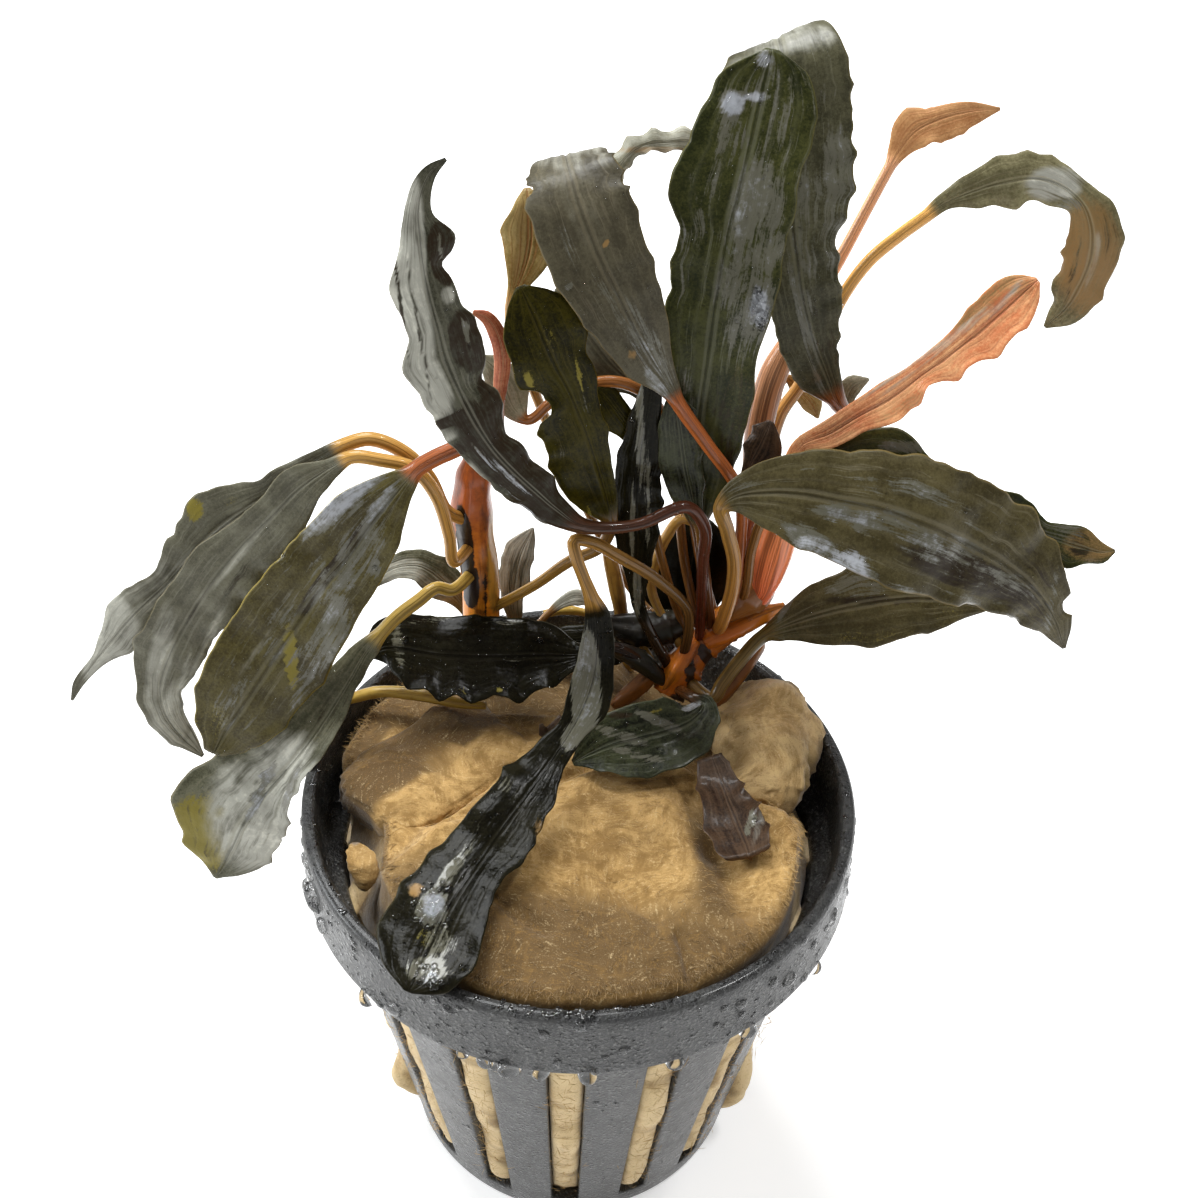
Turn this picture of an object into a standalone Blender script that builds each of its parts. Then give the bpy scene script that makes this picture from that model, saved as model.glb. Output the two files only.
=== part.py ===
"""A potted super red bucephalandra: an aquarium plant in its black net pot with rock wool.

Sizes are in millimetres and become metres where the meshes are made. +Z is up, the pot stands on the floor at the
origin, and the plant is laid out as it is seen from the front (-Y), from above, through a fixed viewpoint.
"""

import math
from collections import namedtuple

import bpy
import numpy as np

MM = 0.001
GAP = 0.3

# Net pot
POT_HEIGHT = 50.0
RIM_RADIUS = 27.5
RIM_WALL = 1.3
RIM_ROUNDING = 0.35
COLLAR_HEIGHT = 7.6
COLLAR_FLARE = 0.4
COLLAR_WALL = 1.9
COLLAR_STEP = 0.2
LEDGE_RISE = 1.4
BODY_RADIUS = 25.4
BASE_RADIUS = 19.0
BODY_WALL = 1.3
FLOOR_THICKNESS = 1.6
FOOT_HEIGHT = 3.2
BAR_COUNT = 16
BAR_HALF_ANGLE = math.radians(6.9)
FIRST_BAR = math.radians(9.9)
FLOOR_HOLE_OUTER = 15.0
FLOOR_HOLE_INNER = 8.0

# Rock wool
WOOL_FLOOR = FLOOR_THICKNESS + GAP
WOOL_LEVELS = (WOOL_FLOOR, FOOT_HEIGHT + GAP, 9.0, 20.0, 31.0, 40.5)
WOOL_TOP_SHARES = (1.0, 0.72, 0.4)
WOOL_EDGE_DROP = 1.2
WOOL_LEDGE = 45.5
WOOL_FRONT_TOP = 51.2
WOOL_STEP_SOFTNESS = 0.6
WOOL_NECK_RADIUS = 22.8
WOOL_FULL_RADIUS = 25.7
WOOL_FULL_AT = math.radians(10)
WOOL_FULL_SPAN = math.radians(48)
WOOL_BULGE = 2.0
LUMP_COLUMNS = 12
LUMP_LEVELS = 7

# The two torn lumps on the plug's ledge: centre, half-size, turn about Z, and how square their corners are
Lump = namedtuple("Lump", "centre half_size turn squareness")
WOOL_LUMPS = {
    "rock_wool_left": Lump((-15.6, 1.4, 48.3), (8.4, 5.2, 2.4), math.radians(46), 0.5),
    "rock_wool_right": Lump((17.4, 6.4, 48.8), (4.6, 7.4, 2.7), 0.0, 0.55),
}

# Leaves
BLADE_THICKNESS = 0.5
MIDRIB_THICKNESS = 0.8

# Viewpoint of the layout: where the eye is, where it looks, and how many picture steps one radian spans
EYE = np.array((0.0, -90.2, 146.1))
AIM = np.array((1.36, 0.0, 73.44))
EYE_ROLL = math.radians(2.05)
EYE_FOCAL = 1300.0
PICTURE_CENTRE = (600.0, 599.0)


def unit(vector):
    return vector / np.linalg.norm(vector)


def eye_axes():
    """The viewpoint's right, up and forward directions."""
    forward = unit(AIM - EYE)
    right = unit(np.cross(forward, (0.0, 0.0, 1.0)))
    up = np.cross(right, forward)
    turned_right = math.cos(EYE_ROLL) * right + math.sin(EYE_ROLL) * up
    turned_up = -math.sin(EYE_ROLL) * right + math.cos(EYE_ROLL) * up
    return turned_right, turned_up, forward


EYE_RIGHT, EYE_UP, EYE_FORWARD = eye_axes()


def sight(across, down):
    """The direction in which a point of the picture is seen."""
    sideways = (across - PICTURE_CENTRE[0]) / EYE_FOCAL
    upward = (PICTURE_CENTRE[1] - down) / EYE_FOCAL
    return EYE_FORWARD + sideways * EYE_RIGHT + upward * EYE_UP


def at(across, down, y):
    """The place, in millimetres, that is seen at a picture point and lies at this depth y."""
    ray = sight(across, down)
    return EYE + ray * (y - EYE[1]) / ray[1]


# A row is one cross-section: its place in the picture, its depth y, and its half-widths left and right of the
# midrib in millimetres, seen along the growth. left_back and right_back set each edge further from the eye.
Row = namedtuple("Row", "round place left right left_back right_back")


def stalk(across, down, y, radius):
    return Row(True, at(across, down, y), radius, radius, 0.0, 0.0)


def blade(across, down, y, left, right, left_back=0.0, right_back=0.0):
    return Row(False, at(across, down, y), left, right, left_back, right_back)


MIDDLE_LEAVES = {
    "tall_front_leaf": [
        stalk(704, 570, 13.2, 0.6),
        stalk(699, 530, 12.8, 0.7),
        blade(695, 500, 12.8, 1.8, 2.6, -0.3, -0.3),
        blade(696, 470, 12.7, 2.5, 3.4, -0.5, -0.5),
        blade(698, 435, 12.8, 2.8, 4.2, -0.5, -0.5),
        blade(702, 400, 13.0, 3.2, 4.6, -0.5, -0.5),
        blade(709, 350, 13.5, 3.7, 4.3, -0.5, -0.5),
        blade(714, 310, 14.0, 4.3, 4.9, -0.5, -0.4),
        blade(721, 270, 14.6, 4.0, 5.2, -0.5, -0.3),
        blade(730, 225, 15.6, 4.6, 5.1, -0.4, -0.2),
        blade(739, 190, 16.6, 5.8, 4.9, -0.4, 0.0),
        blade(747, 155, 17.7, 5.2, 4.8, -0.3, 0.0),
        blade(755, 120, 18.8, 4.3, 4.9, -0.2, 0.0),
        blade(762, 90, 19.8, 3.7, 4.5),
        blade(768, 65, 20.6, 2.2, 3.4),
        blade(772, 49, 21.2, 0.5, 0.7),
    ],
    "tall_right_leaf": [
        stalk(768, 570, 18.9, 0.6),
        stalk(800, 510, 18.8, 0.6),
        stalk(838, 455, 18.6, 0.6),
        stalk(849, 422, 18.4, 0.6),
        stalk(837, 401, 18.0, 0.9),
        blade(827, 375, 17.8, 2.8, 1.3, -0.2, 0.0),
        blade(815, 345, 17.8, 3.2, 2.4),
        blade(803, 300, 18.1, 3.0, 3.4),
        blade(796, 250, 19.0, 3.8, 3.7, 0.4, 0.0),
        blade(792, 215, 20.0, 4.6, 5.0, 0.4, 0.0),
        blade(790, 170, 21.3, 5.0, 5.4, 0.4, 0.0),
        blade(788, 120, 22.7, 5.3, 5.4, 0.3, 0.0),
        blade(785, 85, 23.7, 5.7, 5.5),
        blade(783, 62, 24.8, 5.4, 5.2),
        blade(780, 45, 26.6, 4.6, 4.7),
        blade(778, 38, 29.4, 3.8, 3.8),
        blade(778, 41, 32.2, 2.4, 2.4),
        blade(779, 52, 33.8, 0.6, 0.6),
    ],
    "upper_middle_leaf": [
        stalk(736, 585, 13.4, 0.55),
        stalk(741, 540, 12.6, 0.55),
        stalk(738, 490, 11.2, 0.6),
        stalk(706, 443, 10.6, 0.62),
        stalk(678, 403, 10.4, 0.68),
        blade(668, 385, 10.3, 1.2, 1.0),
        blade(655, 365, 10.2, 2.3, 1.7, -0.3, -0.2),
        blade(639, 338, 10.0, 3.0, 2.8, -0.4, -0.3),
        blade(620, 300, 10.1, 3.6, 3.5, -0.4, -0.3),
        blade(604, 268, 10.6, 4.1, 4.0, -0.3, -0.2),
        blade(590, 235, 11.6, 4.3, 4.2, -0.2, -0.1),
        blade(578, 203, 12.9, 4.1, 4.1),
        blade(571, 178, 14.7, 3.9, 3.9),
        blade(567, 163, 17.0, 3.3, 3.5),
        blade(566, 157, 19.8, 2.6, 2.7),
        blade(567, 162, 22.2, 0.8, 0.8),
    ],
    "pale_back_leaf": [
        stalk(700, 560, 19.8, 0.5),
        stalk(680, 420, 19.4, 0.5),
        stalk(640, 300, 19.6, 0.5),
        stalk(614, 225, 21.6, 0.5),
        blade(613, 190, 24.0, 0.8, 0.6),
        blade(622, 163, 25.6, 1.2, 0.8, 0.6, 0.4),
        blade(642, 146, 26.6, 0.9, 0.5, 1.2, -0.8),
        blade(670, 142, 27.2, 0.9, 0.6, 1.4, -1.0),
        blade(694, 142, 27.6, 0.8, 0.5, 1.2, -0.8),
        blade(712, 144, 27.8, 0.2, 0.2),
    ],
    "olive_brown_back_leaf": [
        stalk(645, 605, 21.0, 0.5),
        stalk(580, 495, 20.2, 0.5),
        stalk(530, 380, 17.8, 0.5),
        stalk(512, 330, 16.6, 0.5),
        stalk(511, 302, 16.0, 0.5),
        blade(518, 285, 16.1, 1.0, 0.9),
        blade(526, 262, 16.5, 2.0, 1.7, 0.3, -0.3),
        blade(530, 240, 17.0, 2.4, 2.1, 0.4, -0.4),
        blade(530, 220, 17.6, 2.2, 2.0, 0.3, -0.3),
        blade(528, 202, 18.4, 1.3, 1.5),
        blade(527, 188, 19.2, 0.3, 0.3),
    ],
    "long_wavy_leaf": [
        stalk(702, 590, 12.6, 0.55),
        stalk(703, 560, 11.2, 0.6),
        stalk(704, 526, 9.9, 0.6),
        stalk(686, 507, 9.0, 0.6),
        stalk(640, 524, 7.6, 0.55),
        stalk(602, 528, 6.6, 0.6),
        stalk(580, 525, 6.0, 0.8),
        blade(555, 508, 5.5, 1.6, 1.3, 0.2, 0.3),
        blade(525, 482, 5.0, 2.0, 1.9, 0.4, 0.8),
        blade(498, 455, 4.6, 2.3, 2.1, 0.5, 1.0),
        blade(477, 425, 4.5, 2.8, 2.2, 0.5, 1.2),
        blade(460, 392, 4.6, 3.0, 2.6, 0.5, 1.4),
        blade(446, 360, 4.8, 3.2, 2.4, 0.5, 1.4),
        blade(438, 330, 5.0, 2.5, 2.9, 0.5, 1.4),
        blade(430, 300, 5.3, 2.7, 1.6, 0.4, 1.0),
        blade(424, 270, 5.8, 2.4, 1.5, 0.4, 0.9),
        blade(420, 240, 6.4, 1.5, 2.0, 0.3, 0.9),
        blade(418, 212, 7.0, 1.1, 0.8, 0.2, 0.4),
        blade(422, 190, 7.8, 0.9, 0.7),
        blade(431, 172, 8.4, 0.6, 0.5),
        blade(446, 159, 8.8, 0.15, 0.15),
    ],
    "dark_olive_leaf": [
        stalk(510, 616, 16.8, 0.55),
        stalk(535, 585, 15.2, 0.55),
        stalk(570, 561, 12.6, 0.6),
        stalk(600, 547, 11.2, 0.6),
        stalk(611, 525, 10.2, 0.6),
        blade(607, 500, 9.6, 2.8, 1.0, -0.2, -0.1),
        blade(597, 465, 9.2, 4.0, 1.4, -0.3, -0.2),
        blade(585, 430, 9.0, 3.9, 1.8, -0.4, -0.3),
        blade(570, 395, 9.1, 3.4, 2.5, -0.4, -0.3),
        blade(557, 370, 9.3, 3.4, 2.9, -0.3, -0.3),
        blade(545, 345, 9.6, 3.2, 3.6, -0.3, -0.3),
        blade(535, 320, 9.9, 2.6, 3.4, -0.2, -0.2),
        blade(526, 300, 10.3, 1.7, 2.0),
        blade(520, 286, 10.6, 0.4, 0.4),
    ],
    "red_young_leaf": [
        stalk(497, 450, 14.0, 0.5),
        stalk(499, 425, 12.6, 0.5),
        stalk(499, 405, 12.0, 0.5),
        blade(501, 385, 11.8, 0.7, 0.6, 0.3, 0.3),
        blade(503, 360, 11.6, 0.8, 0.7, 0.3, 0.3),
        blade(498, 335, 11.4, 0.8, 0.7, 0.3, 0.3),
        blade(487, 318, 11.2, 0.6, 0.6, 0.2, 0.2),
        blade(473, 312, 11.0, 0.2, 0.2),
    ],
    "blue_grey_back_leaf": [
        stalk(700, 560, 17.8, 0.5),
        stalk(688, 490, 16.5, 0.5),
        stalk(668, 425, 15.0, 0.5),
        stalk(645, 393, 14.1, 0.55),
        stalk(618, 382, 14.2, 0.55),
        stalk(590, 384, 14.4, 0.55),
        stalk(552, 402, 14.8, 0.5),
        stalk(527, 420, 15.1, 0.5),
        blade(514, 408, 15.3, 1.2, 1.6),
        blade(505, 388, 15.5, 1.6, 2.0),
        blade(494, 368, 15.8, 1.3, 1.3),
        blade(481, 356, 16.2, 0.2, 0.2),
    ],
    "mauve_grey_back_leaf": [
        stalk(686, 570, 18.2, 0.5),
        stalk(674, 480, 17.0, 0.5),
        stalk(654, 415, 16.4, 0.5),
        blade(638, 388, 16.0, 0.9, 0.9),
        blade(617, 370, 16.4, 2.4, 2.0),
        blade(598, 348, 16.9, 3.0, 2.4),
        blade(582, 325, 17.4, 2.6, 2.2),
        blade(568, 303, 18.0, 1.5, 1.4),
        blade(556, 288, 18.5, 0.2, 0.2),
    ],
    "small_olive_leaf": [
        stalk(678, 612, 15.6, 0.45),
        stalk(662, 560, 14.0, 0.45),
        stalk(646, 490, 13.6, 0.45),
        stalk(637, 452, 13.5, 0.45),
        blade(630, 432, 13.3, 1.1, 0.9),
        blade(619, 415, 13.3, 1.8, 1.3),
        blade(607, 399, 13.5, 1.3, 1.2),
        blade(597, 388, 13.7, 0.2, 0.2),
    ],
    "black_middle_leaf": [
        stalk(650, 632, 12.9, 0.6),
        blade(640, 608, 12.5, 0.7, 0.6),
        blade(637, 575, 12.0, 1.2, 1.2, 0.5, 0.4),
        blade(636, 540, 11.6, 1.6, 1.5, 0.7, 0.5),
        blade(637, 500, 11.4, 1.8, 1.7, 0.8, 0.6),
        blade(640, 460, 11.5, 1.9, 1.7, 0.8, 0.6),
        blade(646, 420, 11.7, 1.6, 1.4, 0.6, 0.4),
        blade(652, 385, 11.9, 0.9, 0.9),
        blade(657, 362, 12.0, 0.2, 0.2),
    ],
}

LEFT_LEAVES = {
    "far_left_upper_leaf": [
        stalk(451, 532, 14.4, 0.65),
        stalk(446, 510, 13.9, 0.65),
        stalk(428, 476, 13.6, 0.7),
        stalk(402, 451, 13.4, 0.7),
        stalk(370, 439, 13.2, 0.7),
        stalk(347, 444, 13.0, 0.7),
        blade(325, 455, 12.9, 0.7, 0.8),
        blade(300, 470, 12.8, 1.4, 1.1),
        blade(265, 497, 12.5, 1.9, 1.8),
        blade(225, 525, 12.2, 2.0, 3.6),
        blade(195, 552, 11.8, 2.0, 2.9),
        blade(165, 585, 11.4, 2.2, 1.8),
        blade(135, 613, 10.9, 2.2, 2.4),
        blade(112, 640, 10.4, 2.0, 1.4),
        blade(95, 662, 9.9, 0.8, 0.6),
        blade(80, 682, 9.4, 0.5, 0.6),
        blade(72, 700, 9.0, 0.15, 0.15),
    ],
    "far_left_lower_leaf": [
        stalk(454, 562, 13.0, 0.6),
        stalk(449, 535, 12.2, 0.62),
        stalk(434, 492, 11.6, 0.65),
        stalk(412, 468, 11.3, 0.65),
        stalk(380, 460, 11.1, 0.65),
        stalk(352, 457, 11.0, 0.65),
        blade(333, 466, 10.8, 1.0, 0.8),
        blade(300, 488, 10.5, 2.2, 2.1, -0.2, -0.2),
        blade(270, 518, 10.1, 3.2, 2.0, -0.3, -0.2),
        blade(240, 548, 9.7, 3.4, 2.4, -0.3, -0.2),
        blade(210, 585, 9.2, 3.7, 3.3, -0.3, -0.2),
        blade(188, 620, 8.8, 3.2, 3.2, -0.3, -0.2),
        blade(170, 655, 8.3, 3.1, 3.5, -0.3, -0.2),
        blade(160, 690, 7.8, 2.2, 2.2, -0.3, -0.2),
        blade(165, 715, 7.4, 2.0, 1.8),
        blade(181, 737, 7.0, 1.6, 1.0),
        blade(203, 756, 6.6, 0.2, 0.2),
    ],
    "left_front_leaf": [
        stalk(470, 441, 10.4, 0.8),
        stalk(455, 449, 9.9, 0.8),
        stalk(435, 458, 9.4, 0.8),
        stalk(418, 468, 8.9, 0.8),
        blade(404, 484, 8.5, 1.2, 1.7),
        blade(388, 503, 8.0, 2.2, 3.0, -0.2, -0.2),
        blade(370, 525, 7.5, 3.2, 4.1, -0.3, -0.3),
        blade(345, 560, 6.9, 3.9, 4.7, -0.4, -0.4),
        blade(320, 590, 6.4, 4.4, 5.0, -0.4, -0.4),
        blade(300, 620, 5.9, 4.8, 5.3, -0.4, -0.4),
        blade(278, 652, 5.4, 5.2, 5.5, -0.3, -0.3),
        blade(258, 682, 4.5, 4.8, 5.4, -0.2, -0.2),
        blade(240, 710, 3.6, 4.4, 4.7),
        blade(223, 736, 2.8, 3.2, 2.8),
        blade(214, 753, 2.4, 0.8, 0.9),
    ],
    "lower_left_leaf": [
        stalk(452, 590, 13.2, 0.65),
        stalk(436, 588, 12.2, 0.65),
        stalk(418, 601, 11.0, 0.7),
        stalk(398, 616, 9.9, 0.7),
        stalk(384, 630, 8.9, 0.7),
        blade(366, 652, 7.8, 1.1, 1.4),
        blade(350, 680, 6.4, 1.0, 2.4),
        blade(330, 712, 4.8, 1.6, 3.2, -0.6, 0.0),
        blade(307, 745, 2.6, 1.9, 4.2, -1.4, 0.0),
        blade(285, 772, 1.8, 1.8, 5.0, -1.8, 0.0),
        blade(262, 798, 1.6, 3.4, 6.8),
        blade(245, 822, 1.1, 4.4, 7.8),
        blade(232, 848, 0.9, 4.0, 5.4),
        blade(222, 868, 0.3, 2.0, 3.0),
        blade(215, 878, 0.0, 0.3, 0.3),
    ],
    "left_back_leaf": [
        stalk(474, 622, 20.6, 0.6),
        blade(463, 604, 20.8, 0.9, 0.8),
        blade(443, 581, 21.0, 2.1, 2.1),
        blade(420, 566, 21.2, 1.7, 1.8),
        blade(397, 567, 21.4, 1.3, 1.4),
        blade(378, 578, 21.6, 0.9, 0.9),
        blade(362, 592, 21.8, 0.2, 0.2),
    ],
    "pale_left_leaf": [
        stalk(514, 628, 20.4, 0.6),
        blade(513, 602, 20.8, 1.2, 1.2),
        blade(515, 579, 21.1, 1.8, 1.6),
        blade(520, 556, 21.4, 1.9, 1.4),
        blade(527, 540, 21.7, 1.2, 1.0),
        blade(533, 528, 21.9, 0.15, 0.15),
    ],
    "leaf_behind_rim": [
        stalk(505, 648, 19.4, 0.4),
        stalk(530, 632, 20.8, 0.4),
        stalk(548, 614, 21.8, 0.4),
        blade(562, 603, 22.4, 0.7, 0.6),
        blade(577, 597, 22.8, 0.9, 1.0),
        blade(592, 603, 23.0, 0.3, 0.3),
    ],
    "rim_leaf": [
        stalk(640, 660, 11.9, 0.6),
        stalk(612, 648, 12.2, 0.65),
        stalk(592, 651, 12.2, 0.7),
        blade(575, 655, 12.0, 1.6, 1.6, -0.8, 0.6),
        blade(548, 655, 11.6, 3.4, 3.4, -1.6, 1.2),
        blade(510, 656, 11.1, 4.3, 4.1, -2.0, 1.4),
        blade(470, 656, 10.8, 4.3, 4.3, -2.0, 1.4),
        blade(430, 653, 10.7, 4.0, 3.8, -1.8, 1.2),
        blade(402, 648, 10.8, 3.0, 3.5, -1.2, 0.8),
        blade(384, 648, 11.0, 2.0, 2.7, -0.6, 0.4),
        blade(369, 656, 11.2, 0.3, 0.3),
    ],
    "inner_dark_leaf": [
        stalk(664, 642, 17.8, 0.55),
        blade(640, 640, 17.9, 1.8, 1.5),
        blade(602, 640, 18.1, 2.6, 1.9, -0.8, 0.4),
        blade(566, 642, 18.3, 2.3, 1.8, -0.8, 0.4),
        blade(545, 645, 18.4, 0.2, 0.2),
    ],
}

FRONT_LEAVES = {
    "long_front_leaf": [
        stalk(688, 612, 12.3, 0.55),
        stalk(660, 582, 10.4, 0.58),
        stalk(620, 557, 8.2, 0.6),
        stalk(588, 541, 6.6, 0.6),
        stalk(574, 541, 5.8, 0.6),
        stalk(576, 556, 5.4, 0.6),
        stalk(583, 576, 5.2, 0.6),
        stalk(590, 594, 5.0, 0.7),
        blade(596, 617, 4.8, 1.4, 1.1),
        blade(597, 650, 4.2, 1.7, 1.7, -0.3, -0.3),
        blade(593, 680, 3.2, 2.1, 1.9, -0.3, -0.3),
        blade(584, 705, 1.6, 2.4, 2.0, -0.3, -0.3),
        blade(571, 730, -0.6, 1.6, 1.5, -0.2, -0.2),
        blade(556, 754, -3.0, 1.4, 2.0, -0.3, 0.2),
        blade(531, 790, -6.8, 2.3, 3.1, -0.9, 0.8),
        blade(505, 825, -10.4, 3.2, 3.2, -1.2, 1.0),
        blade(477, 865, -14.0, 2.7, 3.7, -1.0, 1.1),
        blade(450, 905, -18.0, 3.8, 4.4, -1.6, 1.6),
        blade(430, 945, -21.6, 4.1, 4.9, -1.8, 1.6),
        blade(416, 974, -24.2, 3.2, 3.2, -1.2, 1.2),
        blade(408, 992, -25.6, 0.4, 0.4),
    ],
    "spoon_leaf": [
        stalk(692, 697, 8.8, 0.6),
        blade(704, 705, 7.4, 1.2, 1.0),
        blade(690, 721, 5.2, 3.2, 1.8, -0.8, 0.2),
        blade(668, 730, 3.6, 3.9, 3.2, -1.0, 0.6),
        blade(642, 737, 2.6, 3.9, 3.6, -1.0, 0.8),
        blade(614, 744, 2.0, 3.2, 3.0, -0.8, 0.6),
        blade(590, 754, 1.6, 1.7, 1.8, -0.4, 0.4),
        blade(573, 763, 1.4, 0.3, 0.3),
    ],
}

RIGHT_LEAVES = {
    "big_right_leaf": [
        stalk(722, 622, 11.6, 0.7),
        stalk(732, 590, 10.6, 0.7),
        stalk(734, 560, 9.7, 0.7),
        stalk(727, 530, 8.9, 0.7),
        stalk(722, 507, 8.3, 0.8),
        blade(735, 497, 7.9, 1.5, 1.7),
        blade(765, 492, 7.4, 2.8, 3.3, -0.2, -0.2),
        blade(800, 493, 6.8, 3.7, 4.7, -0.2, -0.3),
        blade(840, 500, 6.3, 4.4, 5.4, 0.0, -0.3),
        blade(880, 508, 5.9, 5.0, 6.2, 0.2, -0.3),
        blade(920, 522, 5.7, 5.6, 6.5, 0.4, -0.2),
        blade(960, 540, 5.8, 5.6, 6.0, 0.5, 0.0),
        blade(1000, 562, 6.1, 5.2, 5.0, 0.6, 0.2),
        blade(1035, 590, 6.7, 3.4, 3.6, 0.5, 0.3),
        blade(1055, 620, 7.3, 1.8, 2.2, 0.3, 0.2),
        blade(1064, 648, 7.7, 0.2, 0.2),
    ],
    "right_back_leaf": [
        stalk(747, 585, 13.6, 0.5),
        stalk(753, 545, 12.2, 0.5),
        stalk(768, 510, 11.6, 0.55),
        stalk(800, 485, 11.6, 0.6),
        blade(840, 470, 11.4, 2.6, 2.6),
        blade(885, 469, 11.1, 3.9, 3.2),
        blade(925, 484, 11.0, 2.0, 3.2),
        blade(965, 504, 11.0, 1.5, 3.0),
        blade(1005, 519, 11.1, 2.6, 2.6),
        blade(1045, 535, 11.2, 1.3, 2.2),
        blade(1078, 546, 11.3, 1.8, 1.9),
        blade(1102, 552, 11.4, 1.0, 1.1),
        blade(1115, 551, 11.4, 0.15, 0.15),
    ],
    "lower_right_leaf": [
        stalk(713, 698, 9.8, 0.7),
        stalk(722, 684, 10.8, 0.75),
        stalk(741, 659, 12.8, 0.75),
        stalk(762, 637, 14.4, 0.75),
        blade(790, 624, 14.8, 1.9, 1.9),
        blade(828, 612, 14.8, 3.4, 3.8),
        blade(870, 603, 14.8, 4.0, 4.3),
        blade(910, 598, 14.8, 3.5, 4.0),
        blade(950, 600, 14.8, 2.2, 2.7),
        blade(986, 609, 14.8, 0.3, 0.3),
    ],
    "pink_leaf": [
        stalk(762, 592, 15.6, 1.2),
        stalk(768, 572, 15.0, 1.7),
        stalk(775, 548, 14.7, 1.9),
        stalk(783, 520, 14.4, 1.7),
        stalk(788, 492, 14.2, 1.2),
        stalk(792, 462, 13.9, 0.8),
        blade(803, 444, 13.6, 0.8, 1.0),
        blade(828, 434, 13.2, 1.2, 1.4, 0.0, -0.4),
        blade(858, 416, 12.8, 1.3, 1.6, 0.0, -0.5),
        blade(890, 398, 12.5, 1.6, 1.9, 0.0, -0.5),
        blade(920, 376, 12.4, 1.4, 1.5, 0.0, -0.5),
        blade(950, 354, 12.4, 1.5, 1.8, 0.0, -0.5),
        blade(985, 326, 12.6, 2.1, 2.4, 0.0, -0.5),
        blade(1011, 303, 12.9, 2.3, 2.3, 0.0, -0.4),
        blade(1028, 288, 13.2, 1.5, 1.5),
        blade(1038, 280, 13.5, 0.3, 0.3),
    ],
    "small_tan_leaf": [
        stalk(742, 575, 19.4, 0.8),
        stalk(752, 500, 19.2, 1.1),
        stalk(760, 425, 19.6, 1.4),
        stalk(772, 378, 20.2, 1.4),
        stalk(793, 335, 21.4, 0.9),
        stalk(838, 262, 24.6, 0.6),
        stalk(870, 203, 26.6, 0.55),
        stalk(889, 168, 27.4, 0.55),
        blade(899, 151, 27.8, 1.1, 0.9),
        blade(914, 132, 28.1, 2.1, 1.6, 0.3, -0.3),
        blade(940, 118, 28.5, 1.1, 2.0, 0.2, -0.4),
        blade(968, 111, 28.9, 0.8, 1.5, 0.0, -0.3),
        blade(1000, 109, 29.3, 0.15, 0.15),
    ],
    "arching_leaf": [
        stalk(760, 560, 21.2, 0.6),
        stalk(766, 480, 21.8, 0.65),
        stalk(780, 415, 22.0, 0.7),
        stalk(800, 385, 22.0, 0.65),
        stalk(845, 293, 22.0, 0.6),
        stalk(870, 260, 22.0, 0.6),
        stalk(900, 235, 22.0, 0.6),
        stalk(925, 217, 22.0, 0.6),
        blade(942, 205, 22.0, 0.9, 0.6),
        blade(966, 194, 21.9, 1.4, 1.2),
        blade(1000, 183, 21.5, 2.0, 2.1),
        blade(1035, 178, 20.9, 1.9, 2.1),
        blade(1062, 186, 20.2, 1.5, 1.9),
        blade(1082, 203, 19.6, 1.4, 1.3, 0.5, 0.5),
        blade(1091, 226, 19.2, 2.4, 1.9, 0.5, 0.5),
        blade(1091, 255, 19.2, 2.4, 2.3, 0.5, 0.5),
        blade(1081, 283, 19.4, 2.2, 2.1, 0.4, 0.4),
        blade(1066, 308, 19.8, 1.7, 1.5),
        blade(1045, 327, 20.2, 0.2, 0.2),
    ],
    "pale_bit_leaf": [
        stalk(775, 572, 20.3, 0.4),
        stalk(806, 500, 20.8, 0.4),
        stalk(836, 425, 21.0, 0.4),
        blade(846, 403, 21.0, 0.8, 0.6),
        blade(853, 388, 21.2, 1.3, 0.8),
        blade(869, 379, 21.5, 0.15, 0.15),
    ],
    "green_bit_leaf": [
        stalk(757, 580, 22.4, 0.4),
        stalk(772, 470, 23.8, 0.4),
        stalk(787, 378, 24.0, 0.4),
        blade(799, 390, 23.8, 0.9, 0.8),
        blade(811, 403, 23.8, 1.1, 1.0),
        blade(818, 418, 23.8, 0.15, 0.15),
    ],
    "dead_maroon_leaf": [
        stalk(734, 575, 16.4, 0.45),
        stalk(740, 530, 15.2, 0.45),
        stalk(744, 486, 14.1, 0.5),
        blade(750, 465, 14.4, 0.7, 1.4),
        blade(759, 448, 14.9, 1.4, 2.2, 0.4, 0.5),
        blade(766, 433, 15.3, 1.5, 1.5, 0.4, 0.5),
        blade(771, 421, 15.6, 0.3, 0.3),
    ],
}

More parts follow.
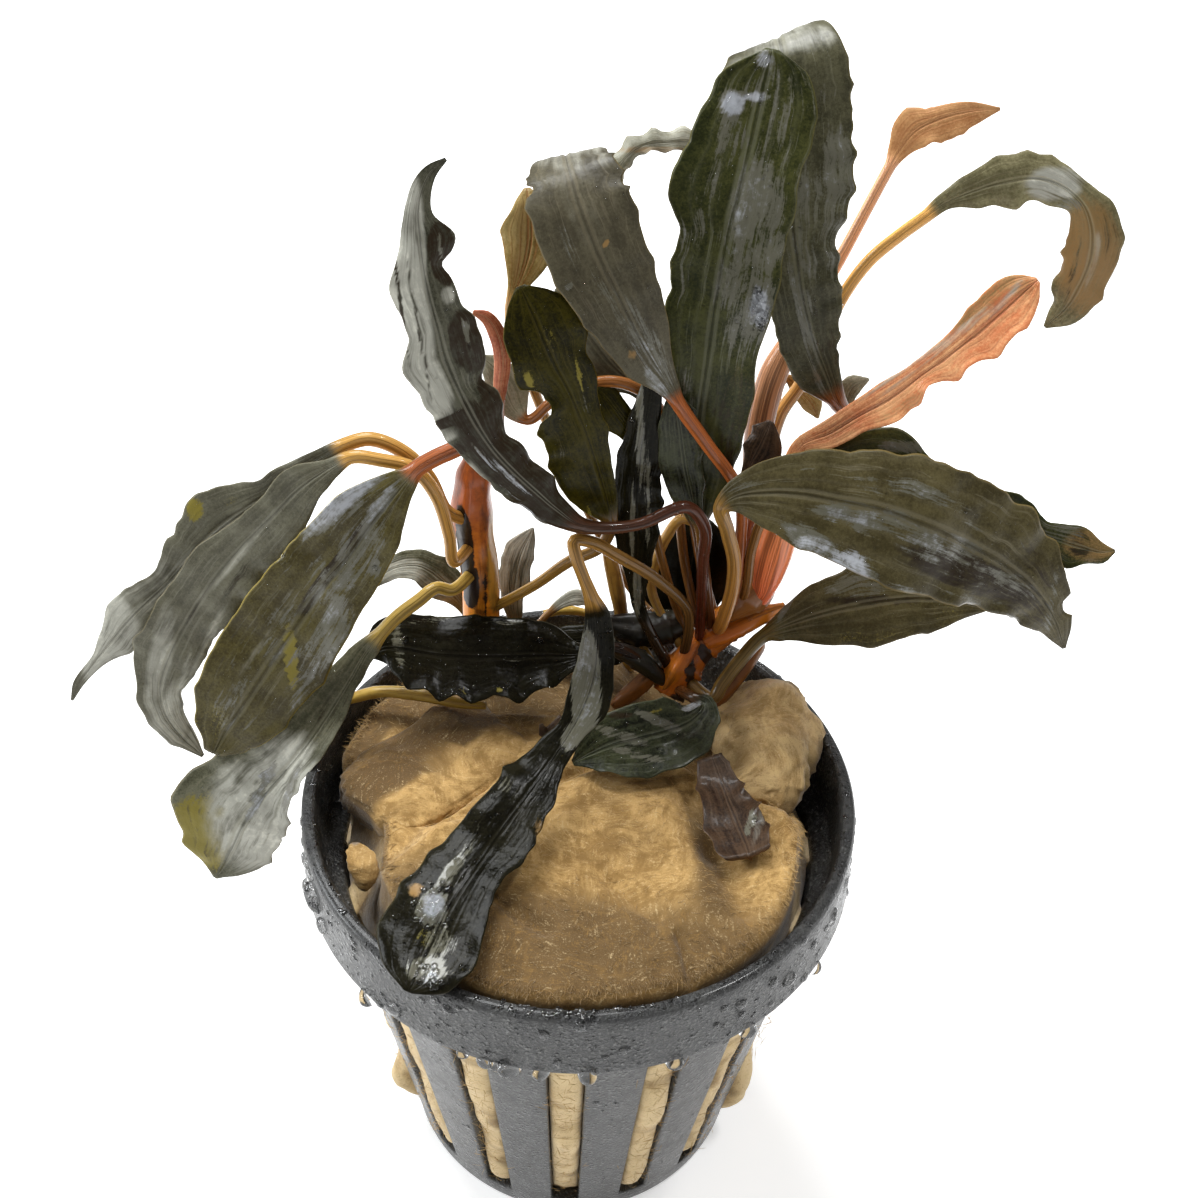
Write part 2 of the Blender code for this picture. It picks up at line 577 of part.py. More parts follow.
STEMS = {
    "left_stem": [
        stalk(480, 668, 17.4, 1.5),
        stalk(480, 640, 17.4, 1.8),
        stalk(479, 610, 17.4, 1.8),
        stalk(478, 575, 17.4, 1.75),
        stalk(473, 540, 17.2, 1.9),
        stalk(472, 505, 17.0, 2.2),
        stalk(474, 475, 16.8, 1.9),
        stalk(474, 455, 16.6, 0.9),
    ],
    "rhizome": [
        stalk(668, 694, 12.0, 1.5),
        stalk(682, 668, 13.6, 2.0),
        stalk(702, 645, 15.2, 2.0),
        stalk(725, 624, 16.4, 1.8),
        stalk(748, 606, 17.6, 1.5),
        stalk(760, 600, 19.8, 1.3),
    ],
    "ochre_stalk": [
        stalk(652, 592, 16.6, 0.5),
        stalk(656, 563, 15.8, 0.55),
        stalk(667, 536, 15.5, 0.55),
        stalk(682, 519, 15.2, 0.5),
        stalk(698, 525, 15.4, 0.4),
    ],
    "left_ochre_stalk": [
        stalk(628, 678, 20.4, 0.6),
        stalk(626, 642, 20.6, 0.7),
        stalk(621, 612, 19.9, 0.8),
        stalk(617, 590, 19.0, 0.85),
        stalk(612, 567, 18.0, 0.8),
        stalk(607, 550, 17.4, 0.5),
    ],
    "rim_root": [
        stalk(341, 701, 10.2, 0.55),
        stalk(380, 692, 10.4, 0.65),
        stalk(420, 695, 10.0, 0.65),
        stalk(460, 703, 9.2, 0.6),
        stalk(486, 706, 8.8, 0.4),
    ],
    "back_root": [
        stalk(544, 614, 23.0, 0.45),
        stalk(566, 610, 23.4, 0.6),
        stalk(588, 613, 23.6, 0.45),
    ],
}

DEAD_BITS = {
    "dead_leaf_piece": [
        blade(704, 760, -0.0, 0.4, 0.4),
        blade(716, 776, -1.7, 1.2, 1.1),
        blade(728, 800, -4.8, 2.1, 2.0, 0.4, -0.4),
        blade(738, 825, -8.0, 2.5, 2.3, 0.4, -0.4),
        blade(747, 846, -10.6, 2.0, 2.5, 0.3, -0.3),
        blade(752, 858, -12.0, 0.5, 0.5),
    ],
    "dead_leaf_curl": [
        blade(562, 716, 4.4, 0.3, 0.3),
        blade(554, 727, 3.4, 0.5, 0.5),
        blade(545, 734, 2.8, 0.6, 0.6),
        blade(541, 724, 3.2, 0.2, 0.2),
    ],
}

# Where each stalk leaves its stem: the stem, and the share of the stem's length from its foot
GROWS_FROM = {
    "tall_front_leaf": ("rhizome", 0.5),
    "tall_right_leaf": ("rhizome", 0.9),
    "upper_middle_leaf": ("rhizome", 0.64),
    "pale_back_leaf": ("rhizome", 0.56),
    "olive_brown_back_leaf": ("rhizome", 0.4),
    "long_wavy_leaf": ("rhizome", 0.38),
    "blue_grey_back_leaf": ("rhizome", 0.5),
    "mauve_grey_back_leaf": ("rhizome", 0.42),
    "small_olive_leaf": ("rhizome", 0.34),
    "black_middle_leaf": ("rhizome", 0.12),
    "long_front_leaf": ("rhizome", 0.2),
    "spoon_leaf": ("rhizome", 0.06),
    "big_right_leaf": ("rhizome", 0.55),
    "right_back_leaf": ("rhizome", 0.72),
    "lower_right_leaf": ("rhizome", 0.16),
    "pink_leaf": ("rhizome", 0.85),
    "small_tan_leaf": ("rhizome", 0.8),
    "arching_leaf": ("rhizome", 1.0),
    "pale_bit_leaf": ("rhizome", 0.95),
    "green_bit_leaf": ("rhizome", 0.96),
    "dead_maroon_leaf": ("rhizome", 0.68),
    "inner_dark_leaf": ("rhizome", 0.22),
    "rim_leaf": ("rhizome", 0.08),
    "ochre_stalk": ("rhizome", 0.27),
    "dark_olive_leaf": ("left_stem", 0.3),
    "red_young_leaf": ("left_stem", 0.9),
    "far_left_upper_leaf": ("left_stem", 0.73),
    "far_left_lower_leaf": ("left_stem", 0.63),
    "left_front_leaf": ("left_stem", 0.98),
    "lower_left_leaf": ("left_stem", 0.5),
    "left_back_leaf": ("left_stem", 0.22),
    "pale_left_leaf": ("left_stem", 0.2),
    "leaf_behind_rim": ("left_stem", 0.1),
}

# Finishes: colour, roughness, metallic
GLOSSY_GREEN = ("glossy_green", (0.045, 0.055, 0.025), 0.25, 0.0)
GREY_GREEN = ("grey_green", (0.085, 0.09, 0.065), 0.3, 0.0)
RED_TAN = ("red_tan", (0.5, 0.16, 0.08), 0.4, 0.0)
OCHRE = ("ochre", (0.45, 0.2, 0.05), 0.45, 0.0)
MAROON = ("maroon", (0.06, 0.02, 0.015), 0.35, 0.0)
WOOL = ("wool", (0.62, 0.45, 0.24), 0.95, 0.0)
BLACK = ("black_plastic", (0.012, 0.012, 0.014), 0.35, 0.0)

FINISH_OF = {
    "olive_brown_back_leaf": GREY_GREEN,
    "red_young_leaf": RED_TAN,
    "blue_grey_back_leaf": GREY_GREEN,
    "mauve_grey_back_leaf": GREY_GREEN,
    "pale_back_leaf": GREY_GREEN,
    "far_left_upper_leaf": GREY_GREEN,
    "far_left_lower_leaf": GREY_GREEN,
    "left_back_leaf": GREY_GREEN,
    "pale_left_leaf": GREY_GREEN,
    "arching_leaf": GREY_GREEN,
    "pale_bit_leaf": GREY_GREEN,
    "pink_leaf": RED_TAN,
    "small_tan_leaf": RED_TAN,
    "dead_maroon_leaf": MAROON,
    "left_stem": RED_TAN,
    "rhizome": RED_TAN,
    "ochre_stalk": OCHRE,
    "left_ochre_stalk": OCHRE,
    "rim_root": OCHRE,
    "back_root": OCHRE,
    "dead_leaf_piece": MAROON,
    "dead_leaf_curl": MAROON,
}


def clear_scene():
    for obj in list(bpy.data.objects):
        bpy.data.objects.remove(obj, do_unlink=True)


def principled(finish):
    """The material of this finish, made once."""
    name, colour, roughness, metallic = finish
    material = bpy.data.materials.get(name)
    if material is None:
        material = bpy.data.materials.new(name)
        material.use_nodes = True
        shader = material.node_tree.nodes["Principled BSDF"]
        shader.inputs["Base Color"].default_value = (*colour, 1.0)
        shader.inputs["Roughness"].default_value = roughness
        shader.inputs["Metallic"].default_value = metallic
    return material


def add_object(name, points, faces, finish, smooth):
    """A mesh object from points in millimetres."""
    mesh = bpy.data.meshes.new(name)
    mesh.from_pydata([tuple(MM * float(v) for v in p) for p in points], [], [tuple(f) for f in faces])
    mesh.validate()
    mesh.materials.append(principled(finish))
    mesh.polygons.foreach_set("use_smooth", [smooth] * len(mesh.polygons))
    obj = bpy.data.objects.new(name, mesh)
    bpy.context.scene.collection.objects.link(obj)
    return obj


def lefts_along(places, alongs):
    """The direction of each row's left edge: square to the line of sight, and carried on where a leaf folds away."""
    lefts = []
    for place, along in zip(places, alongs):
        left = np.cross(along, unit(place - EYE))
        if lefts:
            carried = lefts[-1] - along * np.dot(lefts[-1], along)
            same_side = math.copysign(1.0, np.dot(left, carried))
            left = same_side * left + (1.0 - np.linalg.norm(left)) * unit(carried)
        lefts.append(unit(left))
    return lefts


def section(row, along, left):
    """Eight points round a cross-section: left edge, three above, right edge, three below."""
    seen = unit(row.place - EYE)
    above = np.cross(along, left)
    if row.round:
        turn = [math.pi - k * math.pi / 4 for k in range(8)]
        return [row.place + row.left * (-math.cos(a) * left + math.sin(a) * above) for a in turn]
    edge_left = row.left * left + row.left_back * seen
    edge_right = -row.right * left + row.right_back * seen
    half_left = 0.5 * row.left * left + 0.35 * row.left_back * seen
    half_right = -0.5 * row.right * left + 0.35 * row.right_back * seen
    slim = min(1.0, 0.6 * (row.left + row.right))
    web = 0.5 * BLADE_THICKNESS * slim * above
    rib = 0.5 * MIDRIB_THICKNESS * slim * above
    steps = (
        edge_left,
        half_left + web,
        rib,
        half_right + web,
        edge_right,
        half_right - web,
        -rib,
        half_left - web,
    )
    return [row.place + step for step in steps]


def grown(name, rows, finish):
    """One closed body through its rows: a stem, or a leaf with its stalk."""
    places = [row.place for row in rows]
    before = [places[0]] + places[:-1]
    after = places[1:] + [places[-1]]
    alongs = [unit(b - a) for a, b in zip(before, after)]
    points = []
    for row, along, left in zip(rows, alongs, lefts_along(places, alongs)):
        points += section(row, along, left)
    faces = []
    for ring in range(len(rows) - 1):
        for k in range(8):
            a = 8 * ring + k
            b = 8 * ring + (k + 1) % 8
            faces.append((a, b, b + 8, a + 8))
    faces.append(tuple(reversed(range(8))))
    last = 8 * (len(rows) - 1)
    faces.append(tuple(range(last, last + 8)))
    return add_object(name, points, faces, finish, True)


def along_stem(stem, share):
    """The place on a stem's middle line at this share of its length, and the stem's radius there."""
    rows = STEMS[stem]
    steps = [np.linalg.norm(b.place - a.place) for a, b in zip(rows, rows[1:])]
    left_over = share * sum(steps)
    for a, b, step in zip(rows, rows[1:], steps):
        if left_over <= step:
            part = left_over / step
            return a.place + part * (b.place - a.place), a.left + part * (b.left - a.left)
        left_over -= step
    return rows[-1].place, rows[-1].left


def rooted(name, rows):
    """The rows with one more at the foot, just clear of the stem that the stalk grows from."""
    if name not in GROWS_FROM:
        return rows
    middle, radius = along_stem(*GROWS_FROM[name])
    first = rows[0]
    outward = unit(first.place - middle)
    foot = middle + outward * (radius + GAP + 0.4)
    if np.linalg.norm(first.place - middle) < radius + 1.6:
        return [first._replace(place=foot)] + rows[1:]
    return [first._replace(place=foot)] + rows


def round_point(radius, angle, z):
    """A point at this angle from -Y towards +X."""
    return (radius * math.sin(angle), -radius * math.cos(angle), z)


def bar_angles():
    """Three angles for each bar: its two edges and its middle."""
    pitch = 2 * math.pi / BAR_COUNT
    return [
        FIRST_BAR + pitch * bar + offset
        for bar in range(BAR_COUNT)
        for offset in (-BAR_HALF_ANGLE, 0.0, BAR_HALF_ANGLE)
    ]


def pot_profile():
    """Matching outside and inside points of the pot's wall, from the rim down and in to the middle of the floor."""
    collar_bottom = POT_HEIGHT - COLLAR_HEIGHT
    flared = RIM_RADIUS + COLLAR_FLARE
    body_inner = BODY_RADIUS - BODY_WALL
    base_inner = BASE_RADIUS - BODY_WALL
    foot_share = (collar_bottom - FOOT_HEIGHT) / collar_bottom
    foot_radius = BODY_RADIUS + (BASE_RADIUS - BODY_RADIUS) * foot_share
    outside = [
        (RIM_RADIUS - RIM_ROUNDING, POT_HEIGHT),
        (RIM_RADIUS, POT_HEIGHT - RIM_ROUNDING),
        (flared, collar_bottom),
        (BODY_RADIUS, collar_bottom - COLLAR_STEP),
        (foot_radius, FOOT_HEIGHT),
        (BASE_RADIUS, 0.0),
        (FLOOR_HOLE_OUTER, 0.0),
        (FLOOR_HOLE_INNER, 0.0),
    ]
    inside = [
        (RIM_RADIUS - RIM_WALL, POT_HEIGHT),
        (RIM_RADIUS - RIM_WALL, POT_HEIGHT - RIM_ROUNDING),
        (flared - COLLAR_WALL, collar_bottom + LEDGE_RISE),
        (body_inner, collar_bottom - COLLAR_STEP),
        (foot_radius - BODY_WALL, FOOT_HEIGHT),
        (base_inner, FLOOR_THICKNESS),
        (FLOOR_HOLE_OUTER, FLOOR_THICKNESS),
        (FLOOR_HOLE_INNER, FLOOR_THICKNESS),
    ]
    return outside, inside


def net_pot():
    """The pot as one shell: a solid collar, upright slots between the bars, and slots in the floor."""
    outside, inside = pot_profile()
    angles = bar_angles()
    columns = len(angles)
    rows = len(outside)
    slot_row = 3
    floor_row = 6
    points = [round_point(r, a, z) for r, z in outside for a in angles]
    points += [round_point(r, a, z) for r, z in inside for a in angles]
    half = rows * columns
    faces = []

    def is_open(row, column):
        """Whether the wall is open between this row and the next, and this column and the next."""
        between_bars = column % 3 == 2
        return between_bars and row in (slot_row, floor_row)

    for row in range(rows - 1):
        for column in range(columns):
            after = (column + 1) % columns
            a = row * columns + column
            b = row * columns + after
            c = b + columns
            d = a + columns
            if not is_open(row, column):
                faces.append((a, d, c, b))
                faces.append((half + a, half + b, half + c, half + d))
                continue
            faces.append((b, a, half + a, half + b))
            faces.append((d, c, half + c, half + d))
            faces.append((a, d, half + d, half + a))
            faces.append((c, b, half + b, half + c))
    for column in range(columns):
        after = (column + 1) % columns
        faces.append((column, after, half + after, half + column))
    last = (rows - 1) * columns
    under = len(points)
    points.append((0.0, 0.0, 0.0))
    points.append((0.0, 0.0, FLOOR_THICKNESS))
    for column in range(columns):
        after = (column + 1) % columns
        faces.append((last + column, under, last + after))
        faces.append((half + last + column, half + last + after, under + 1))
    return add_object("net_pot", points, faces, BLACK, False)


def pot_inner_radius(z):
    """The inner radius of the slotted wall at this height."""
    share = 1.0 - z / (POT_HEIGHT - COLLAR_HEIGHT)
    return BODY_RADIUS + (BASE_RADIUS - BODY_RADIUS) * share - BODY_WALL


def wool_seam(x):
    """Where, from left to right, the raised front block ends and the ledge behind it begins."""
    if x < -3.0:
        return 7.2 + 1.055 * x
    if x < 10.0:
        return 4.0
    return 4.0 - 0.9 * (x - 10.0)


def wool_top(x, y):
    """The height of the plug's top: a raised block in front, a ledge under the other two lumps."""
    waves = 0.6 * math.sin(0.21 * x + 1.0) * math.sin(0.17 * y)
    dome = 0.008 * (y + 12.0) ** 2
    front = WOOL_FRONT_TOP + waves - dome
    behind_seam = (y - wool_seam(x) + 2.2) / WOOL_STEP_SOFTNESS
    share = 1.0 / (1.0 + math.exp(min(40.0, behind_seam)))
    return WOOL_LEDGE + (front - WOOL_LEDGE) * share


def wool_neck(angle):
    """The plug's radius at the rim: full in front, drawn in at the sides and the back."""
    from_front = abs((angle - WOOL_FULL_AT + math.pi) % (2 * math.pi) - math.pi)
    share = 1.0 / (1.0 + math.exp((from_front - WOOL_FULL_SPAN) / 0.12))
    return WOOL_NECK_RADIUS + (WOOL_FULL_RADIUS - WOOL_NECK_RADIUS) * share


def wool_plug():
    """The wool that fills the pot and pushes a little into each slot."""
    pitch = 2 * math.pi / BAR_COUNT
    offsets = (-BAR_HALF_ANGLE, BAR_HALF_ANGLE, 0.5 * pitch)
    angles = [FIRST_BAR + pitch * bar + offset for bar in range(BAR_COUNT) for offset in offsets]
    columns = len(angles)
    points = []
    for level, z in enumerate(WOOL_LEVELS):
        beside_slots = 1 < level < len(WOOL_LEVELS) - 1
        for column, angle in enumerate(angles):
            radius = pot_inner_radius(z) - GAP
            if beside_slots and column % 3 == 2:
                radius += WOOL_BULGE * (1.0 + 0.4 * math.sin(3.1 * column + 1.7 * level))
            points.append(round_point(radius, angle, z))
    for share in WOOL_TOP_SHARES:
        drop = WOOL_EDGE_DROP if share == 1.0 else 0.0
        for angle in angles:
            x, y, _ = round_point(wool_neck(angle) * share, angle, 0.0)
            points.append((x, y, wool_top(x, y) - drop))
    ends = ((0.0, 0.0, WOOL_FLOOR), (0.0, 0.0, wool_top(0.0, 0.0)))
    faces = closed_rings(len(WOOL_LEVELS) + len(WOOL_TOP_SHARES), columns)
    return add_object("rock_wool_plug", points + list(ends), faces, WOOL, True)


def closed_rings(rings, columns):
    """The faces between rings of points stacked upwards, closed by a point below and a point above."""
    faces = []
    last = (rings - 1) * columns
    below = rings * columns
    for column in range(columns):
        after = (column + 1) % columns
        for ring in range(rings - 1):
            a = ring * columns + column
            b = ring * columns + after
            faces.append((a, b, b + columns, a + columns))
        faces.append((below, after, column))
        faces.append((last + column, last + after, below + 1))
    return faces


def squared(value, squareness):
    """A sine or cosine drawn out towards a square corner."""
    return math.copysign(abs(value) ** squareness, value)


def wool_lump(name, lump):
    """A torn lump of wool: a rounded block with uneven sides, resting on the plug's ledge."""
    points = []
    middle = np.array(lump.centre)
    for level in range(1, LUMP_LEVELS):
        latitude = math.pi * (level / LUMP_LEVELS - 0.5)
        flat = squared(math.cos(latitude), lump.squareness)
        height = squared(math.sin(latitude), lump.squareness) * lump.half_size[2]
        for column in range(LUMP_COLUMNS):
            longitude = 2 * math.pi * column / LUMP_COLUMNS
            swell = flat * (1.0 + 0.05 * math.sin(2.3 * column + 1.9 * level))
            x = lump.half_size[0] * squared(math.cos(longitude), lump.squareness) * swell
            y = lump.half_size[1] * squared(math.sin(longitude), lump.squareness) * swell
            turned_x = x * math.cos(lump.turn) - y * math.sin(lump.turn)
            turned_y = x * math.sin(lump.turn) + y * math.cos(lump.turn)
            points.append(middle + (turned_x, turned_y, height))
    half_height = np.array((0.0, 0.0, lump.half_size[2]))
    points += [middle - half_height, middle + half_height]
    return add_object(name, points, closed_rings(LUMP_LEVELS - 1, LUMP_COLUMNS), WOOL, True)


def main():
    clear_scene()
    net_pot()
    wool_plug()
    for name, lump in WOOL_LUMPS.items():
        wool_lump(name, lump)
    for group in (MIDDLE_LEAVES, LEFT_LEAVES, FRONT_LEAVES, RIGHT_LEAVES, STEMS, DEAD_BITS):
        for name, rows in group.items():
            grown(name, rooted(name, rows), FINISH_OF.get(name, GLOSSY_GREEN))


main()
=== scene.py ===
import math
from collections import namedtuple

import bpy
import numpy as np
from mathutils import Matrix, Vector
from mathutils.bvhtree import BVHTree


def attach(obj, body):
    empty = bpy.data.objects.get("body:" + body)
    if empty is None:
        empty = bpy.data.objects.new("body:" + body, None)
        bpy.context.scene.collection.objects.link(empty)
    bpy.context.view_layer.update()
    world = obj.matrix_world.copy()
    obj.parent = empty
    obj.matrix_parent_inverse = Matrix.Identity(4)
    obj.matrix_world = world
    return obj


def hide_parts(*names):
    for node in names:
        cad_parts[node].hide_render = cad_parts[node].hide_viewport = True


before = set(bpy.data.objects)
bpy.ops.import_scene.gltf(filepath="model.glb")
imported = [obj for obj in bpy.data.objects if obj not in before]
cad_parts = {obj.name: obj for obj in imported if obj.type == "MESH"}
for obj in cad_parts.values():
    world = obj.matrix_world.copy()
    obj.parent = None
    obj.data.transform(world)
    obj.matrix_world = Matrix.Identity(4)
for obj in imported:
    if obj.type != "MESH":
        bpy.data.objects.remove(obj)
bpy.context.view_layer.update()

# The shapes here are in millimetres and become metres where a mesh is made.
MM = 0.001
FULL_TURN = 2.0 * math.pi

# Viewpoint: where the eye is, where it looks, and how many picture steps one radian spans
EYE = np.array((0.0, -90.2, 146.1))
AIM = np.array((1.36, 0.0, 73.44))
EYE_ROLL = math.radians(2.05)
EYE_FOCAL = 1300.0
PICTURE_CENTRE = np.array((600.0, 599.0))
PICTURE_WIDTH = 1200.0

# Net pot
POT_HEIGHT = 50.0
RIM_RADIUS = 27.5
RIM_WALL = 1.3
RIM_ROUNDED_FROM = 49.6
COLLAR_HEIGHT = 7.6
COLLAR_FLARE = 0.4
COLLAR_FLARE_RUN = 6.5
COLLAR_INNER_RUN = 5.6
COLLAR_WALL = 1.9
BODY_RADIUS = 25.4
BASE_RADIUS = 19.0
BODY_WALL = 1.3
FLOOR_THICKNESS = 1.6
FOOT_HEIGHT = 3.2
BAR_COUNT = 16
BAR_PITCH = FULL_TURN / BAR_COUNT
BAR_HALF_ANGLE = math.radians(6.9)
FIRST_BAR = math.radians(9.9)
FLOOR_HOLE_OUTER = 15.0
FLOOR_HOLE_INNER = 8.0
SOFTENED_EDGE = 0.22

# Rock wool: its front is raised, and it is drawn in at the sides and the back
WOOL_LEDGE = 45.5
WOOL_FRONT_TOP = 51.2
WOOL_NECK_RADIUS = 22.2
WOOL_FULL_RADIUS = 25.7
WOOL_FULL_AT = math.radians(10)
WOOL_FULL_SPAN = math.radians(48)
WOOL_LEFT_AT = math.radians(-112)
WOOL_LEFT_SPAN = math.radians(24)
WOOL_GAP_AT = math.radians(-72)
WOOL_GAP_SPAN = math.radians(13)
WOOL_GAP_DEPTH = 2.6
# The tuft's spine: across and down the picture, and depth y
WOOL_TUFT = ((356, 846, -8.8), (362, 858, -10.2), (366, 874, -11.2), (364, 890, -12.2))
WOOL_PUFF = 0.5
WOOL_PUFF_ALL_ROUND = 1.35
WOOL_WALL_RINGS = 60
WOOL_TOP_RINGS = 84
LUMP_LEVELS = 46
LUMP_COLUMNS = 110
TUFT_LEVELS = 26
TUFT_COLUMNS = 40
TUFT_WIDTH = 1.5
FIBRE_COUNT = 9000
FIBRE_LENGTHS = (0.3, 1.1)
FIBRE_RADII = (0.014, 0.034)
# Wool colours: lit, in painted shade, soaked and in deeper painted shade, and pale; then the loose fibres'
# lit and soaked colours
WOOL_LIGHT = (0.50, 0.315, 0.118)
WOOL_SHADE = (0.26, 0.15, 0.046)
WOOL_SOAKED_AND_SHADED = (0.115, 0.068, 0.026)
WOOL_PALE = (0.66, 0.50, 0.27)
FIBRE_LIGHT = (0.52, 0.34, 0.135)
FIBRE_SOAKED_AND_SHADED = (0.19, 0.115, 0.044)
# A lump's dips: x, y, depth (a rise if negative) and width
Lump = namedtuple("Lump", "centre half_size turn squareness rise fray dips")
WOOL_LUMPS = {
    "rock_wool_left": Lump(
        (-14.6, 2.4, 47.8), (9.4, 6.6, 3.0), math.radians(46), 0.46, 0.0, 0.5,
        ((-11.0, 9.5, 0.7, 3.0), (-14.0, 0.5, 0.4, 2.4), (-18.0, 6.0, 0.6, 2.8)),
    ),
    "rock_wool_right": Lump(
        (18.2, 6.6, 49.2), (5.4, 8.6, 3.2), math.radians(-8), 0.72, 0.25, 2.4,
        ((15.6, 3.0, 1.8, 2.4), (20.5, 10.5, -1.0, 2.2), (16.0, 11.5, 1.0, 2.0), (20.4, 4.0, -0.6, 1.6)),
    ),
}
Puff = namedtuple("Puff", "degrees z half_angle half_height depth")
WOOL_PUFFS = (
    Puff(-91.35, 19.0, 0.2, 8.0, 3.4),
    Puff(-68.85, 7.0, 0.18, 3.5, 2.2),
    Puff(66.15, 9.0, 0.18, 5.5, 2.4),
    Puff(88.65, 15.0, 0.18, 8.0, 1.8),
    Puff(111.15, 30.0, 0.14, 7.0, 1.4),
    Puff(178.65, 20.0, 0.14, 8.0, 1.8),
    Puff(-113.85, 26.0, 0.14, 6.0, 1.5),
)
Crease = namedtuple("Crease", "from_x from_y to_x to_y depth width")
WOOL_CREASES = (
    Crease(-21.0, -5.2, -13.4, -7.9, -0.9, 1.6),
    Crease(-19.0, -12.6, -13.3, -7.2, 1.0, 0.7),
    Crease(-13.3, -7.2, 2.0, 2.9, 0.9, 0.6),
    Crease(-7.5, -15.4, -2.8, -18.8, 0.8, 0.8),
    Crease(11.5, -0.9, 13.0, -8.6, 1.3, 2.0),
    Crease(13.0, -8.6, 15.0, -16.0, 1.2, 1.6),
    Crease(18.4, 1.5, 20.5, -13.0, -1.3, 1.9),
    Crease(9.3, -19.0, 10.4, -24.0, 0.9, 0.6),
    Crease(2.0, -12.0, 7.0, -17.5, 0.5, 0.8),
)

# Water on the pot: how many fine drops and how many of them are larger, the angles of the drops that hang
# from the collar, and single big drops: angle, height and radius
COLLAR_DROPS = 2000
LARGE_COLLAR_DROPS = 380
BAR_DROPS = 700
LARGE_BAR_DROPS = 130
FRONT_RIM_DROPS = 50
RIM_DROPS = 60
HANGING_DROPS = (-0.36, -0.28, -0.24, -0.2, -0.1, 0.05, 0.33, 0.6, 0.95, -0.75, 1.9, 2.6, 3.4, 4.2)
BIG_DROPS = ((-1.12, 46.0, 1.5), (-1.2, 44.6, 1.1), (-1.04, 44.2, 0.9), (0.78, 45.5, 0.8), (-0.62, 44.0, 0.9))

# Water on the leaves: single drops, each across, down and radius
TINY_DROP = 0.15
LEAF_DROPS = (
    (766, 61, 0.35), (758, 68, 0.22), (733, 103, 0.6), (748, 97, 0.3), (762, 99, 0.25), (759, 296, 0.35),
    (757, 309, 0.45), (764, 316, 0.35), (737, 322, 0.25), (818, 343, 0.2), (568, 287, 0.25),
    (438, 905, 0.7), (425, 918, 0.5), (448, 890, 0.35), (420, 965, 0.5), (434, 984, 0.55), (476, 862, 0.25),
    (598, 676, 0.3), (693, 661, 0.6), (669, 611, 0.4), (650, 611, 0.45), (749, 618, 0.35), (620, 638, 0.6),
    (653, 655, 0.35), (700, 675, 0.35), (648, 612, 0.35), (632, 420, 0.3), (638, 590, 0.4),
    (634, 601, 0.35), (672, 722, 0.3), (640, 742, 0.35), (700, 712, 0.3), (404, 640, 0.5), (508, 684, 0.4),
    (540, 640, 0.4), (460, 690, 0.3), (375, 568, 0.3), (331, 652, 0.3), (283, 556, 0.25), (846, 570, 0.3),
    (966, 512, 0.2), (755, 820, 0.25),
)
# Scatters of fine drops: across, down, half-width, half-height, how many and the largest radius
DROP_SCATTERS = (
    (760, 308, 9, 22, 50, 0.34), (434, 905, 24, 26, 50, 0.4), (430, 978, 18, 12, 30, 0.4),
    (640, 640, 40, 40, 70, 0.3), (455, 690, 60, 6, 40, 0.25), (640, 700, 50, 10, 30, 0.25),
    (745, 210, 60, 150, 160, 0.13), (815, 310, 30, 90, 80, 0.12), (610, 270, 50, 110, 90, 0.1),
    (560, 400, 50, 110, 80, 0.12), (470, 400, 60, 130, 80, 0.12), (320, 600, 90, 130, 130, 0.12),
    (470, 880, 90, 120, 220, 0.16), (500, 655, 120, 40, 160, 0.16), (650, 735, 60, 40, 120, 0.16),
    (900, 550, 150, 60, 180, 0.12), (850, 610, 100, 30, 70, 0.12), (650, 600, 60, 100, 160, 0.16),
    (240, 800, 60, 60, 50, 0.12), (180, 600, 80, 110, 50, 0.1),
)

# Leaves
BLADE_THICKNESS = 0.42
MIDRIB_THICKNESS = 0.8
LEAF_STEP = 0.36
LEAF_COLUMNS = 23
LEAST_HALF_WIDTH = 0.15
# How much of a lobe's reach is added, and about how many millimetres a picture step spans on the plant
LOBE_SHARE = 0.55
MM_PER_PICTURE_STEP = 0.08
# Where a bite is looked for, in shares of the half-width, and the little more that is cut away
BITE_SHARES = np.linspace(1.0, 0.3, 29)
BITE_MARGIN = 0.025
STEM_STEP = 0.4
STEM_COLUMNS = 24
STEM_RING_PITCH = 3.3
# A stalk's foot lies this share of the radius out from the middle of its stem, and takes the place of a first
# row that lies within this many millimetres of the stem
STALK_SET_IN = 0.4
STALK_REACH = 1.6

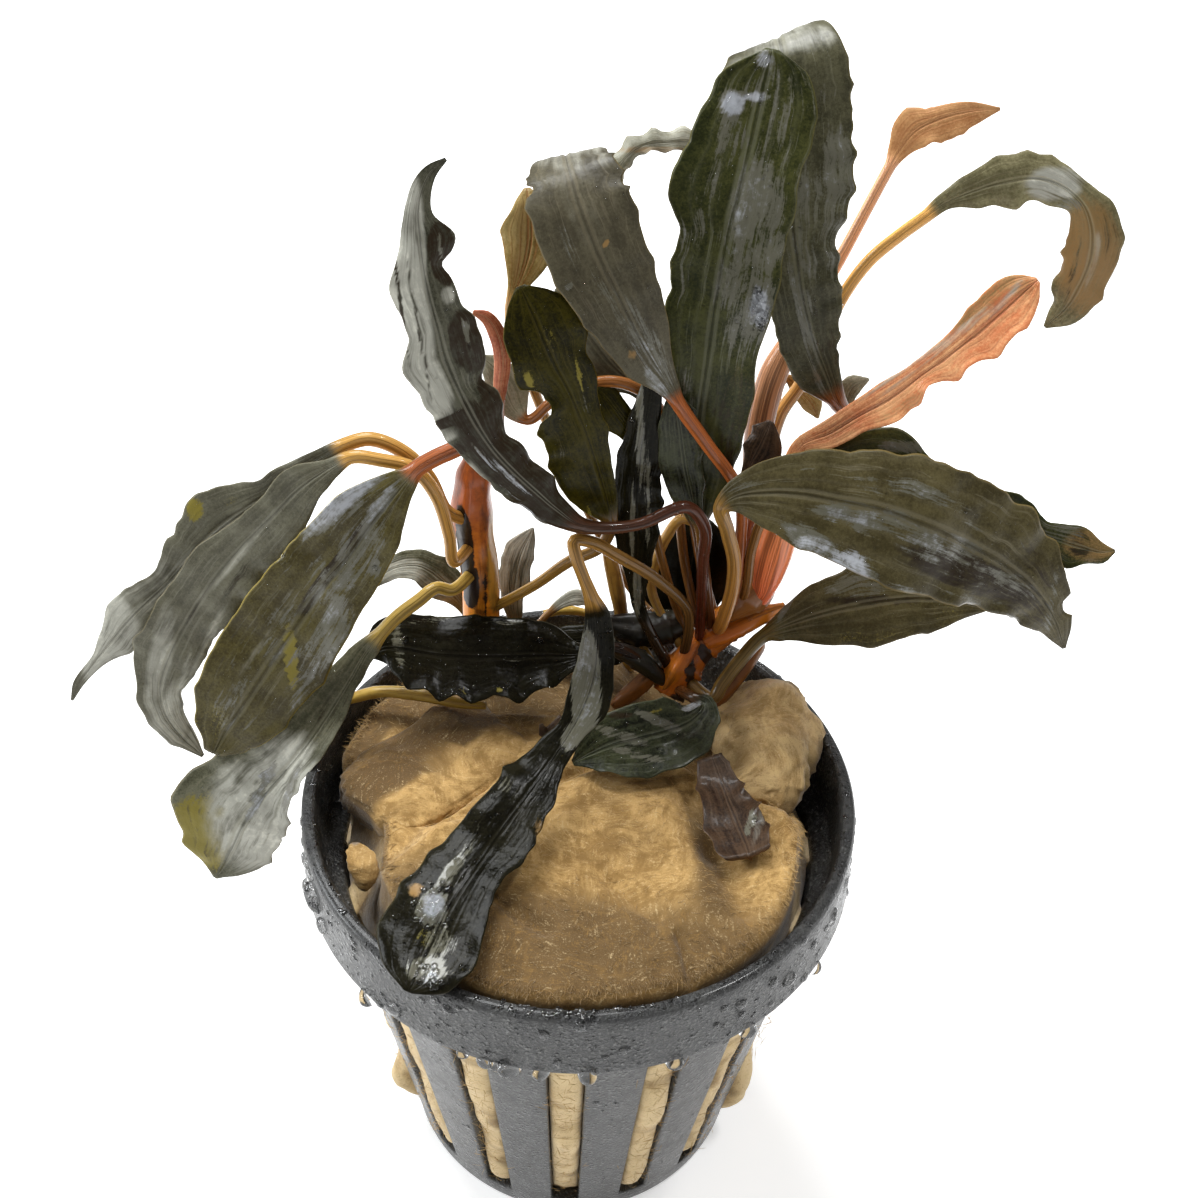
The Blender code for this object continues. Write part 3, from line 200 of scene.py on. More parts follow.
# Cross-sections, from foot to tip. Four numbers are a round stalk: where its middle is seen across and down
# the picture, its depth y, and its radius. Five or seven are a blade: across, down, y, the half-widths to its
# left and right edges, and how far those edges lie behind the middle.
MIDDLE_LEAVES = {
    "tall_front_leaf": (
        (704, 570, 13.2, 0.6), (699, 530, 12.8, 0.7), (695, 500, 12.8, 1.8, 2.6, -0.3, -0.3),
        (696, 470, 12.7, 2.5, 3.4, -0.5, -0.5), (698, 435, 12.8, 2.8, 4.2, -0.5, -0.5),
        (702, 400, 13.0, 3.2, 4.6, -0.5, -0.5), (709, 350, 13.5, 3.7, 4.3, -0.5, -0.5),
        (714, 310, 14.0, 4.3, 4.9, -0.5, -0.4), (721, 270, 14.6, 4.0, 5.2, -0.5, -0.3),
        (730, 225, 15.6, 4.6, 5.1, -0.4, -0.2), (739, 190, 16.6, 5.8, 4.9, -0.4, 0.0),
        (747, 155, 17.7, 5.2, 4.8, -0.3, 0.0), (755, 120, 18.8, 4.3, 4.9, -0.2, 0.0),
        (762, 90, 19.8, 3.7, 4.5), (768, 65, 20.6, 2.2, 3.4), (772, 49, 21.2, 0.5, 0.7),
    ),
    "tall_right_leaf": (
        (768, 570, 18.9, 0.6), (800, 510, 18.8, 0.6), (838, 455, 18.6, 0.6), (849, 422, 18.4, 0.6),
        (837, 401, 18.0, 0.9), (827, 375, 17.8, 2.8, 1.3, -0.2, 0.0), (815, 345, 17.8, 3.2, 2.4),
        (803, 300, 18.1, 3.0, 3.4), (796, 250, 19.0, 3.8, 3.7, 0.4, 0.0),
        (792, 215, 20.0, 4.6, 5.0, 0.4, 0.0), (790, 170, 21.3, 5.0, 5.4, 0.4, 0.0),
        (788, 120, 22.7, 5.3, 5.4, 0.3, 0.0), (785, 85, 23.7, 5.7, 5.5), (783, 62, 24.8, 5.4, 5.2),
        (780, 45, 26.6, 4.6, 4.7), (778, 38, 29.4, 3.8, 3.8), (778, 41, 32.2, 2.4, 2.4),
        (779, 52, 33.8, 0.6, 0.6),
    ),
    "upper_middle_leaf": (
        (736, 585, 13.4, 0.55), (741, 540, 12.6, 0.55), (738, 490, 11.2, 0.6), (706, 443, 10.6, 0.62),
        (678, 403, 10.4, 0.68), (668, 385, 10.3, 1.2, 1.0), (655, 365, 10.2, 2.3, 1.7, -0.3, -0.2),
        (639, 338, 10.0, 3.0, 2.8, -0.4, -0.3), (620, 300, 10.1, 3.6, 3.5, -0.4, -0.3),
        (604, 268, 10.6, 4.1, 4.0, -0.3, -0.2), (590, 235, 11.6, 4.3, 4.2, -0.2, -0.1),
        (578, 203, 12.9, 4.1, 4.1), (571, 178, 14.7, 3.9, 3.9), (567, 163, 17.0, 3.3, 3.5),
        (566, 157, 19.8, 2.6, 2.7), (567, 162, 22.2, 0.8, 0.8),
    ),
    "pale_back_leaf": (
        (700, 560, 19.8, 0.5), (680, 420, 19.4, 0.5), (640, 300, 19.6, 0.5), (614, 225, 21.6, 0.5),
        (613, 190, 24.0, 0.8, 0.6), (622, 163, 25.6, 1.2, 0.8, 0.6, 0.4),
        (642, 146, 26.6, 1.1, 0.7, 0.5, -0.3), (670, 142, 27.2, 1.1, 0.8, 0.5, -0.3),
        (694, 142, 27.6, 1.0, 0.7, 0.5, -0.3), (712, 144, 27.8, 0.2, 0.2),
    ),
    "olive_brown_back_leaf": (
        (645, 605, 21.0, 0.5), (580, 495, 20.2, 0.5), (530, 380, 17.8, 0.5), (512, 330, 16.6, 0.5),
        (511, 302, 16.0, 0.5), (518, 285, 16.1, 1.0, 0.9), (526, 262, 16.5, 2.0, 1.7, 0.3, -0.3),
        (530, 240, 17.0, 2.4, 2.1, 0.4, -0.4), (530, 220, 17.6, 2.2, 2.0, 0.3, -0.3),
        (528, 202, 18.4, 1.3, 1.5), (527, 188, 19.2, 0.3, 0.3),
    ),
    "long_wavy_leaf": (
        (702, 590, 12.6, 0.55), (703, 560, 11.2, 0.6), (704, 526, 9.9, 0.6), (686, 507, 9.0, 0.6),
        (640, 524, 7.6, 0.55), (602, 528, 6.6, 0.6), (580, 525, 6.0, 0.8),
        (555, 508, 5.5, 1.6, 1.3, 0.2, 0.3), (525, 482, 5.0, 2.0, 1.9, 0.4, 0.8),
        (498, 455, 4.6, 2.3, 2.1, 0.5, 1.0), (477, 425, 4.5, 2.8, 2.2, 0.5, 1.2),
        (460, 392, 4.6, 3.0, 2.6, 0.5, 1.4), (446, 360, 4.8, 3.2, 2.4, 0.5, 1.4),
        (438, 330, 5.0, 2.5, 2.9, 0.5, 1.4), (430, 300, 5.3, 2.7, 1.6, 0.4, 1.0),
        (424, 270, 5.8, 2.4, 1.5, 0.4, 0.9), (420, 240, 6.4, 1.5, 2.0, 0.3, 0.9),
        (418, 212, 7.0, 1.1, 0.8, 0.2, 0.4), (422, 190, 7.8, 0.9, 0.7), (431, 172, 8.4, 0.6, 0.5),
        (446, 159, 8.8, 0.15, 0.15),
    ),
    "dark_olive_leaf": (
        (510, 616, 16.8, 0.55), (535, 585, 15.2, 0.55), (570, 561, 12.6, 0.6), (600, 547, 11.2, 0.6),
        (611, 525, 10.2, 0.6), (607, 500, 9.6, 2.8, 1.0, -0.2, -0.1), (597, 465, 9.2, 4.0, 1.4, -0.3, -0.2),
        (585, 430, 9.0, 3.9, 1.8, -0.4, -0.3), (570, 395, 9.1, 3.4, 2.5, -0.4, -0.3),
        (557, 370, 9.3, 3.4, 2.9, -0.3, -0.3), (545, 345, 9.6, 3.2, 3.6, -0.3, -0.3),
        (535, 320, 9.9, 2.6, 3.4, -0.2, -0.2), (526, 300, 10.3, 1.7, 2.0), (520, 286, 10.6, 0.4, 0.4),
    ),
    "red_young_leaf": (
        (497, 450, 14.0, 0.5), (499, 425, 12.6, 0.5), (499, 405, 12.0, 0.5),
        (501, 385, 11.8, 0.7, 0.6, 0.3, 0.3), (503, 360, 11.6, 0.8, 0.7, 0.3, 0.3),
        (498, 335, 11.4, 0.8, 0.7, 0.3, 0.3), (487, 318, 11.2, 0.6, 0.6, 0.2, 0.2),
        (473, 312, 11.0, 0.2, 0.2),
    ),
    "blue_grey_back_leaf": (
        (700, 560, 17.8, 0.5), (688, 490, 16.5, 0.5), (668, 425, 15.0, 0.5), (645, 393, 14.1, 0.55),
        (618, 382, 14.2, 0.55), (590, 384, 14.4, 0.55), (552, 402, 14.8, 0.5), (527, 420, 15.1, 0.5),
        (514, 408, 15.3, 1.2, 1.6), (505, 388, 15.5, 1.6, 2.0), (494, 368, 15.8, 1.3, 1.3),
        (481, 356, 16.2, 0.2, 0.2),
    ),
    "mauve_grey_back_leaf": (
        (686, 570, 18.2, 0.5), (674, 480, 17.0, 0.5), (654, 415, 16.4, 0.5), (638, 388, 16.0, 0.9, 0.9),
        (617, 370, 16.4, 2.4, 2.0), (598, 348, 16.9, 3.0, 2.4), (582, 325, 17.4, 2.6, 2.2),
        (568, 303, 18.0, 1.5, 1.4), (556, 288, 18.5, 0.2, 0.2),
    ),
    "small_olive_leaf": (
        (678, 612, 15.6, 0.45), (662, 560, 14.0, 0.45), (646, 490, 13.6, 0.45), (637, 452, 13.5, 0.45),
        (630, 432, 13.3, 1.1, 0.9), (619, 415, 13.3, 1.8, 1.3), (607, 399, 13.5, 1.3, 1.2),
        (597, 388, 13.7, 0.2, 0.2),
    ),
    "black_middle_leaf": (
        (650, 632, 12.9, 0.6), (640, 608, 12.5, 0.7, 0.6), (637, 575, 12.0, 1.2, 1.2, 0.5, 0.4),
        (636, 540, 11.6, 2.1, 2.1, 0.7, 0.5), (637, 500, 11.4, 2.4, 2.3, 0.8, 0.6),
        (640, 460, 11.5, 2.1, 2.0, 0.8, 0.6), (646, 420, 11.7, 1.6, 1.4, 0.6, 0.4),
        (652, 385, 11.9, 0.9, 0.9), (657, 362, 12.0, 0.2, 0.2),
    ),
}
LEFT_LEAVES = {
    "far_left_upper_leaf": (
        (451, 532, 14.4, 0.65), (446, 510, 13.9, 0.65), (428, 476, 13.6, 0.7), (402, 451, 13.4, 0.7),
        (370, 439, 13.2, 0.7), (347, 444, 13.0, 0.7), (325, 455, 12.9, 0.7, 0.8),
        (300, 470, 12.8, 1.4, 1.1), (265, 497, 12.5, 1.9, 1.8), (225, 525, 12.2, 2.0, 3.6),
        (195, 552, 11.8, 2.0, 2.9), (165, 585, 11.4, 2.2, 1.8), (135, 613, 10.9, 2.2, 2.4),
        (112, 640, 10.4, 2.0, 1.4), (95, 662, 9.9, 0.8, 0.6), (80, 682, 9.4, 0.5, 0.6),
        (72, 700, 9.0, 0.15, 0.15),
    ),
    "far_left_lower_leaf": (
        (454, 562, 13.0, 0.6), (449, 535, 12.2, 0.62), (434, 492, 11.6, 0.65), (412, 468, 11.3, 0.65),
        (380, 460, 11.1, 0.65), (352, 457, 11.0, 0.65), (333, 466, 10.8, 1.0, 0.8),
        (300, 488, 10.5, 2.2, 2.1, -0.2, -0.2), (270, 518, 10.1, 3.2, 2.0, -0.3, -0.2),
        (240, 548, 9.7, 3.4, 2.4, -0.3, -0.2), (210, 585, 9.2, 3.7, 3.3, -0.3, -0.2),
        (188, 620, 8.8, 3.2, 3.2, -0.3, -0.2), (170, 655, 8.3, 3.1, 3.5, -0.3, -0.2),
        (160, 690, 7.8, 2.2, 2.2, -0.3, -0.2), (165, 715, 7.4, 2.0, 1.8), (181, 737, 7.0, 1.6, 1.0),
        (203, 756, 6.6, 0.2, 0.2),
    ),
    "left_front_leaf": (
        (470, 441, 10.4, 0.8), (455, 449, 9.9, 0.8), (435, 458, 9.4, 0.8), (418, 468, 8.9, 0.8),
        (404, 484, 8.5, 1.2, 1.7), (388, 503, 8.0, 2.2, 3.0, -0.2, -0.2),
        (370, 525, 7.5, 3.2, 4.1, -0.3, -0.3), (345, 560, 6.9, 3.9, 4.7, -0.4, -0.4),
        (320, 590, 6.4, 4.4, 5.0, -0.4, -0.4), (300, 620, 5.9, 4.8, 5.3, -0.4, -0.4),
        (278, 652, 5.4, 5.2, 5.5, -0.3, -0.3), (258, 682, 4.5, 4.8, 5.4, -0.2, -0.2),
        (240, 710, 3.6, 4.4, 4.7), (223, 736, 2.8, 3.2, 2.8), (214, 753, 2.4, 0.8, 0.9),
    ),
    "lower_left_leaf": (
        (452, 590, 13.2, 0.65), (436, 588, 12.2, 0.65), (418, 601, 11.0, 0.7), (398, 616, 9.9, 0.7),
        (384, 630, 8.9, 0.7), (366, 652, 7.8, 1.1, 1.4), (350, 680, 6.4, 1.0, 2.4),
        (330, 712, 4.8, 1.6, 3.2, -0.6, 0.0), (307, 745, 2.6, 1.9, 4.2, -1.4, 0.0),
        (285, 772, 1.8, 1.8, 5.0, -1.8, 0.0), (262, 798, 1.6, 3.4, 6.8), (245, 822, 1.1, 4.4, 7.8),
        (232, 848, 0.9, 4.0, 5.4), (222, 868, 0.3, 2.0, 3.0), (215, 878, 0.0, 0.3, 0.3),
    ),
    "left_back_leaf": (
        (474, 622, 20.6, 0.6), (463, 604, 20.8, 0.9, 0.8), (443, 581, 21.0, 2.1, 2.1),
        (420, 566, 21.2, 1.7, 1.8), (397, 567, 21.4, 1.3, 1.4), (378, 578, 21.6, 0.9, 0.9),
        (362, 592, 21.8, 0.2, 0.2),
    ),
    "pale_left_leaf": (
        (514, 628, 20.4, 0.6), (513, 602, 20.8, 1.2, 1.2), (515, 579, 21.1, 1.8, 1.6),
        (520, 556, 21.4, 1.9, 1.4), (527, 540, 21.7, 1.2, 1.0), (533, 528, 21.9, 0.15, 0.15),
    ),
    "leaf_behind_rim": (
        (505, 648, 19.4, 0.4), (530, 632, 20.8, 0.4), (548, 614, 21.8, 0.4), (562, 603, 22.4, 0.7, 0.6),
        (577, 597, 22.8, 0.9, 1.0), (592, 603, 23.0, 0.3, 0.3),
    ),
    "rim_leaf": (
        (640, 660, 11.9, 0.6), (612, 648, 12.2, 0.65), (592, 651, 12.2, 0.7),
        (575, 655, 12.0, 1.6, 1.6, -0.8, 0.6), (548, 655, 11.6, 3.4, 3.4, -1.6, 1.2),
        (510, 656, 11.1, 4.3, 4.1, -2.0, 1.4), (470, 656, 10.8, 4.3, 4.3, -2.0, 1.4),
        (430, 653, 10.7, 4.0, 3.8, -1.8, 1.2), (402, 648, 10.8, 3.0, 3.5, -1.2, 0.8),
        (384, 648, 11.0, 2.0, 2.7, -0.6, 0.4), (369, 656, 11.2, 0.3, 0.3),
    ),
    "inner_dark_leaf": (
        (664, 642, 17.8, 0.55), (640, 640, 17.9, 1.8, 1.5), (602, 640, 18.1, 2.6, 1.9, -0.8, 0.4),
        (566, 642, 18.3, 2.3, 1.8, -0.8, 0.4), (545, 645, 18.4, 0.2, 0.2),
    ),
}
FRONT_LEAVES = {
    "long_front_leaf": (
        (688, 612, 12.3, 0.55), (660, 582, 10.4, 0.58), (620, 557, 8.2, 0.6), (588, 541, 6.6, 0.6),
        (574, 541, 5.8, 0.6), (576, 556, 5.4, 0.6), (583, 576, 5.2, 0.6), (590, 594, 5.0, 0.7),
        (596, 617, 4.8, 1.4, 1.1), (597, 650, 4.2, 1.7, 1.7, -0.3, -0.3),
        (593, 680, 3.2, 2.1, 1.9, -0.3, -0.3), (584, 705, 1.6, 2.4, 2.0, -0.3, -0.3),
        (571, 730, -0.6, 1.6, 1.5, -0.2, -0.2), (556, 754, -3.0, 1.4, 2.0, -0.3, 0.2),
        (531, 790, -6.8, 2.3, 3.1, -0.9, 0.8), (505, 825, -10.4, 3.2, 3.2, -1.2, 1.0),
        (477, 865, -14.0, 2.7, 3.7, -1.0, 1.1), (450, 905, -18.0, 3.8, 4.4, -1.6, 1.6),
        (430, 945, -21.6, 4.1, 4.9, -1.8, 1.6), (416, 974, -24.2, 3.2, 3.2, -1.2, 1.2),
        (408, 992, -25.6, 0.4, 0.4),
    ),
    "spoon_leaf": (
        (692, 697, 8.8, 0.6), (704, 705, 7.4, 1.2, 1.0), (690, 721, 5.2, 3.2, 1.8, -0.8, 0.2),
        (668, 730, 3.6, 3.9, 3.2, -1.0, 0.6), (642, 737, 2.6, 3.9, 3.6, -1.0, 0.8),
        (614, 744, 2.0, 3.2, 3.0, -0.8, 0.6), (590, 754, 1.6, 1.7, 1.8, -0.4, 0.4),
        (573, 763, 1.4, 0.3, 0.3),
    ),
}
RIGHT_LEAVES = {
    "big_right_leaf": (
        (722, 622, 11.6, 0.7), (732, 590, 10.6, 0.7), (734, 560, 9.7, 0.7), (727, 530, 8.9, 0.7),
        (722, 507, 8.3, 0.8), (735, 497, 7.9, 1.5, 1.7), (765, 492, 7.4, 2.8, 3.3, -0.2, -0.2),
        (800, 493, 6.8, 3.7, 4.7, -0.2, -0.3), (840, 500, 6.3, 4.4, 5.4, 0.0, -0.3),
        (880, 508, 5.9, 5.0, 6.2, 0.2, -0.3), (920, 522, 5.7, 5.6, 6.5, 0.4, -0.2),
        (960, 540, 5.8, 5.6, 6.0, 0.5, 0.0), (1000, 562, 6.1, 5.2, 5.0, 0.6, 0.2),
        (1035, 590, 6.7, 3.4, 3.6, 0.5, 0.3), (1055, 620, 7.3, 1.8, 2.2, 0.3, 0.2),
        (1064, 648, 7.7, 0.2, 0.2),
    ),
    "right_back_leaf": (
        (747, 585, 13.6, 0.5), (753, 545, 12.2, 0.5), (768, 510, 11.6, 0.55), (800, 485, 11.6, 0.6),
        (840, 470, 11.4, 2.6, 2.6), (885, 469, 11.1, 3.9, 3.2), (925, 484, 11.0, 2.0, 3.2),
        (965, 504, 11.0, 1.5, 3.0), (1005, 519, 11.1, 2.6, 2.6), (1045, 535, 11.2, 1.3, 2.2),
        (1078, 546, 11.3, 1.8, 1.9), (1102, 552, 11.4, 1.0, 1.1), (1115, 551, 11.4, 0.15, 0.15),
    ),
    "lower_right_leaf": (
        (713, 698, 9.8, 0.7), (722, 684, 10.8, 0.75), (741, 659, 12.8, 0.75), (762, 637, 14.4, 0.75),
        (790, 624, 14.8, 1.9, 1.9), (828, 612, 14.8, 3.4, 3.8), (870, 603, 14.8, 4.0, 4.3),
        (910, 598, 14.8, 3.5, 4.0), (950, 600, 14.8, 2.2, 2.7), (986, 609, 14.8, 0.3, 0.3),
    ),
    "pink_leaf": (
        (762, 592, 15.6, 1.2), (768, 572, 15.0, 1.7), (775, 548, 14.7, 1.9), (783, 520, 14.4, 1.7),
        (788, 492, 14.2, 1.2), (792, 462, 13.9, 0.8), (803, 444, 13.6, 0.8, 1.0),
        (828, 434, 13.2, 1.2, 1.4, 0.0, -0.4), (858, 416, 12.8, 1.3, 1.6, 0.0, -0.5),
        (890, 398, 12.5, 1.6, 1.9, 0.0, -0.5), (920, 376, 12.4, 1.4, 1.5, 0.0, -0.5),
        (950, 354, 12.4, 1.5, 1.8, 0.0, -0.5), (985, 326, 12.6, 2.1, 2.4, 0.0, -0.5),
        (1011, 303, 12.9, 2.3, 2.3, 0.0, -0.4), (1028, 288, 13.2, 1.5, 1.5), (1038, 280, 13.5, 0.3, 0.3),
    ),
    "small_tan_leaf": (
        (742, 575, 19.4, 0.8), (752, 500, 19.2, 1.1), (760, 425, 19.6, 1.4), (772, 378, 20.2, 1.4),
        (793, 335, 21.4, 0.9), (838, 262, 24.6, 0.6), (870, 203, 26.6, 0.55), (889, 168, 27.4, 0.55),
        (899, 151, 27.8, 1.1, 0.9), (914, 132, 28.1, 2.1, 1.6, 0.3, -0.3),
        (940, 118, 28.5, 1.1, 2.0, 0.2, -0.4), (968, 111, 28.9, 0.8, 1.5, 0.0, -0.3),
        (1000, 109, 29.3, 0.15, 0.15),
    ),
    "arching_leaf": (
        (760, 560, 21.2, 0.6), (766, 480, 21.8, 0.65), (780, 415, 22.0, 0.7), (800, 385, 22.0, 0.65),
        (845, 293, 22.0, 0.6), (870, 260, 22.0, 0.6), (900, 235, 22.0, 0.6), (925, 217, 22.0, 0.6),
        (942, 205, 22.0, 0.9, 0.6), (966, 194, 21.9, 1.4, 1.2), (1000, 183, 21.5, 2.0, 2.1),
        (1035, 178, 20.9, 1.9, 2.1), (1062, 186, 20.2, 1.5, 1.9), (1082, 203, 19.6, 1.4, 1.3, 0.5, 0.5),
        (1091, 226, 19.2, 2.4, 1.9, 0.5, 0.5), (1091, 255, 19.2, 2.4, 2.3, 0.5, 0.5),
        (1081, 283, 19.4, 2.2, 2.1, 0.4, 0.4), (1066, 308, 19.8, 1.7, 1.5), (1045, 327, 20.2, 0.2, 0.2),
    ),
    "pale_bit_leaf": (
        (775, 572, 20.3, 0.4), (806, 500, 20.8, 0.4), (836, 425, 21.0, 0.4), (846, 403, 21.0, 0.8, 0.6),
        (853, 388, 21.2, 1.3, 0.8), (869, 379, 21.5, 0.15, 0.15),
    ),
    "green_bit_leaf": (
        (757, 580, 22.4, 0.4), (772, 470, 23.8, 0.4), (787, 378, 24.0, 0.4), (799, 390, 23.8, 0.9, 0.8),
        (811, 403, 23.8, 1.1, 1.0), (818, 418, 23.8, 0.15, 0.15),
    ),
    "dead_maroon_leaf": (
        (734, 575, 16.4, 0.45), (740, 530, 15.2, 0.45), (744, 486, 14.1, 0.5), (750, 465, 14.4, 0.7, 1.4),
        (759, 448, 14.9, 1.4, 2.2, 0.4, 0.5), (766, 433, 15.3, 1.5, 1.5, 0.4, 0.5),
        (771, 421, 15.6, 0.3, 0.3),
    ),
}

# Crown: stems, then stubs and leaves that fill it out and stand for no solid, then dead bits
STEMS = {
    "left_stem": (
        (482, 668, 17.4, 1.6), (482, 640, 17.4, 2.0), (481, 610, 17.4, 2.05), (480, 575, 17.4, 2.1),
        (476, 540, 17.2, 2.1), (472, 505, 17.0, 2.2), (474, 475, 16.8, 1.9), (474, 455, 16.6, 0.9),
    ),
    "rhizome": (
        (668, 694, 12.0, 1.5), (682, 668, 13.6, 2.0), (702, 645, 15.2, 2.0), (725, 624, 16.4, 1.8),
        (748, 606, 17.6, 1.5), (760, 600, 19.8, 1.3),
    ),
    "ochre_stalk": (
        (652, 592, 16.6, 0.5), (656, 563, 15.8, 0.55), (667, 536, 15.5, 0.55), (682, 519, 15.2, 0.5),
        (698, 525, 15.4, 0.4),
    ),
    "left_ochre_stalk": (
        (628, 678, 20.4, 0.6), (626, 642, 20.6, 0.7), (621, 612, 19.9, 0.8), (617, 590, 19.0, 0.85),
        (612, 567, 18.0, 0.8), (607, 550, 17.4, 0.5),
    ),
    "rim_root": (
        (341, 701, 10.2, 0.55), (380, 692, 10.4, 0.65), (420, 695, 10.0, 0.65), (460, 703, 9.2, 0.6),
        (486, 706, 8.8, 0.4),
    ),
    "back_root": ((544, 614, 23.0, 0.45), (566, 610, 23.4, 0.6), (588, 613, 23.6, 0.45)),
}
CROWN_STUBS = {
    "orange_arm": (
        (704, 642, 14.4, 0.9), (722, 632, 15.0, 1.4), (745, 621, 15.8, 1.3), (768, 612, 16.8, 0.9),
        (784, 606, 17.6, 0.4),
    ),
    "brown_lump": (
        (726, 618, 14.6, 0.8), (738, 606, 15.0, 1.7), (752, 594, 15.6, 2.0), (764, 583, 16.4, 1.5),
        (771, 575, 17.0, 0.6),
    ),
    "red_foot": (
        (696, 640, 14.4, 0.7), (685, 655, 13.4, 1.0), (674, 673, 12.4, 1.1), (664, 689, 11.8, 0.7),
    ),
    "right_stub": (
        (704, 716, 10.8, 0.8), (720, 697, 12.2, 1.0), (740, 671, 14.4, 0.9), (759, 646, 16.4, 0.7),
        (763, 641, 16.8, 0.3),
    ),
    "left_stub": (
        (612, 706, 10.8, 0.4), (626, 696, 11.4, 0.9), (642, 683, 12.2, 1.0), (658, 668, 13.0, 0.6),
    ),
    "dark_stub": (
        (608, 646, 12.6, 0.5), (622, 652, 12.4, 1.1), (638, 660, 12.2, 1.2), (654, 672, 12.0, 0.9),
        (664, 682, 11.8, 0.5),
    ),
    "dark_lump": (
        (606, 622, 15.5, 0.8), (625, 628, 15.6, 1.8), (648, 630, 15.8, 2.0), (672, 624, 16.2, 1.6),
        (694, 616, 16.6, 0.8),
    ),
    "olive_stub": (
        (662, 692, 12.2, 0.3), (655, 678, 12.8, 0.45), (650, 660, 13.6, 0.45), (640, 640, 14.6, 0.35),
        (636, 622, 15.6, 0.25),
    ),
}
CROWN_LEAVES = {
    "dark_crown_leaf": (
        (706, 622, 18.8, 0.5), (698, 606, 19.8, 3.6, 3.4), (693, 586, 20.4, 5.6, 5.0),
        (694, 562, 20.8, 5.0, 5.2), (699, 542, 21.2, 3.8, 4.4), (706, 528, 21.4, 2.2, 2.6),
        (710, 520, 21.5, 0.3, 0.3),
    ),
    "grey_crown_leaf": (
        (702, 548, 12.3, 0.5), (700, 530, 12.0, 0.5), (695, 512, 11.8, 0.8, 0.8),
        (690, 490, 11.8, 1.9, 1.3), (684, 460, 11.7, 2.3, 1.8), (680, 430, 11.7, 2.0, 1.8),
        (676, 405, 11.9, 1.2, 1.2), (674, 390, 12.0, 0.2, 0.2),
    ),
}
DEAD_BITS = {
    "dead_leaf_piece": (
        (712, 756, 0.2, 1.0, 1.6), (719, 776, -1.7, 1.5, 2.2), (728, 800, -4.8, 2.2, 2.6, 0.4, -0.4),
        (738, 825, -8.0, 2.6, 2.8, 0.4, -0.4), (747, 846, -10.6, 2.4, 2.8, 0.3, -0.3),
        (750, 856, -11.8, 2.0, 2.1),
    ),
    "dead_leaf_curl": (
        (562, 716, 4.4, 0.3, 0.3), (554, 727, 3.4, 0.5, 0.5), (545, 734, 2.8, 0.6, 0.6),
        (541, 724, 3.2, 0.2, 0.2),
    ),
}

# Where each stalk leaves its stem: the share of the stem's length from its foot
GROWS_FROM = {
    "rhizome": {
        "tall_front_leaf": 0.5, "tall_right_leaf": 0.9, "upper_middle_leaf": 0.64, "pale_back_leaf": 0.56,
        "olive_brown_back_leaf": 0.4, "long_wavy_leaf": 0.38, "blue_grey_back_leaf": 0.5,
        "mauve_grey_back_leaf": 0.42, "small_olive_leaf": 0.34, "black_middle_leaf": 0.12,
        "long_front_leaf": 0.2, "spoon_leaf": 0.06, "big_right_leaf": 0.55, "right_back_leaf": 0.72,
        "lower_right_leaf": 0.16, "pink_leaf": 0.85, "small_tan_leaf": 0.8, "arching_leaf": 1.0,
        "pale_bit_leaf": 0.95, "green_bit_leaf": 0.96, "dead_maroon_leaf": 0.68, "inner_dark_leaf": 0.22,
        "rim_leaf": 0.08, "ochre_stalk": 0.27,
    },
    "left_stem": {
        "dark_olive_leaf": 0.3, "red_young_leaf": 0.9, "far_left_upper_leaf": 0.73,
        "far_left_lower_leaf": 0.63, "left_front_leaf": 0.98, "lower_left_leaf": 0.5,
        "left_back_leaf": 0.22, "pale_left_leaf": 0.2, "leaf_behind_rim": 0.1,
    },
}

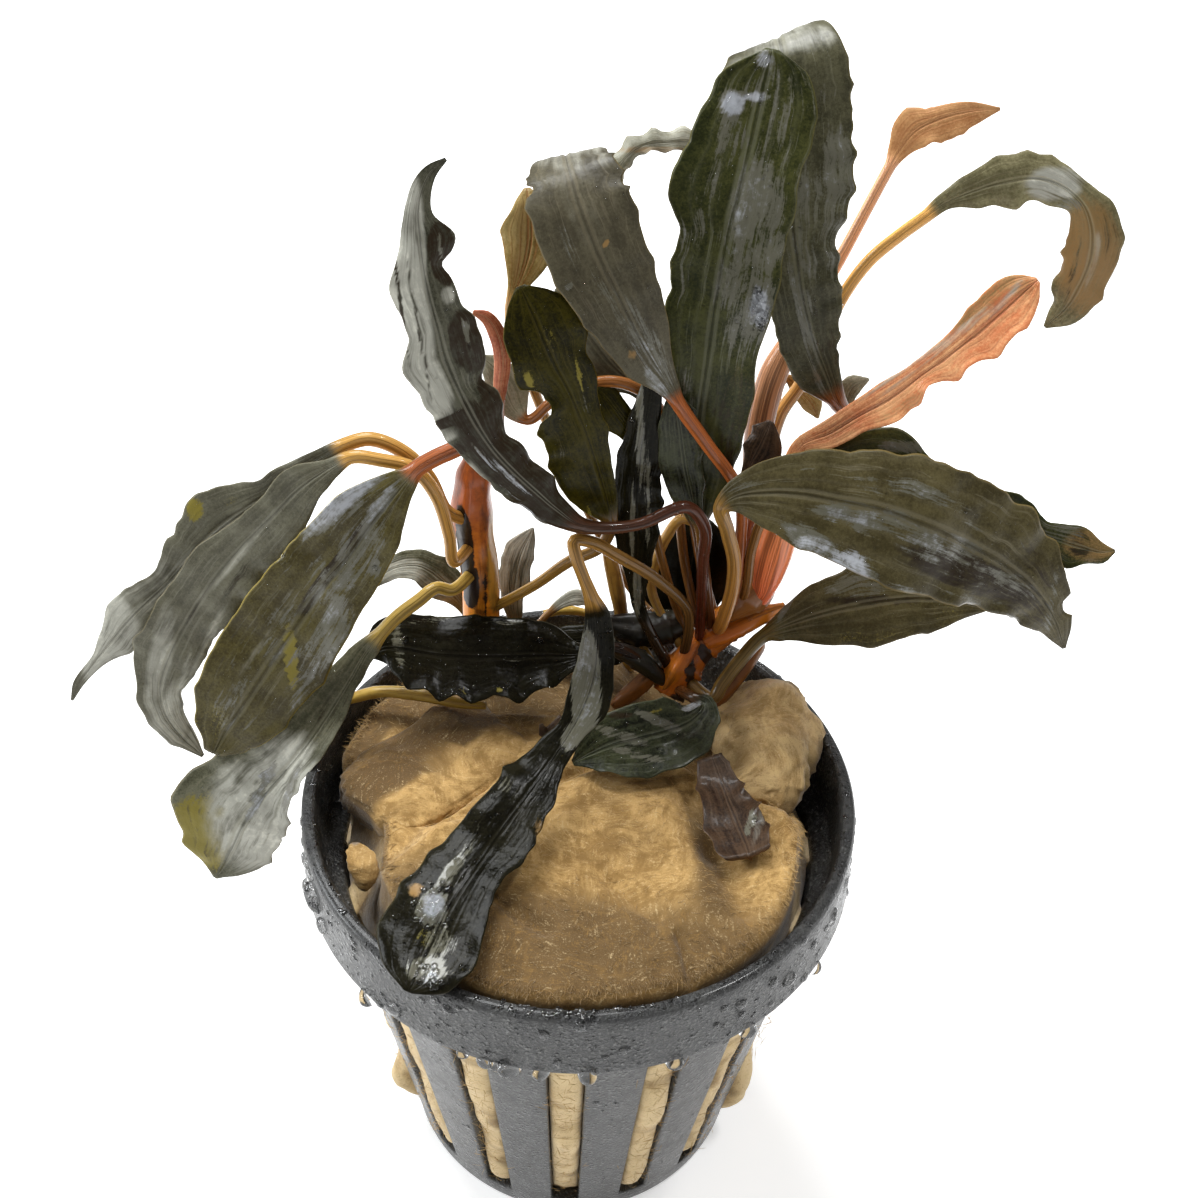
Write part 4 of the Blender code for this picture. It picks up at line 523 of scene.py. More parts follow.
# Leaf colours: group, deep and fresh clouds, midrib and veins, rim, underside, then how matt, wet and shiny
LeafLook = namedtuple("LeafLook", "slot deep fresh rib rim under gloss wet shine", defaults=(0.3, 0.05, 0.16))
LOOKS = {
    "dark_green": LeafLook(
        "green_leaves", (0.012, 0.015, 0.002), (0.06, 0.062, 0.016), (0.17, 0.17, 0.11),
        (0.14, 0.12, 0.025), (0.04, 0.036, 0.012),
    ),
    "olive_grey": LeafLook(
        "green_leaves", (0.032, 0.03, 0.014), (0.094, 0.088, 0.048), (0.19, 0.18, 0.115),
        (0.22, 0.17, 0.06), (0.08, 0.06, 0.02), 0.34,
    ),
    "brown_green": LeafLook(
        "green_leaves", (0.04, 0.031, 0.01), (0.1, 0.082, 0.034), (0.2, 0.175, 0.11), (0.22, 0.15, 0.04),
        (0.08, 0.055, 0.02), 0.36,
    ),
    "grey_brown": LeafLook(
        "green_leaves", (0.046, 0.039, 0.023), (0.095, 0.083, 0.05), (0.16, 0.135, 0.085),
        (0.2, 0.14, 0.045), (0.08, 0.055, 0.02), 0.38,
    ),
    "smooth_grey": LeafLook(
        "grey_leaves", (0.078, 0.073, 0.049), (0.158, 0.152, 0.105), (0.25, 0.24, 0.18), (0.12, 0.09, 0.03),
        (0.12, 0.1, 0.05), 0.38,
    ),
    "grey_green": LeafLook(
        "grey_leaves", (0.055, 0.054, 0.03), (0.15, 0.146, 0.095), (0.21, 0.2, 0.14), (0.2, 0.16, 0.08),
        (0.12, 0.095, 0.045), 0.36,
    ),
    "pale_grey": LeafLook(
        "grey_leaves", (0.17, 0.165, 0.11), (0.36, 0.34, 0.25), (0.42, 0.38, 0.27), (0.26, 0.19, 0.08),
        (0.22, 0.19, 0.1), 0.4,
    ),
    "deep_olive": LeafLook(
        "olive_leaves", (0.008, 0.007, 0.0003), (0.046, 0.038, 0.0015), (0.07, 0.055, 0.008),
        (0.17, 0.12, 0.012), (0.05, 0.04, 0.008), 0.3, 0.03, 0.1,
    ),
    "bottle_green": LeafLook(
        "black_leaves", (0.004, 0.005, 0.002), (0.05, 0.055, 0.026), (0.13, 0.135, 0.09),
        (0.16, 0.16, 0.09), (0.03, 0.025, 0.01), 0.2, 0.05, 0.14,
    ),
    "slate_green": LeafLook(
        "green_leaves", (0.026, 0.026, 0.016), (0.095, 0.092, 0.063), (0.26, 0.25, 0.195),
        (0.26, 0.23, 0.15), (0.05, 0.04, 0.022), 0.28, 0.04, 0.12,
    ),
    "mottled_olive": LeafLook(
        "olive_leaves", (0.04, 0.03, 0.006), (0.106, 0.088, 0.028), (0.18, 0.165, 0.1), (0.36, 0.27, 0.05),
        (0.09, 0.065, 0.015), 0.34,
    ),
    "near_black": LeafLook(
        "black_leaves", (0.003, 0.0026, 0.0012), (0.0125, 0.0112, 0.0056), (0.016, 0.014, 0.008),
        (0.055, 0.045, 0.018), (0.02, 0.012, 0.005), 0.12, 0.02, 0.06,
    ),
    "khaki": LeafLook(
        "grey_leaves", (0.1, 0.088, 0.04), (0.25, 0.225, 0.12), (0.32, 0.28, 0.17), (0.14, 0.09, 0.03),
        (0.1, 0.075, 0.03), 0.38,
    ),
    "pink": LeafLook(
        "red_leaves", (0.6, 0.19, 0.075), (0.86, 0.45, 0.21), (0.44, 0.13, 0.07), (0.9, 0.38, 0.13),
        (0.5, 0.18, 0.06), 0.32, 0.1, 0.2,
    ),
    "red": LeafLook(
        "red_leaves", (0.28, 0.05, 0.022), (0.55, 0.18, 0.09), (0.75, 0.45, 0.25), (0.65, 0.32, 0.1),
        (0.26, 0.06, 0.022),
    ),
    "tan": LeafLook(
        "red_leaves", (0.46, 0.2, 0.075), (0.68, 0.37, 0.16), (0.5, 0.2, 0.085), (0.7, 0.29, 0.09),
        (0.5, 0.22, 0.085), 0.42,
    ),
    "olive_tan": LeafLook(
        "olive_leaves", (0.22, 0.14, 0.035), (0.42, 0.31, 0.12), (0.36, 0.08, 0.02), (0.46, 0.33, 0.1),
        (0.22, 0.15, 0.045), 0.4,
    ),
    "dead_maroon": LeafLook(
        "dead_leaves", (0.012, 0.006, 0.0035), (0.07, 0.04, 0.022), (0.1, 0.06, 0.035), (0.16, 0.08, 0.03),
        (0.04, 0.016, 0.008), 0.34, 0.12,
    ),
}

# Leaves: edge ruffle, its wave, teeth, swell of the blade, midrib groove, cupping, each edge's share, bites
LeafStyle = namedtuple(
    "LeafStyle",
    "look ruffle wave teeth swell groove cup sides bites",
    defaults=(0.35, 4.2, 0.4, 0.22, 0.16, 0.0, (1.0, 1.0), ()),
)
LEAF_STYLES = {
    "tall_front_leaf": LeafStyle("dark_green", 0.3, 5.2, 0.22, 0.3, sides=(1.2, 0.6)),
    "tall_right_leaf": LeafStyle("olive_grey", 0.25, 2.6, 0.26, 0.25),
    "upper_middle_leaf": LeafStyle("grey_brown", 0.12, 3.4, 0.1, 0.2, bites=((629, 181, 5), (529, 190, 4))),
    "pale_back_leaf": LeafStyle("pale_grey", 0.35, 2.1, 0.75, 0.2),
    "olive_brown_back_leaf": LeafStyle("olive_tan", 0.2, 4.6, 0.2, 0.14),
    "long_wavy_leaf": LeafStyle("slate_green", 0.6, 4.6, 0.34, 0.2, sides=(0.5, 1.0)),
    "dark_olive_leaf": LeafStyle("deep_olive", 0.2, 4.6, 0.2, 0.3, bites=((531, 402, 11), (541, 411, 8))),
    "red_young_leaf": LeafStyle("red", 0.1, 5.0, 0.08, 0.05, 0.12),
    "blue_grey_back_leaf": LeafStyle("pale_grey", 0.2, 4.0, 0.3, 0.15),
    "mauve_grey_back_leaf": LeafStyle("smooth_grey", 0.25, 4.0, 0.3, 0.15),
    "small_olive_leaf": LeafStyle("deep_olive", 0.2, 4.0, 0.25, 0.12),
    "black_middle_leaf": LeafStyle("near_black", 0.2, 4.0, 0.3, 0.3),
    "far_left_upper_leaf": LeafStyle("smooth_grey", 0.3, 6.2, 0.2, 0.35, sides=(0.8, 1.0)),
    "far_left_lower_leaf": LeafStyle("smooth_grey", 0.35, 6.6, 0.2, 0.4, sides=(0.7, 1.0)),
    "left_front_leaf": LeafStyle("mottled_olive", 0.2, 6.5, 0.12, 0.4, 0.3),
    "lower_left_leaf": LeafStyle("grey_green", 0.45, 4.6, 0.26, 0.7),
    "left_back_leaf": LeafStyle("grey_green", 0.25, 3.6, 0.35, 0.15),
    "pale_left_leaf": LeafStyle("grey_green", 0.2, 3.6, 0.25, 0.12),
    "leaf_behind_rim": LeafStyle("grey_green", 0.1, 4.0, 0.15, 0.08),
    "rim_leaf": LeafStyle("near_black", 0.22, 4.4, 0.22, 0.55, 0.1, sides=(1.1, 0.35)),
    "inner_dark_leaf": LeafStyle("near_black", 0.2, 5.0, 0.2, 0.3),
    "long_front_leaf": LeafStyle("near_black", 0.25, 6.6, 0.2, 0.55, 0.12),
    "spoon_leaf": LeafStyle("bottle_green", 0.15, 5.6, 0.14, 0.35, cup=0.5),
    "big_right_leaf": LeafStyle("brown_green", 0.25, 5.2, 0.16, 0.6, 0.3, bites=((1072, 606, 9),)),
    "right_back_leaf": LeafStyle("dark_green", 0.25, 3.8, 0.25, 0.35),
    "lower_right_leaf": LeafStyle("brown_green", 0.2, 6.2, 0.14, 0.4, bites=((806, 650, 4),)),
    "pink_leaf": LeafStyle("pink", 0.25, 4.2, 0.22, 0.3, 0.3, sides=(0.3, 1.2)),
    "small_tan_leaf": LeafStyle("tan", 0.25, 4.0, 0.22, 0.15, bites=((925, 100, 8),)),
    "arching_leaf": LeafStyle("khaki", 0.3, 3.6, 0.24, 0.25),
    "pale_bit_leaf": LeafStyle("pale_grey", 0.1, 4.0, 0.1, 0.08),
    "green_bit_leaf": LeafStyle("olive_tan", 0.1, 4.0, 0.1, 0.08),
    "dark_crown_leaf": LeafStyle("near_black", 0.2, 4.0, 0.3, 0.3),
    "grey_crown_leaf": LeafStyle("bottle_green", 0.2, 3.6, 0.2, 0.2),
    "dead_maroon_leaf": LeafStyle("dead_maroon", 0.5, 2.4, 0.5, 0.4),
    "dead_leaf_piece": LeafStyle("dead_maroon", 0.5, 3.4, 0.35, 0.7, cup=0.6),
    "dead_leaf_curl": LeafStyle("dead_maroon", 0.2, 2.5, 0.1, 0.1),
}

# Single lobes and nicks seen on the edges: across, down, reach in mm and half-length in picture steps
EDGE_LOBES = {
    "long_wavy_leaf": (
        (443, 235, 1.5, 24), (440, 262, -0.7, 9), (455, 290, 1.3, 20), (452, 316, -0.8, 9),
        (472, 350, 2.0, 28), (484, 380, -0.9, 9), (497, 400, 1.3, 18), (512, 428, -0.6, 8),
        (520, 440, 0.7, 12), (540, 470, 0.5, 12), (398, 290, 0.5, 14), (401, 318, -0.3, 8),
        (410, 370, 0.6, 14), (420, 396, -0.4, 8), (436, 440, 0.5, 14),
    ),
    "tall_front_leaf": (
        (670, 200, 0.9, 16), (668, 228, -0.5, 9), (664, 262, 0.8, 14), (666, 290, -0.4, 8),
        (672, 330, 0.7, 20), (700, 110, 0.5, 12), (690, 140, -0.4, 8), (820, 150, 0.4, 12),
        (818, 240, 0.4, 16), (800, 300, 0.5, 12),
    ),
    "tall_right_leaf": (
        (846, 60, 0.4, 6), (851, 84, 0.5, 5), (850, 110, 0.3, 5), (851, 150, 0.5, 7), (852, 190, 0.3, 6),
        (843, 300, 0.5, 10), (840, 345, -0.4, 8),
    ),
    "upper_middle_leaf": (
        (530, 158, 0.9, 5), (524, 176, 0.5, 4), (528, 205, 0.6, 6), (612, 155, 0.9, 5), (620, 172, 0.7, 4),
        (628, 189, 0.8, 4), (636, 210, 0.4, 8), (648, 262, 0.4, 8), (566, 280, 0.4, 10), (580, 330, 0.4, 8),
        (622, 390, 0.4, 8),
    ),
    "dark_olive_leaf": (
        (510, 340, 0.6, 14), (588, 370, 0.6, 16), (596, 430, 0.5, 10), (590, 470, -0.4, 8),
        (602, 505, 0.4, 10), (520, 445, 0.8, 9), (530, 480, 0.6, 10), (545, 520, -0.4, 7),
    ),
    "left_front_leaf": (
        (186, 690, 0.6, 12), (190, 722, 0.6, 9), (205, 750, 0.5, 8), (236, 755, 0.7, 9),
        (252, 746, -0.4, 5), (196, 640, -0.3, 8), (330, 690, 0.4, 10), (288, 730, 0.4, 8),
        (280, 560, -0.3, 7),
    ),
    "far_left_upper_leaf": (
        (140, 550, 0.8, 14), (190, 500, 0.9, 16), (168, 530, -0.5, 7), (105, 605, 0.5, 10),
        (240, 475, 0.5, 12), (130, 650, 0.5, 10),
    ),
    "far_left_lower_leaf": (
        (140, 640, 0.7, 12), (145, 700, 0.6, 12), (175, 740, 0.5, 8), (225, 620, 0.6, 8),
        (238, 590, -0.5, 6), (262, 545, 0.5, 8), (195, 690, 0.5, 8),
    ),
    "lower_left_leaf": (
        (175, 800, 0.8, 10), (182, 842, 0.9, 9), (225, 868, 0.8, 8), (240, 868, -0.6, 5),
        (262, 858, 0.9, 7), (278, 838, -0.5, 5), (286, 822, 0.9, 7), (298, 790, 0.6, 8), (320, 740, 0.5, 9),
    ),
    "rim_leaf": (
        (410, 682, 1.0, 9), (424, 692, -0.5, 5), (440, 694, 1.1, 8), (456, 696, -0.5, 5),
        (472, 696, 0.9, 9), (493, 696, -0.4, 6), (515, 692, 0.6, 9), (390, 660, 0.5, 8), (386, 625, 0.5, 8),
    ),
    "long_front_leaf": (
        (470, 758, 0.7, 9), (452, 800, 0.9, 10), (440, 830, -0.4, 7), (425, 850, 0.7, 10),
        (402, 886, 0.9, 10), (392, 925, 0.5, 9), (545, 800, 0.8, 12), (535, 835, -0.6, 6),
        (520, 868, 0.5, 10), (505, 930, 0.5, 9), (480, 975, 0.5, 9), (430, 985, 0.7, 10),
    ),
    "spoon_leaf": (
        (600, 768, 0.5, 9), (650, 778, 0.5, 10), (700, 750, 0.5, 7), (718, 722, 0.8, 5), (660, 695, 0.5, 9),
    ),
    "big_right_leaf": (
        (830, 448, 0.6, 14), (880, 452, 0.5, 10), (915, 455, 0.7, 12), (935, 465, -0.4, 6),
        (965, 480, 0.7, 10), (1000, 500, 0.6, 10), (1030, 515, 0.5, 9), (1050, 550, 0.6, 10),
        (1060, 600, 0.6, 9), (800, 590, 0.4, 14), (850, 600, 0.7, 14), (900, 612, 0.6, 10),
        (920, 612, -0.5, 6), (960, 615, 0.6, 10), (1010, 620, 0.7, 10), (1030, 640, 0.6, 8),
    ),
    "lower_right_leaf": (
        (860, 580, 0.5, 12), (900, 600, 0.4, 10), (870, 648, 0.5, 14), (925, 625, 0.5, 9),
        (780, 640, 0.4, 8),
    ),
    "pink_leaf": (
        (1010, 300, 0.5, 6), (1028, 330, 0.5, 7), (1000, 360, 0.8, 9), (985, 366, -0.5, 5),
        (955, 378, 0.8, 10), (935, 392, -0.4, 6), (900, 420, 0.6, 12), (960, 300, 0.3, 10),
    ),
    "arching_leaf": (
        (1000, 165, 0.4, 8), (1030, 155, 0.6, 6), (1052, 160, 0.5, 6), (1104, 200, 0.6, 9),
        (1122, 240, 0.6, 8), (1100, 300, 0.5, 7), (1060, 250, 0.7, 7), (1052, 290, 0.5, 8),
        (1020, 212, 0.4, 9),
    ),
    "small_tan_leaf": ((905, 105, 0.5, 5), (960, 128, 0.5, 6), (940, 142, 0.4, 5)),
    "dead_leaf_piece": (
        (705, 790, 0.6, 7), (712, 830, 0.7, 7), (752, 800, 0.6, 7), (764, 845, 0.5, 5), (730, 762, 0.4, 4),
    ),
}

# Stalks: the colour at the foot and the colour where the blade begins
PLAIN_STALK = ((0.2, 0.075, 0.014), (0.26, 0.12, 0.025))
STALK_TONES = {
    "upper_middle_leaf": ((0.34, 0.085, 0.014), (0.42, 0.11, 0.022)),
    "small_tan_leaf": ((0.2, 0.05, 0.01), (1.0, 0.5, 0.26)),
    "arching_leaf": ((0.25, 0.095, 0.014), (0.95, 0.5, 0.13)),
    "pink_leaf": ((0.85, 0.13, 0.055), (0.9, 0.36, 0.12)),
    "far_left_upper_leaf": ((0.55, 0.27, 0.055), (0.66, 0.36, 0.085)),
    "far_left_lower_leaf": ((0.55, 0.27, 0.055), (0.68, 0.37, 0.085)),
    "left_front_leaf": ((0.3, 0.07, 0.02), (0.42, 0.12, 0.035)),
    "lower_left_leaf": ((0.44, 0.27, 0.05), (0.5, 0.34, 0.08)),
    "left_back_leaf": ((0.32, 0.19, 0.04), (0.3, 0.22, 0.08)),
    "long_wavy_leaf": ((0.13, 0.02, 0.008), (0.07, 0.028, 0.012)),
    "long_front_leaf": ((0.07, 0.026, 0.009), (0.42, 0.22, 0.05)),
    "big_right_leaf": ((0.42, 0.15, 0.02), (0.36, 0.19, 0.04)),
    "tall_front_leaf": ((0.14, 0.04, 0.01), (0.11, 0.045, 0.014)),
    "tall_right_leaf": ((0.2, 0.055, 0.014), (0.26, 0.08, 0.018)),
    "lower_right_leaf": ((0.2, 0.1, 0.018), (0.15, 0.1, 0.025)),
    "dark_olive_leaf": ((0.5, 0.28, 0.05), (0.16, 0.075, 0.016)),
    "red_young_leaf": ((0.6, 0.15, 0.05), (0.62, 0.2, 0.08)),
    "blue_grey_back_leaf": ((0.32, 0.12, 0.022), (0.36, 0.12, 0.022)),
    "black_middle_leaf": ((0.05, 0.018, 0.006), (0.03, 0.015, 0.006)),
    "olive_brown_back_leaf": ((0.2, 0.09, 0.03), (0.5, 0.27, 0.07)),
    "spoon_leaf": ((0.18, 0.055, 0.012), (0.07, 0.03, 0.01)),
    "rim_leaf": ((0.03, 0.011, 0.005), (0.02, 0.01, 0.005)),
    "inner_dark_leaf": ((0.06, 0.02, 0.008), (0.02, 0.01, 0.005)),
}

# Patches on leaves: wet films with painted glare, brown spots and painted shade in hollows, fresh
# yellow-green spots, painted silvery sheen, tawny spots and painted glints in the glare. On stems they are
# painted wet highlights, dark sides in painted shade and lighter sides in painted light. Each is across,
# down, half the width and height seen there, strength, and the lean to the left going up, in degrees. The
# first three kinds are kept on a mesh as its tints and painted light, and the others as its sheens.
PATCH_KINDS = ("wet_glare", "brown", "fresh", "painted_sheen", "tawny", "glow")
Patch = namedtuple("Patch", "across down half_width half_height strength lean", defaults=(1.0, 0.0))
PATCHES = {
    "tall_front_leaf": {
        "wet_glare": (
            (733, 104, 13, 16, 1.1), (755, 97, 14, 5, 0.9), (764, 60, 10, 12, 0.7), (730, 138, 20, 36, 0.5),
            (714, 180, 14, 90, 0.36, -16), (776, 110, 44, 56, 0.27), (770, 165, 32, 70, 0.34, -10),
            (752, 235, 38, 96, 0.5, -12), (748, 330, 18, 60, 0.3, -16), (758, 306, 18, 44, 0.55, -10),
            (737, 322, 8, 40, 0.5, -16), (692, 240, 20, 90, 0.2, -8), (682, 452, 26, 80, 0.35),
            (690, 190, 14, 24, 0.35),
        ),
        "brown": ((735, 425, 26, 76, 0.5),),
        "fresh": ((670, 240, 8, 40, 0.3), (700, 310, 26, 70, 0.12)),
        "tawny": ((738, 400, 18, 60, 0.25),),
        "glow": (
            (733, 104, 11, 13, 0.8), (755, 97, 13, 5, 0.6), (764, 60, 8, 9, 0.6), (759, 308, 10, 22, 0.9),
            (734, 230, 6, 60, 0.3, -12),
        ),
    },
    "tall_right_leaf": {
        "wet_glare": (
            (838, 165, 20, 44, 0.5), (806, 225, 15, 100, 0.4, 4), (832, 215, 18, 80, 0.42),
            (805, 318, 9, 90, 0.42, 13), (720, 70, 10, 8, 0.5), (822, 100, 14, 90, 0.25),
            (790, 370, 12, 40, 0.35, 25), (765, 30, 50, 8, 0.3, 10),
        ),
        "brown": ((812, 340, 26, 60, 0.35), (800, 270, 5, 80, 0.5, 8)),
        "painted_sheen": ((775, 38, 66, 18, 0.55), (730, 82, 22, 16, 0.35)),
    },
    "upper_middle_leaf": {
        "wet_glare": (
            (652, 358, 16, 70, 0.42, 24), (628, 325, 14, 70, 0.26, 28), (568, 287, 5, 5, 0.9),
            (600, 280, 30, 90, 0.12, 24), (652, 380, 9, 22, 0.5, 24), (640, 330, 4, 40, 0.4, 26),
        ),
        "brown": ((560, 240, 8, 60, 0.15, 20),),
        "painted_sheen": ((575, 156, 52, 18, 0.4), (585, 200, 46, 50, 0.12)),
        "tawny": ((606, 243, 4, 3, 1.6), (632, 355, 5, 5, 0.8)),
        "glow": ((650, 366, 10, 40, 0.3, 24),),
    },
    "pale_back_leaf": {
        "painted_sheen": ((655, 142, 70, 30, 0.5),),
        "tawny": ((655, 150, 60, 4, 0.7),),
    },
    "olive_brown_back_leaf": {
        "painted_sheen": ((541, 230, 6, 30, 0.4),),
        "tawny": ((520, 240, 12, 50, 0.5, -6),),
    },
    "long_wavy_leaf": {
        "wet_glare": (
            (503, 472, 50, 4, 0.45, -40), (530, 512, 50, 4, 0.45, -40), (515, 440, 34, 3, 0.4, -40),
            (478, 395, 8, 30, 0.2, 22), (466, 330, 3, 14, 0.8, 14), (440, 246, 3, 16, 0.7, 6),
        ),
        "brown": (
            (443, 254, 15, 34, 1.6, 8), (468, 342, 19, 33, 1.6, 14), (490, 388, 14, 22, 1.0, 20),
            (447, 421, 40, 5, 1.6, 22), (474, 443, 40, 6, 1.6, 22), (512, 450, 70, 40, 1.4, -40),
            (550, 505, 54, 36, 1.4, -42), (400, 300, 2.5, 80, 0.8, 8), (419, 330, 2.5, 90, 0.7, 10),
            (394, 250, 2.5, 60, 0.6, 6),
        ),
        "painted_sheen": (
            (408, 220, 16, 96, 1.3, 6), (410, 315, 22, 90, 1.3, 6), (428, 388, 20, 48, 1.1, 22),
            (448, 295, 8, 10, 0.7), (462, 432, 24, 5, 0.9, 22), (480, 470, 16, 10, 0.7, -42),
        ),
        "glow": ((510, 485, 60, 16, 0.6, -40),),
    },
    "dark_olive_leaf": {
        "wet_glare": ((558, 455, 8, 30, 0.2, 10), (530, 440, 14, 16, 0.26, 20), (585, 395, 6, 30, 0.26, 12)),
        "fresh": (
            (579, 375, 3, 20, 0.75, 12), (529, 380, 4, 10, 0.8, 20), (545, 345, 12, 20, 0.25),
            (535, 470, 8, 14, 0.4), (590, 520, 3, 22, 0.5, 10),
        ),
    },
    "blue_grey_back_leaf": {
        "painted_sheen": ((500, 385, 24, 34, 0.4),),
    },
    "mauve_grey_back_leaf": {
        "painted_sheen": ((590, 340, 34, 44, 0.3),),
    },
    "left_back_leaf": {
        "painted_sheen": ((400, 570, 34, 16, 0.8), (440, 590, 30, 20, 0.4)),
    },
    "pale_left_leaf": {
        "painted_sheen": ((520, 560, 30, 50),),
    },
    "leaf_behind_rim": {
        "painted_sheen": ((575, 600, 30, 20, 0.6),),
    },
    "black_middle_leaf": {
        "wet_glare": (
            (640, 430, 5, 70, 0.6), (637, 590, 5, 30, 0.7), (648, 500, 4, 60, 0.5), (632, 520, 3, 50, 0.6),
        ),
    },
    "far_left_upper_leaf": {
        "brown": ((235, 520, 12, 60, 0.3, -50), (290, 465, 30, 30, 0.3, -40)),
        "fresh": ((195, 510, 10, 14, 0.8), (232, 500, 14, 8, 0.3, 20)),
        "painted_sheen": (
            (110, 645, 34, 54, 1.3), (140, 590, 24, 44, 0.4, -40), (205, 545, 4, 60, 0.5, -45),
            (170, 580, 6, 60, 0.5, -40),
        ),
    },
    "far_left_lower_leaf": {
        "brown": (
            (180, 650, 5, 80, 0.45, -20), (215, 610, 5, 80, 0.4, -34), (275, 505, 40, 24, 0.25, -40),
            (192, 720, 4, 50, 0.4, -20),
        ),
        "painted_sheen": (
            (185, 730, 40, 50, 0.9), (160, 660, 14, 60, 0.6, -10), (200, 660, 6, 70, 0.45, -24),
            (235, 560, 5, 70, 0.4, -42), (178, 700, 4, 60, 0.6, -14), (268, 520, 4, 60, 0.3, -45),
        ),
        "tawny": ((184, 698, 10, 5, 0.3),),
    },
    "left_front_leaf": {
        "wet_glare": (
            (330, 511, 44, 13, 0.8, 42), (366, 481, 44, 10, 0.8, 36), (345, 502, 66, 24, 0.35, 40),
            (378, 510, 8, 40, 0.7, -36), (352, 560, 24, 80, 0.42, -36), (316, 575, 16, 90, 0.3, -38),
            (322, 640, 26, 80, 0.38, -28), (375, 568, 6, 12, 0.7), (331, 652, 12, 14, 0.45),
            (240, 705, 56, 40, 0.16, -30), (262, 650, 26, 90, 0.26, -36), (285, 556, 10, 20, 0.35),
            (250, 722, 34, 10, 0.3, 20),
        ),
        "brown": ((338, 562, 6, 76, 2.2, -36), (300, 560, 18, 60, 0.35, -36), (230, 660, 20, 60, 0.3, -36)),
        "fresh": ((291, 657, 6, 34, 1.5, 4), (210, 724, 26, 26, 0.3)),
        "painted_sheen": ((262, 640, 5, 60, 0.35, -36),),
        "glow": ((340, 500, 62, 14, 0.5, 40), (380, 504, 7, 26, 0.4, -36)),
    },
    "lower_left_leaf": {
        "wet_glare": ((262, 790, 7, 40, 0.7, -24), (290, 790, 5, 30, 0.5, -20)),
        "brown": (
            (198, 834, 34, 46, 0.3, -24), (334, 705, 20, 46, 0.4, -34), (250, 805, 2.5, 50, 0.6, -16),
            (276, 812, 2.5, 50, 0.5, -20), (222, 805, 2.5, 30, 0.5, -14),
        ),
        "fresh": ((198, 836, 38, 50, 0.8, -24), (330, 715, 14, 40, 0.2, -34)),
        "painted_sheen": ((255, 815, 52, 62, 1.1), (285, 765, 34, 40, 0.75, -30)),
        "glow": ((258, 800, 30, 40, 0.3),),
    },
    "rim_leaf": {
        "wet_glare": (
            (398, 642, 7, 26, 0.42, 8), (436, 620, 34, 4, 0.36, 4), (505, 622, 30, 4, 0.3, 4),
            (525, 660, 34, 4, 0.26, -8), (455, 688, 20, 4, 0.3),
        ),
        "fresh": ((500, 690, 4, 3, 0.7), (463, 690, 4, 3, 0.7)),
    },
    "inner_dark_leaf": {
        "wet_glare": ((610, 635, 20, 8, 0.6),),
    },
    "long_front_leaf": {
        "wet_glare": (
            (586, 688, 16, 62, 0.95), (572, 736, 12, 16, 0.7, -30), (450, 870, 8, 60, 0.4, -36),
            (432, 908, 18, 20, 0.75), (508, 786, 14, 10, 0.3, -36), (428, 970, 22, 16, 0.65),
            (520, 740, 8, 40, 0.26, -36), (440, 940, 20, 20, 0.45),
        ),
        "brown": ((593, 672, 4, 30, 1.2, -10),),
        "fresh": ((428, 938, 12, 12, 0.4),),
        "tawny": ((415, 890, 8, 8, 0.9), (540, 830, 6, 12, 0.5)),
        "glow": ((434, 905, 12, 14, 0.7), (430, 980, 12, 8, 0.6)),
    },
    "spoon_leaf": {
        "wet_glare": (
            (620, 735, 34, 7, 0.5, -18), (660, 722, 34, 6, 0.6, -24), (640, 755, 34, 5, 0.5, -14),
            (692, 706, 12, 4, 0.9, 24), (610, 700, 12, 4, 0.6, 24),
        ),
        "brown": ((620, 715, 16, 5, 0.8), (690, 735, 20, 5, 0.6, 20)),
        "fresh": ((655, 712, 10, 3, 0.5, 14),),
        "glow": ((692, 706, 12, 5, 0.5, 24),),
    },
    "big_right_leaf": {
        "wet_glare": (
            (847, 578, 34, 34, 0.6, -30), (816, 545, 40, 16, 0.6, -34), (850, 517, 46, 12, 0.6, -14),
            (905, 532, 90, 20, 0.42, -20), (955, 555, 90, 24, 0.36, -24), (930, 500, 100, 18, 0.25, -18),
            (1000, 540, 60, 26, 0.16, -30), (890, 596, 80, 16, 0.36, -14), (990, 608, 60, 10, 0.26, -16),
            (770, 478, 60, 12, 0.26, 10), (1052, 600, 6, 40, 0.4, -10),
        ),
        "brown": (
            (1030, 590, 30, 60, 0.55, -10), (890, 533, 80, 3, 1.0, -20), (968, 572, 90, 22, 0.85, -20),
            (980, 560, 60, 26, 0.25, -22), (800, 500, 60, 5, 0.4, 4),
        ),
        "fresh": ((985, 590, 50, 24, 0.15),),
        "glow": (
            (845, 572, 26, 26, 0.8), (812, 545, 26, 9, 0.5), (850, 517, 30, 8, 0.4),
            (910, 560, 70, 34, 0.2),
        ),
    },
    "right_back_leaf": {
        "wet_glare": ((905, 446, 40, 9, 0.5), (1050, 535, 40, 14, 0.4)),
        "brown": ((1080, 545, 14, 20, 0.6),),
        "fresh": ((905, 440, 34, 12, 0.25),),
        "tawny": ((1090, 545, 34, 20, 0.6),),
    },
    "lower_right_leaf": {
        "wet_glare": ((790, 600, 4, 26, 0.9, -30), (850, 585, 40, 14, 0.45)),
        "brown": ((870, 600, 60, 6, 0.7),),
        "fresh": ((880, 636, 50, 10, 0.3), (940, 610, 30, 20, 0.2)),
    },
    "arching_leaf": {
        "wet_glare": ((1070, 205, 16, 10, 0.4),),
        "brown": ((1074, 268, 4, 50, 0.5, -14), (1056, 304, 20, 24, 0.25), (1112, 240, 12, 50, 0.22)),
        "fresh": ((960, 200, 30, 10, 0.2, 10),),
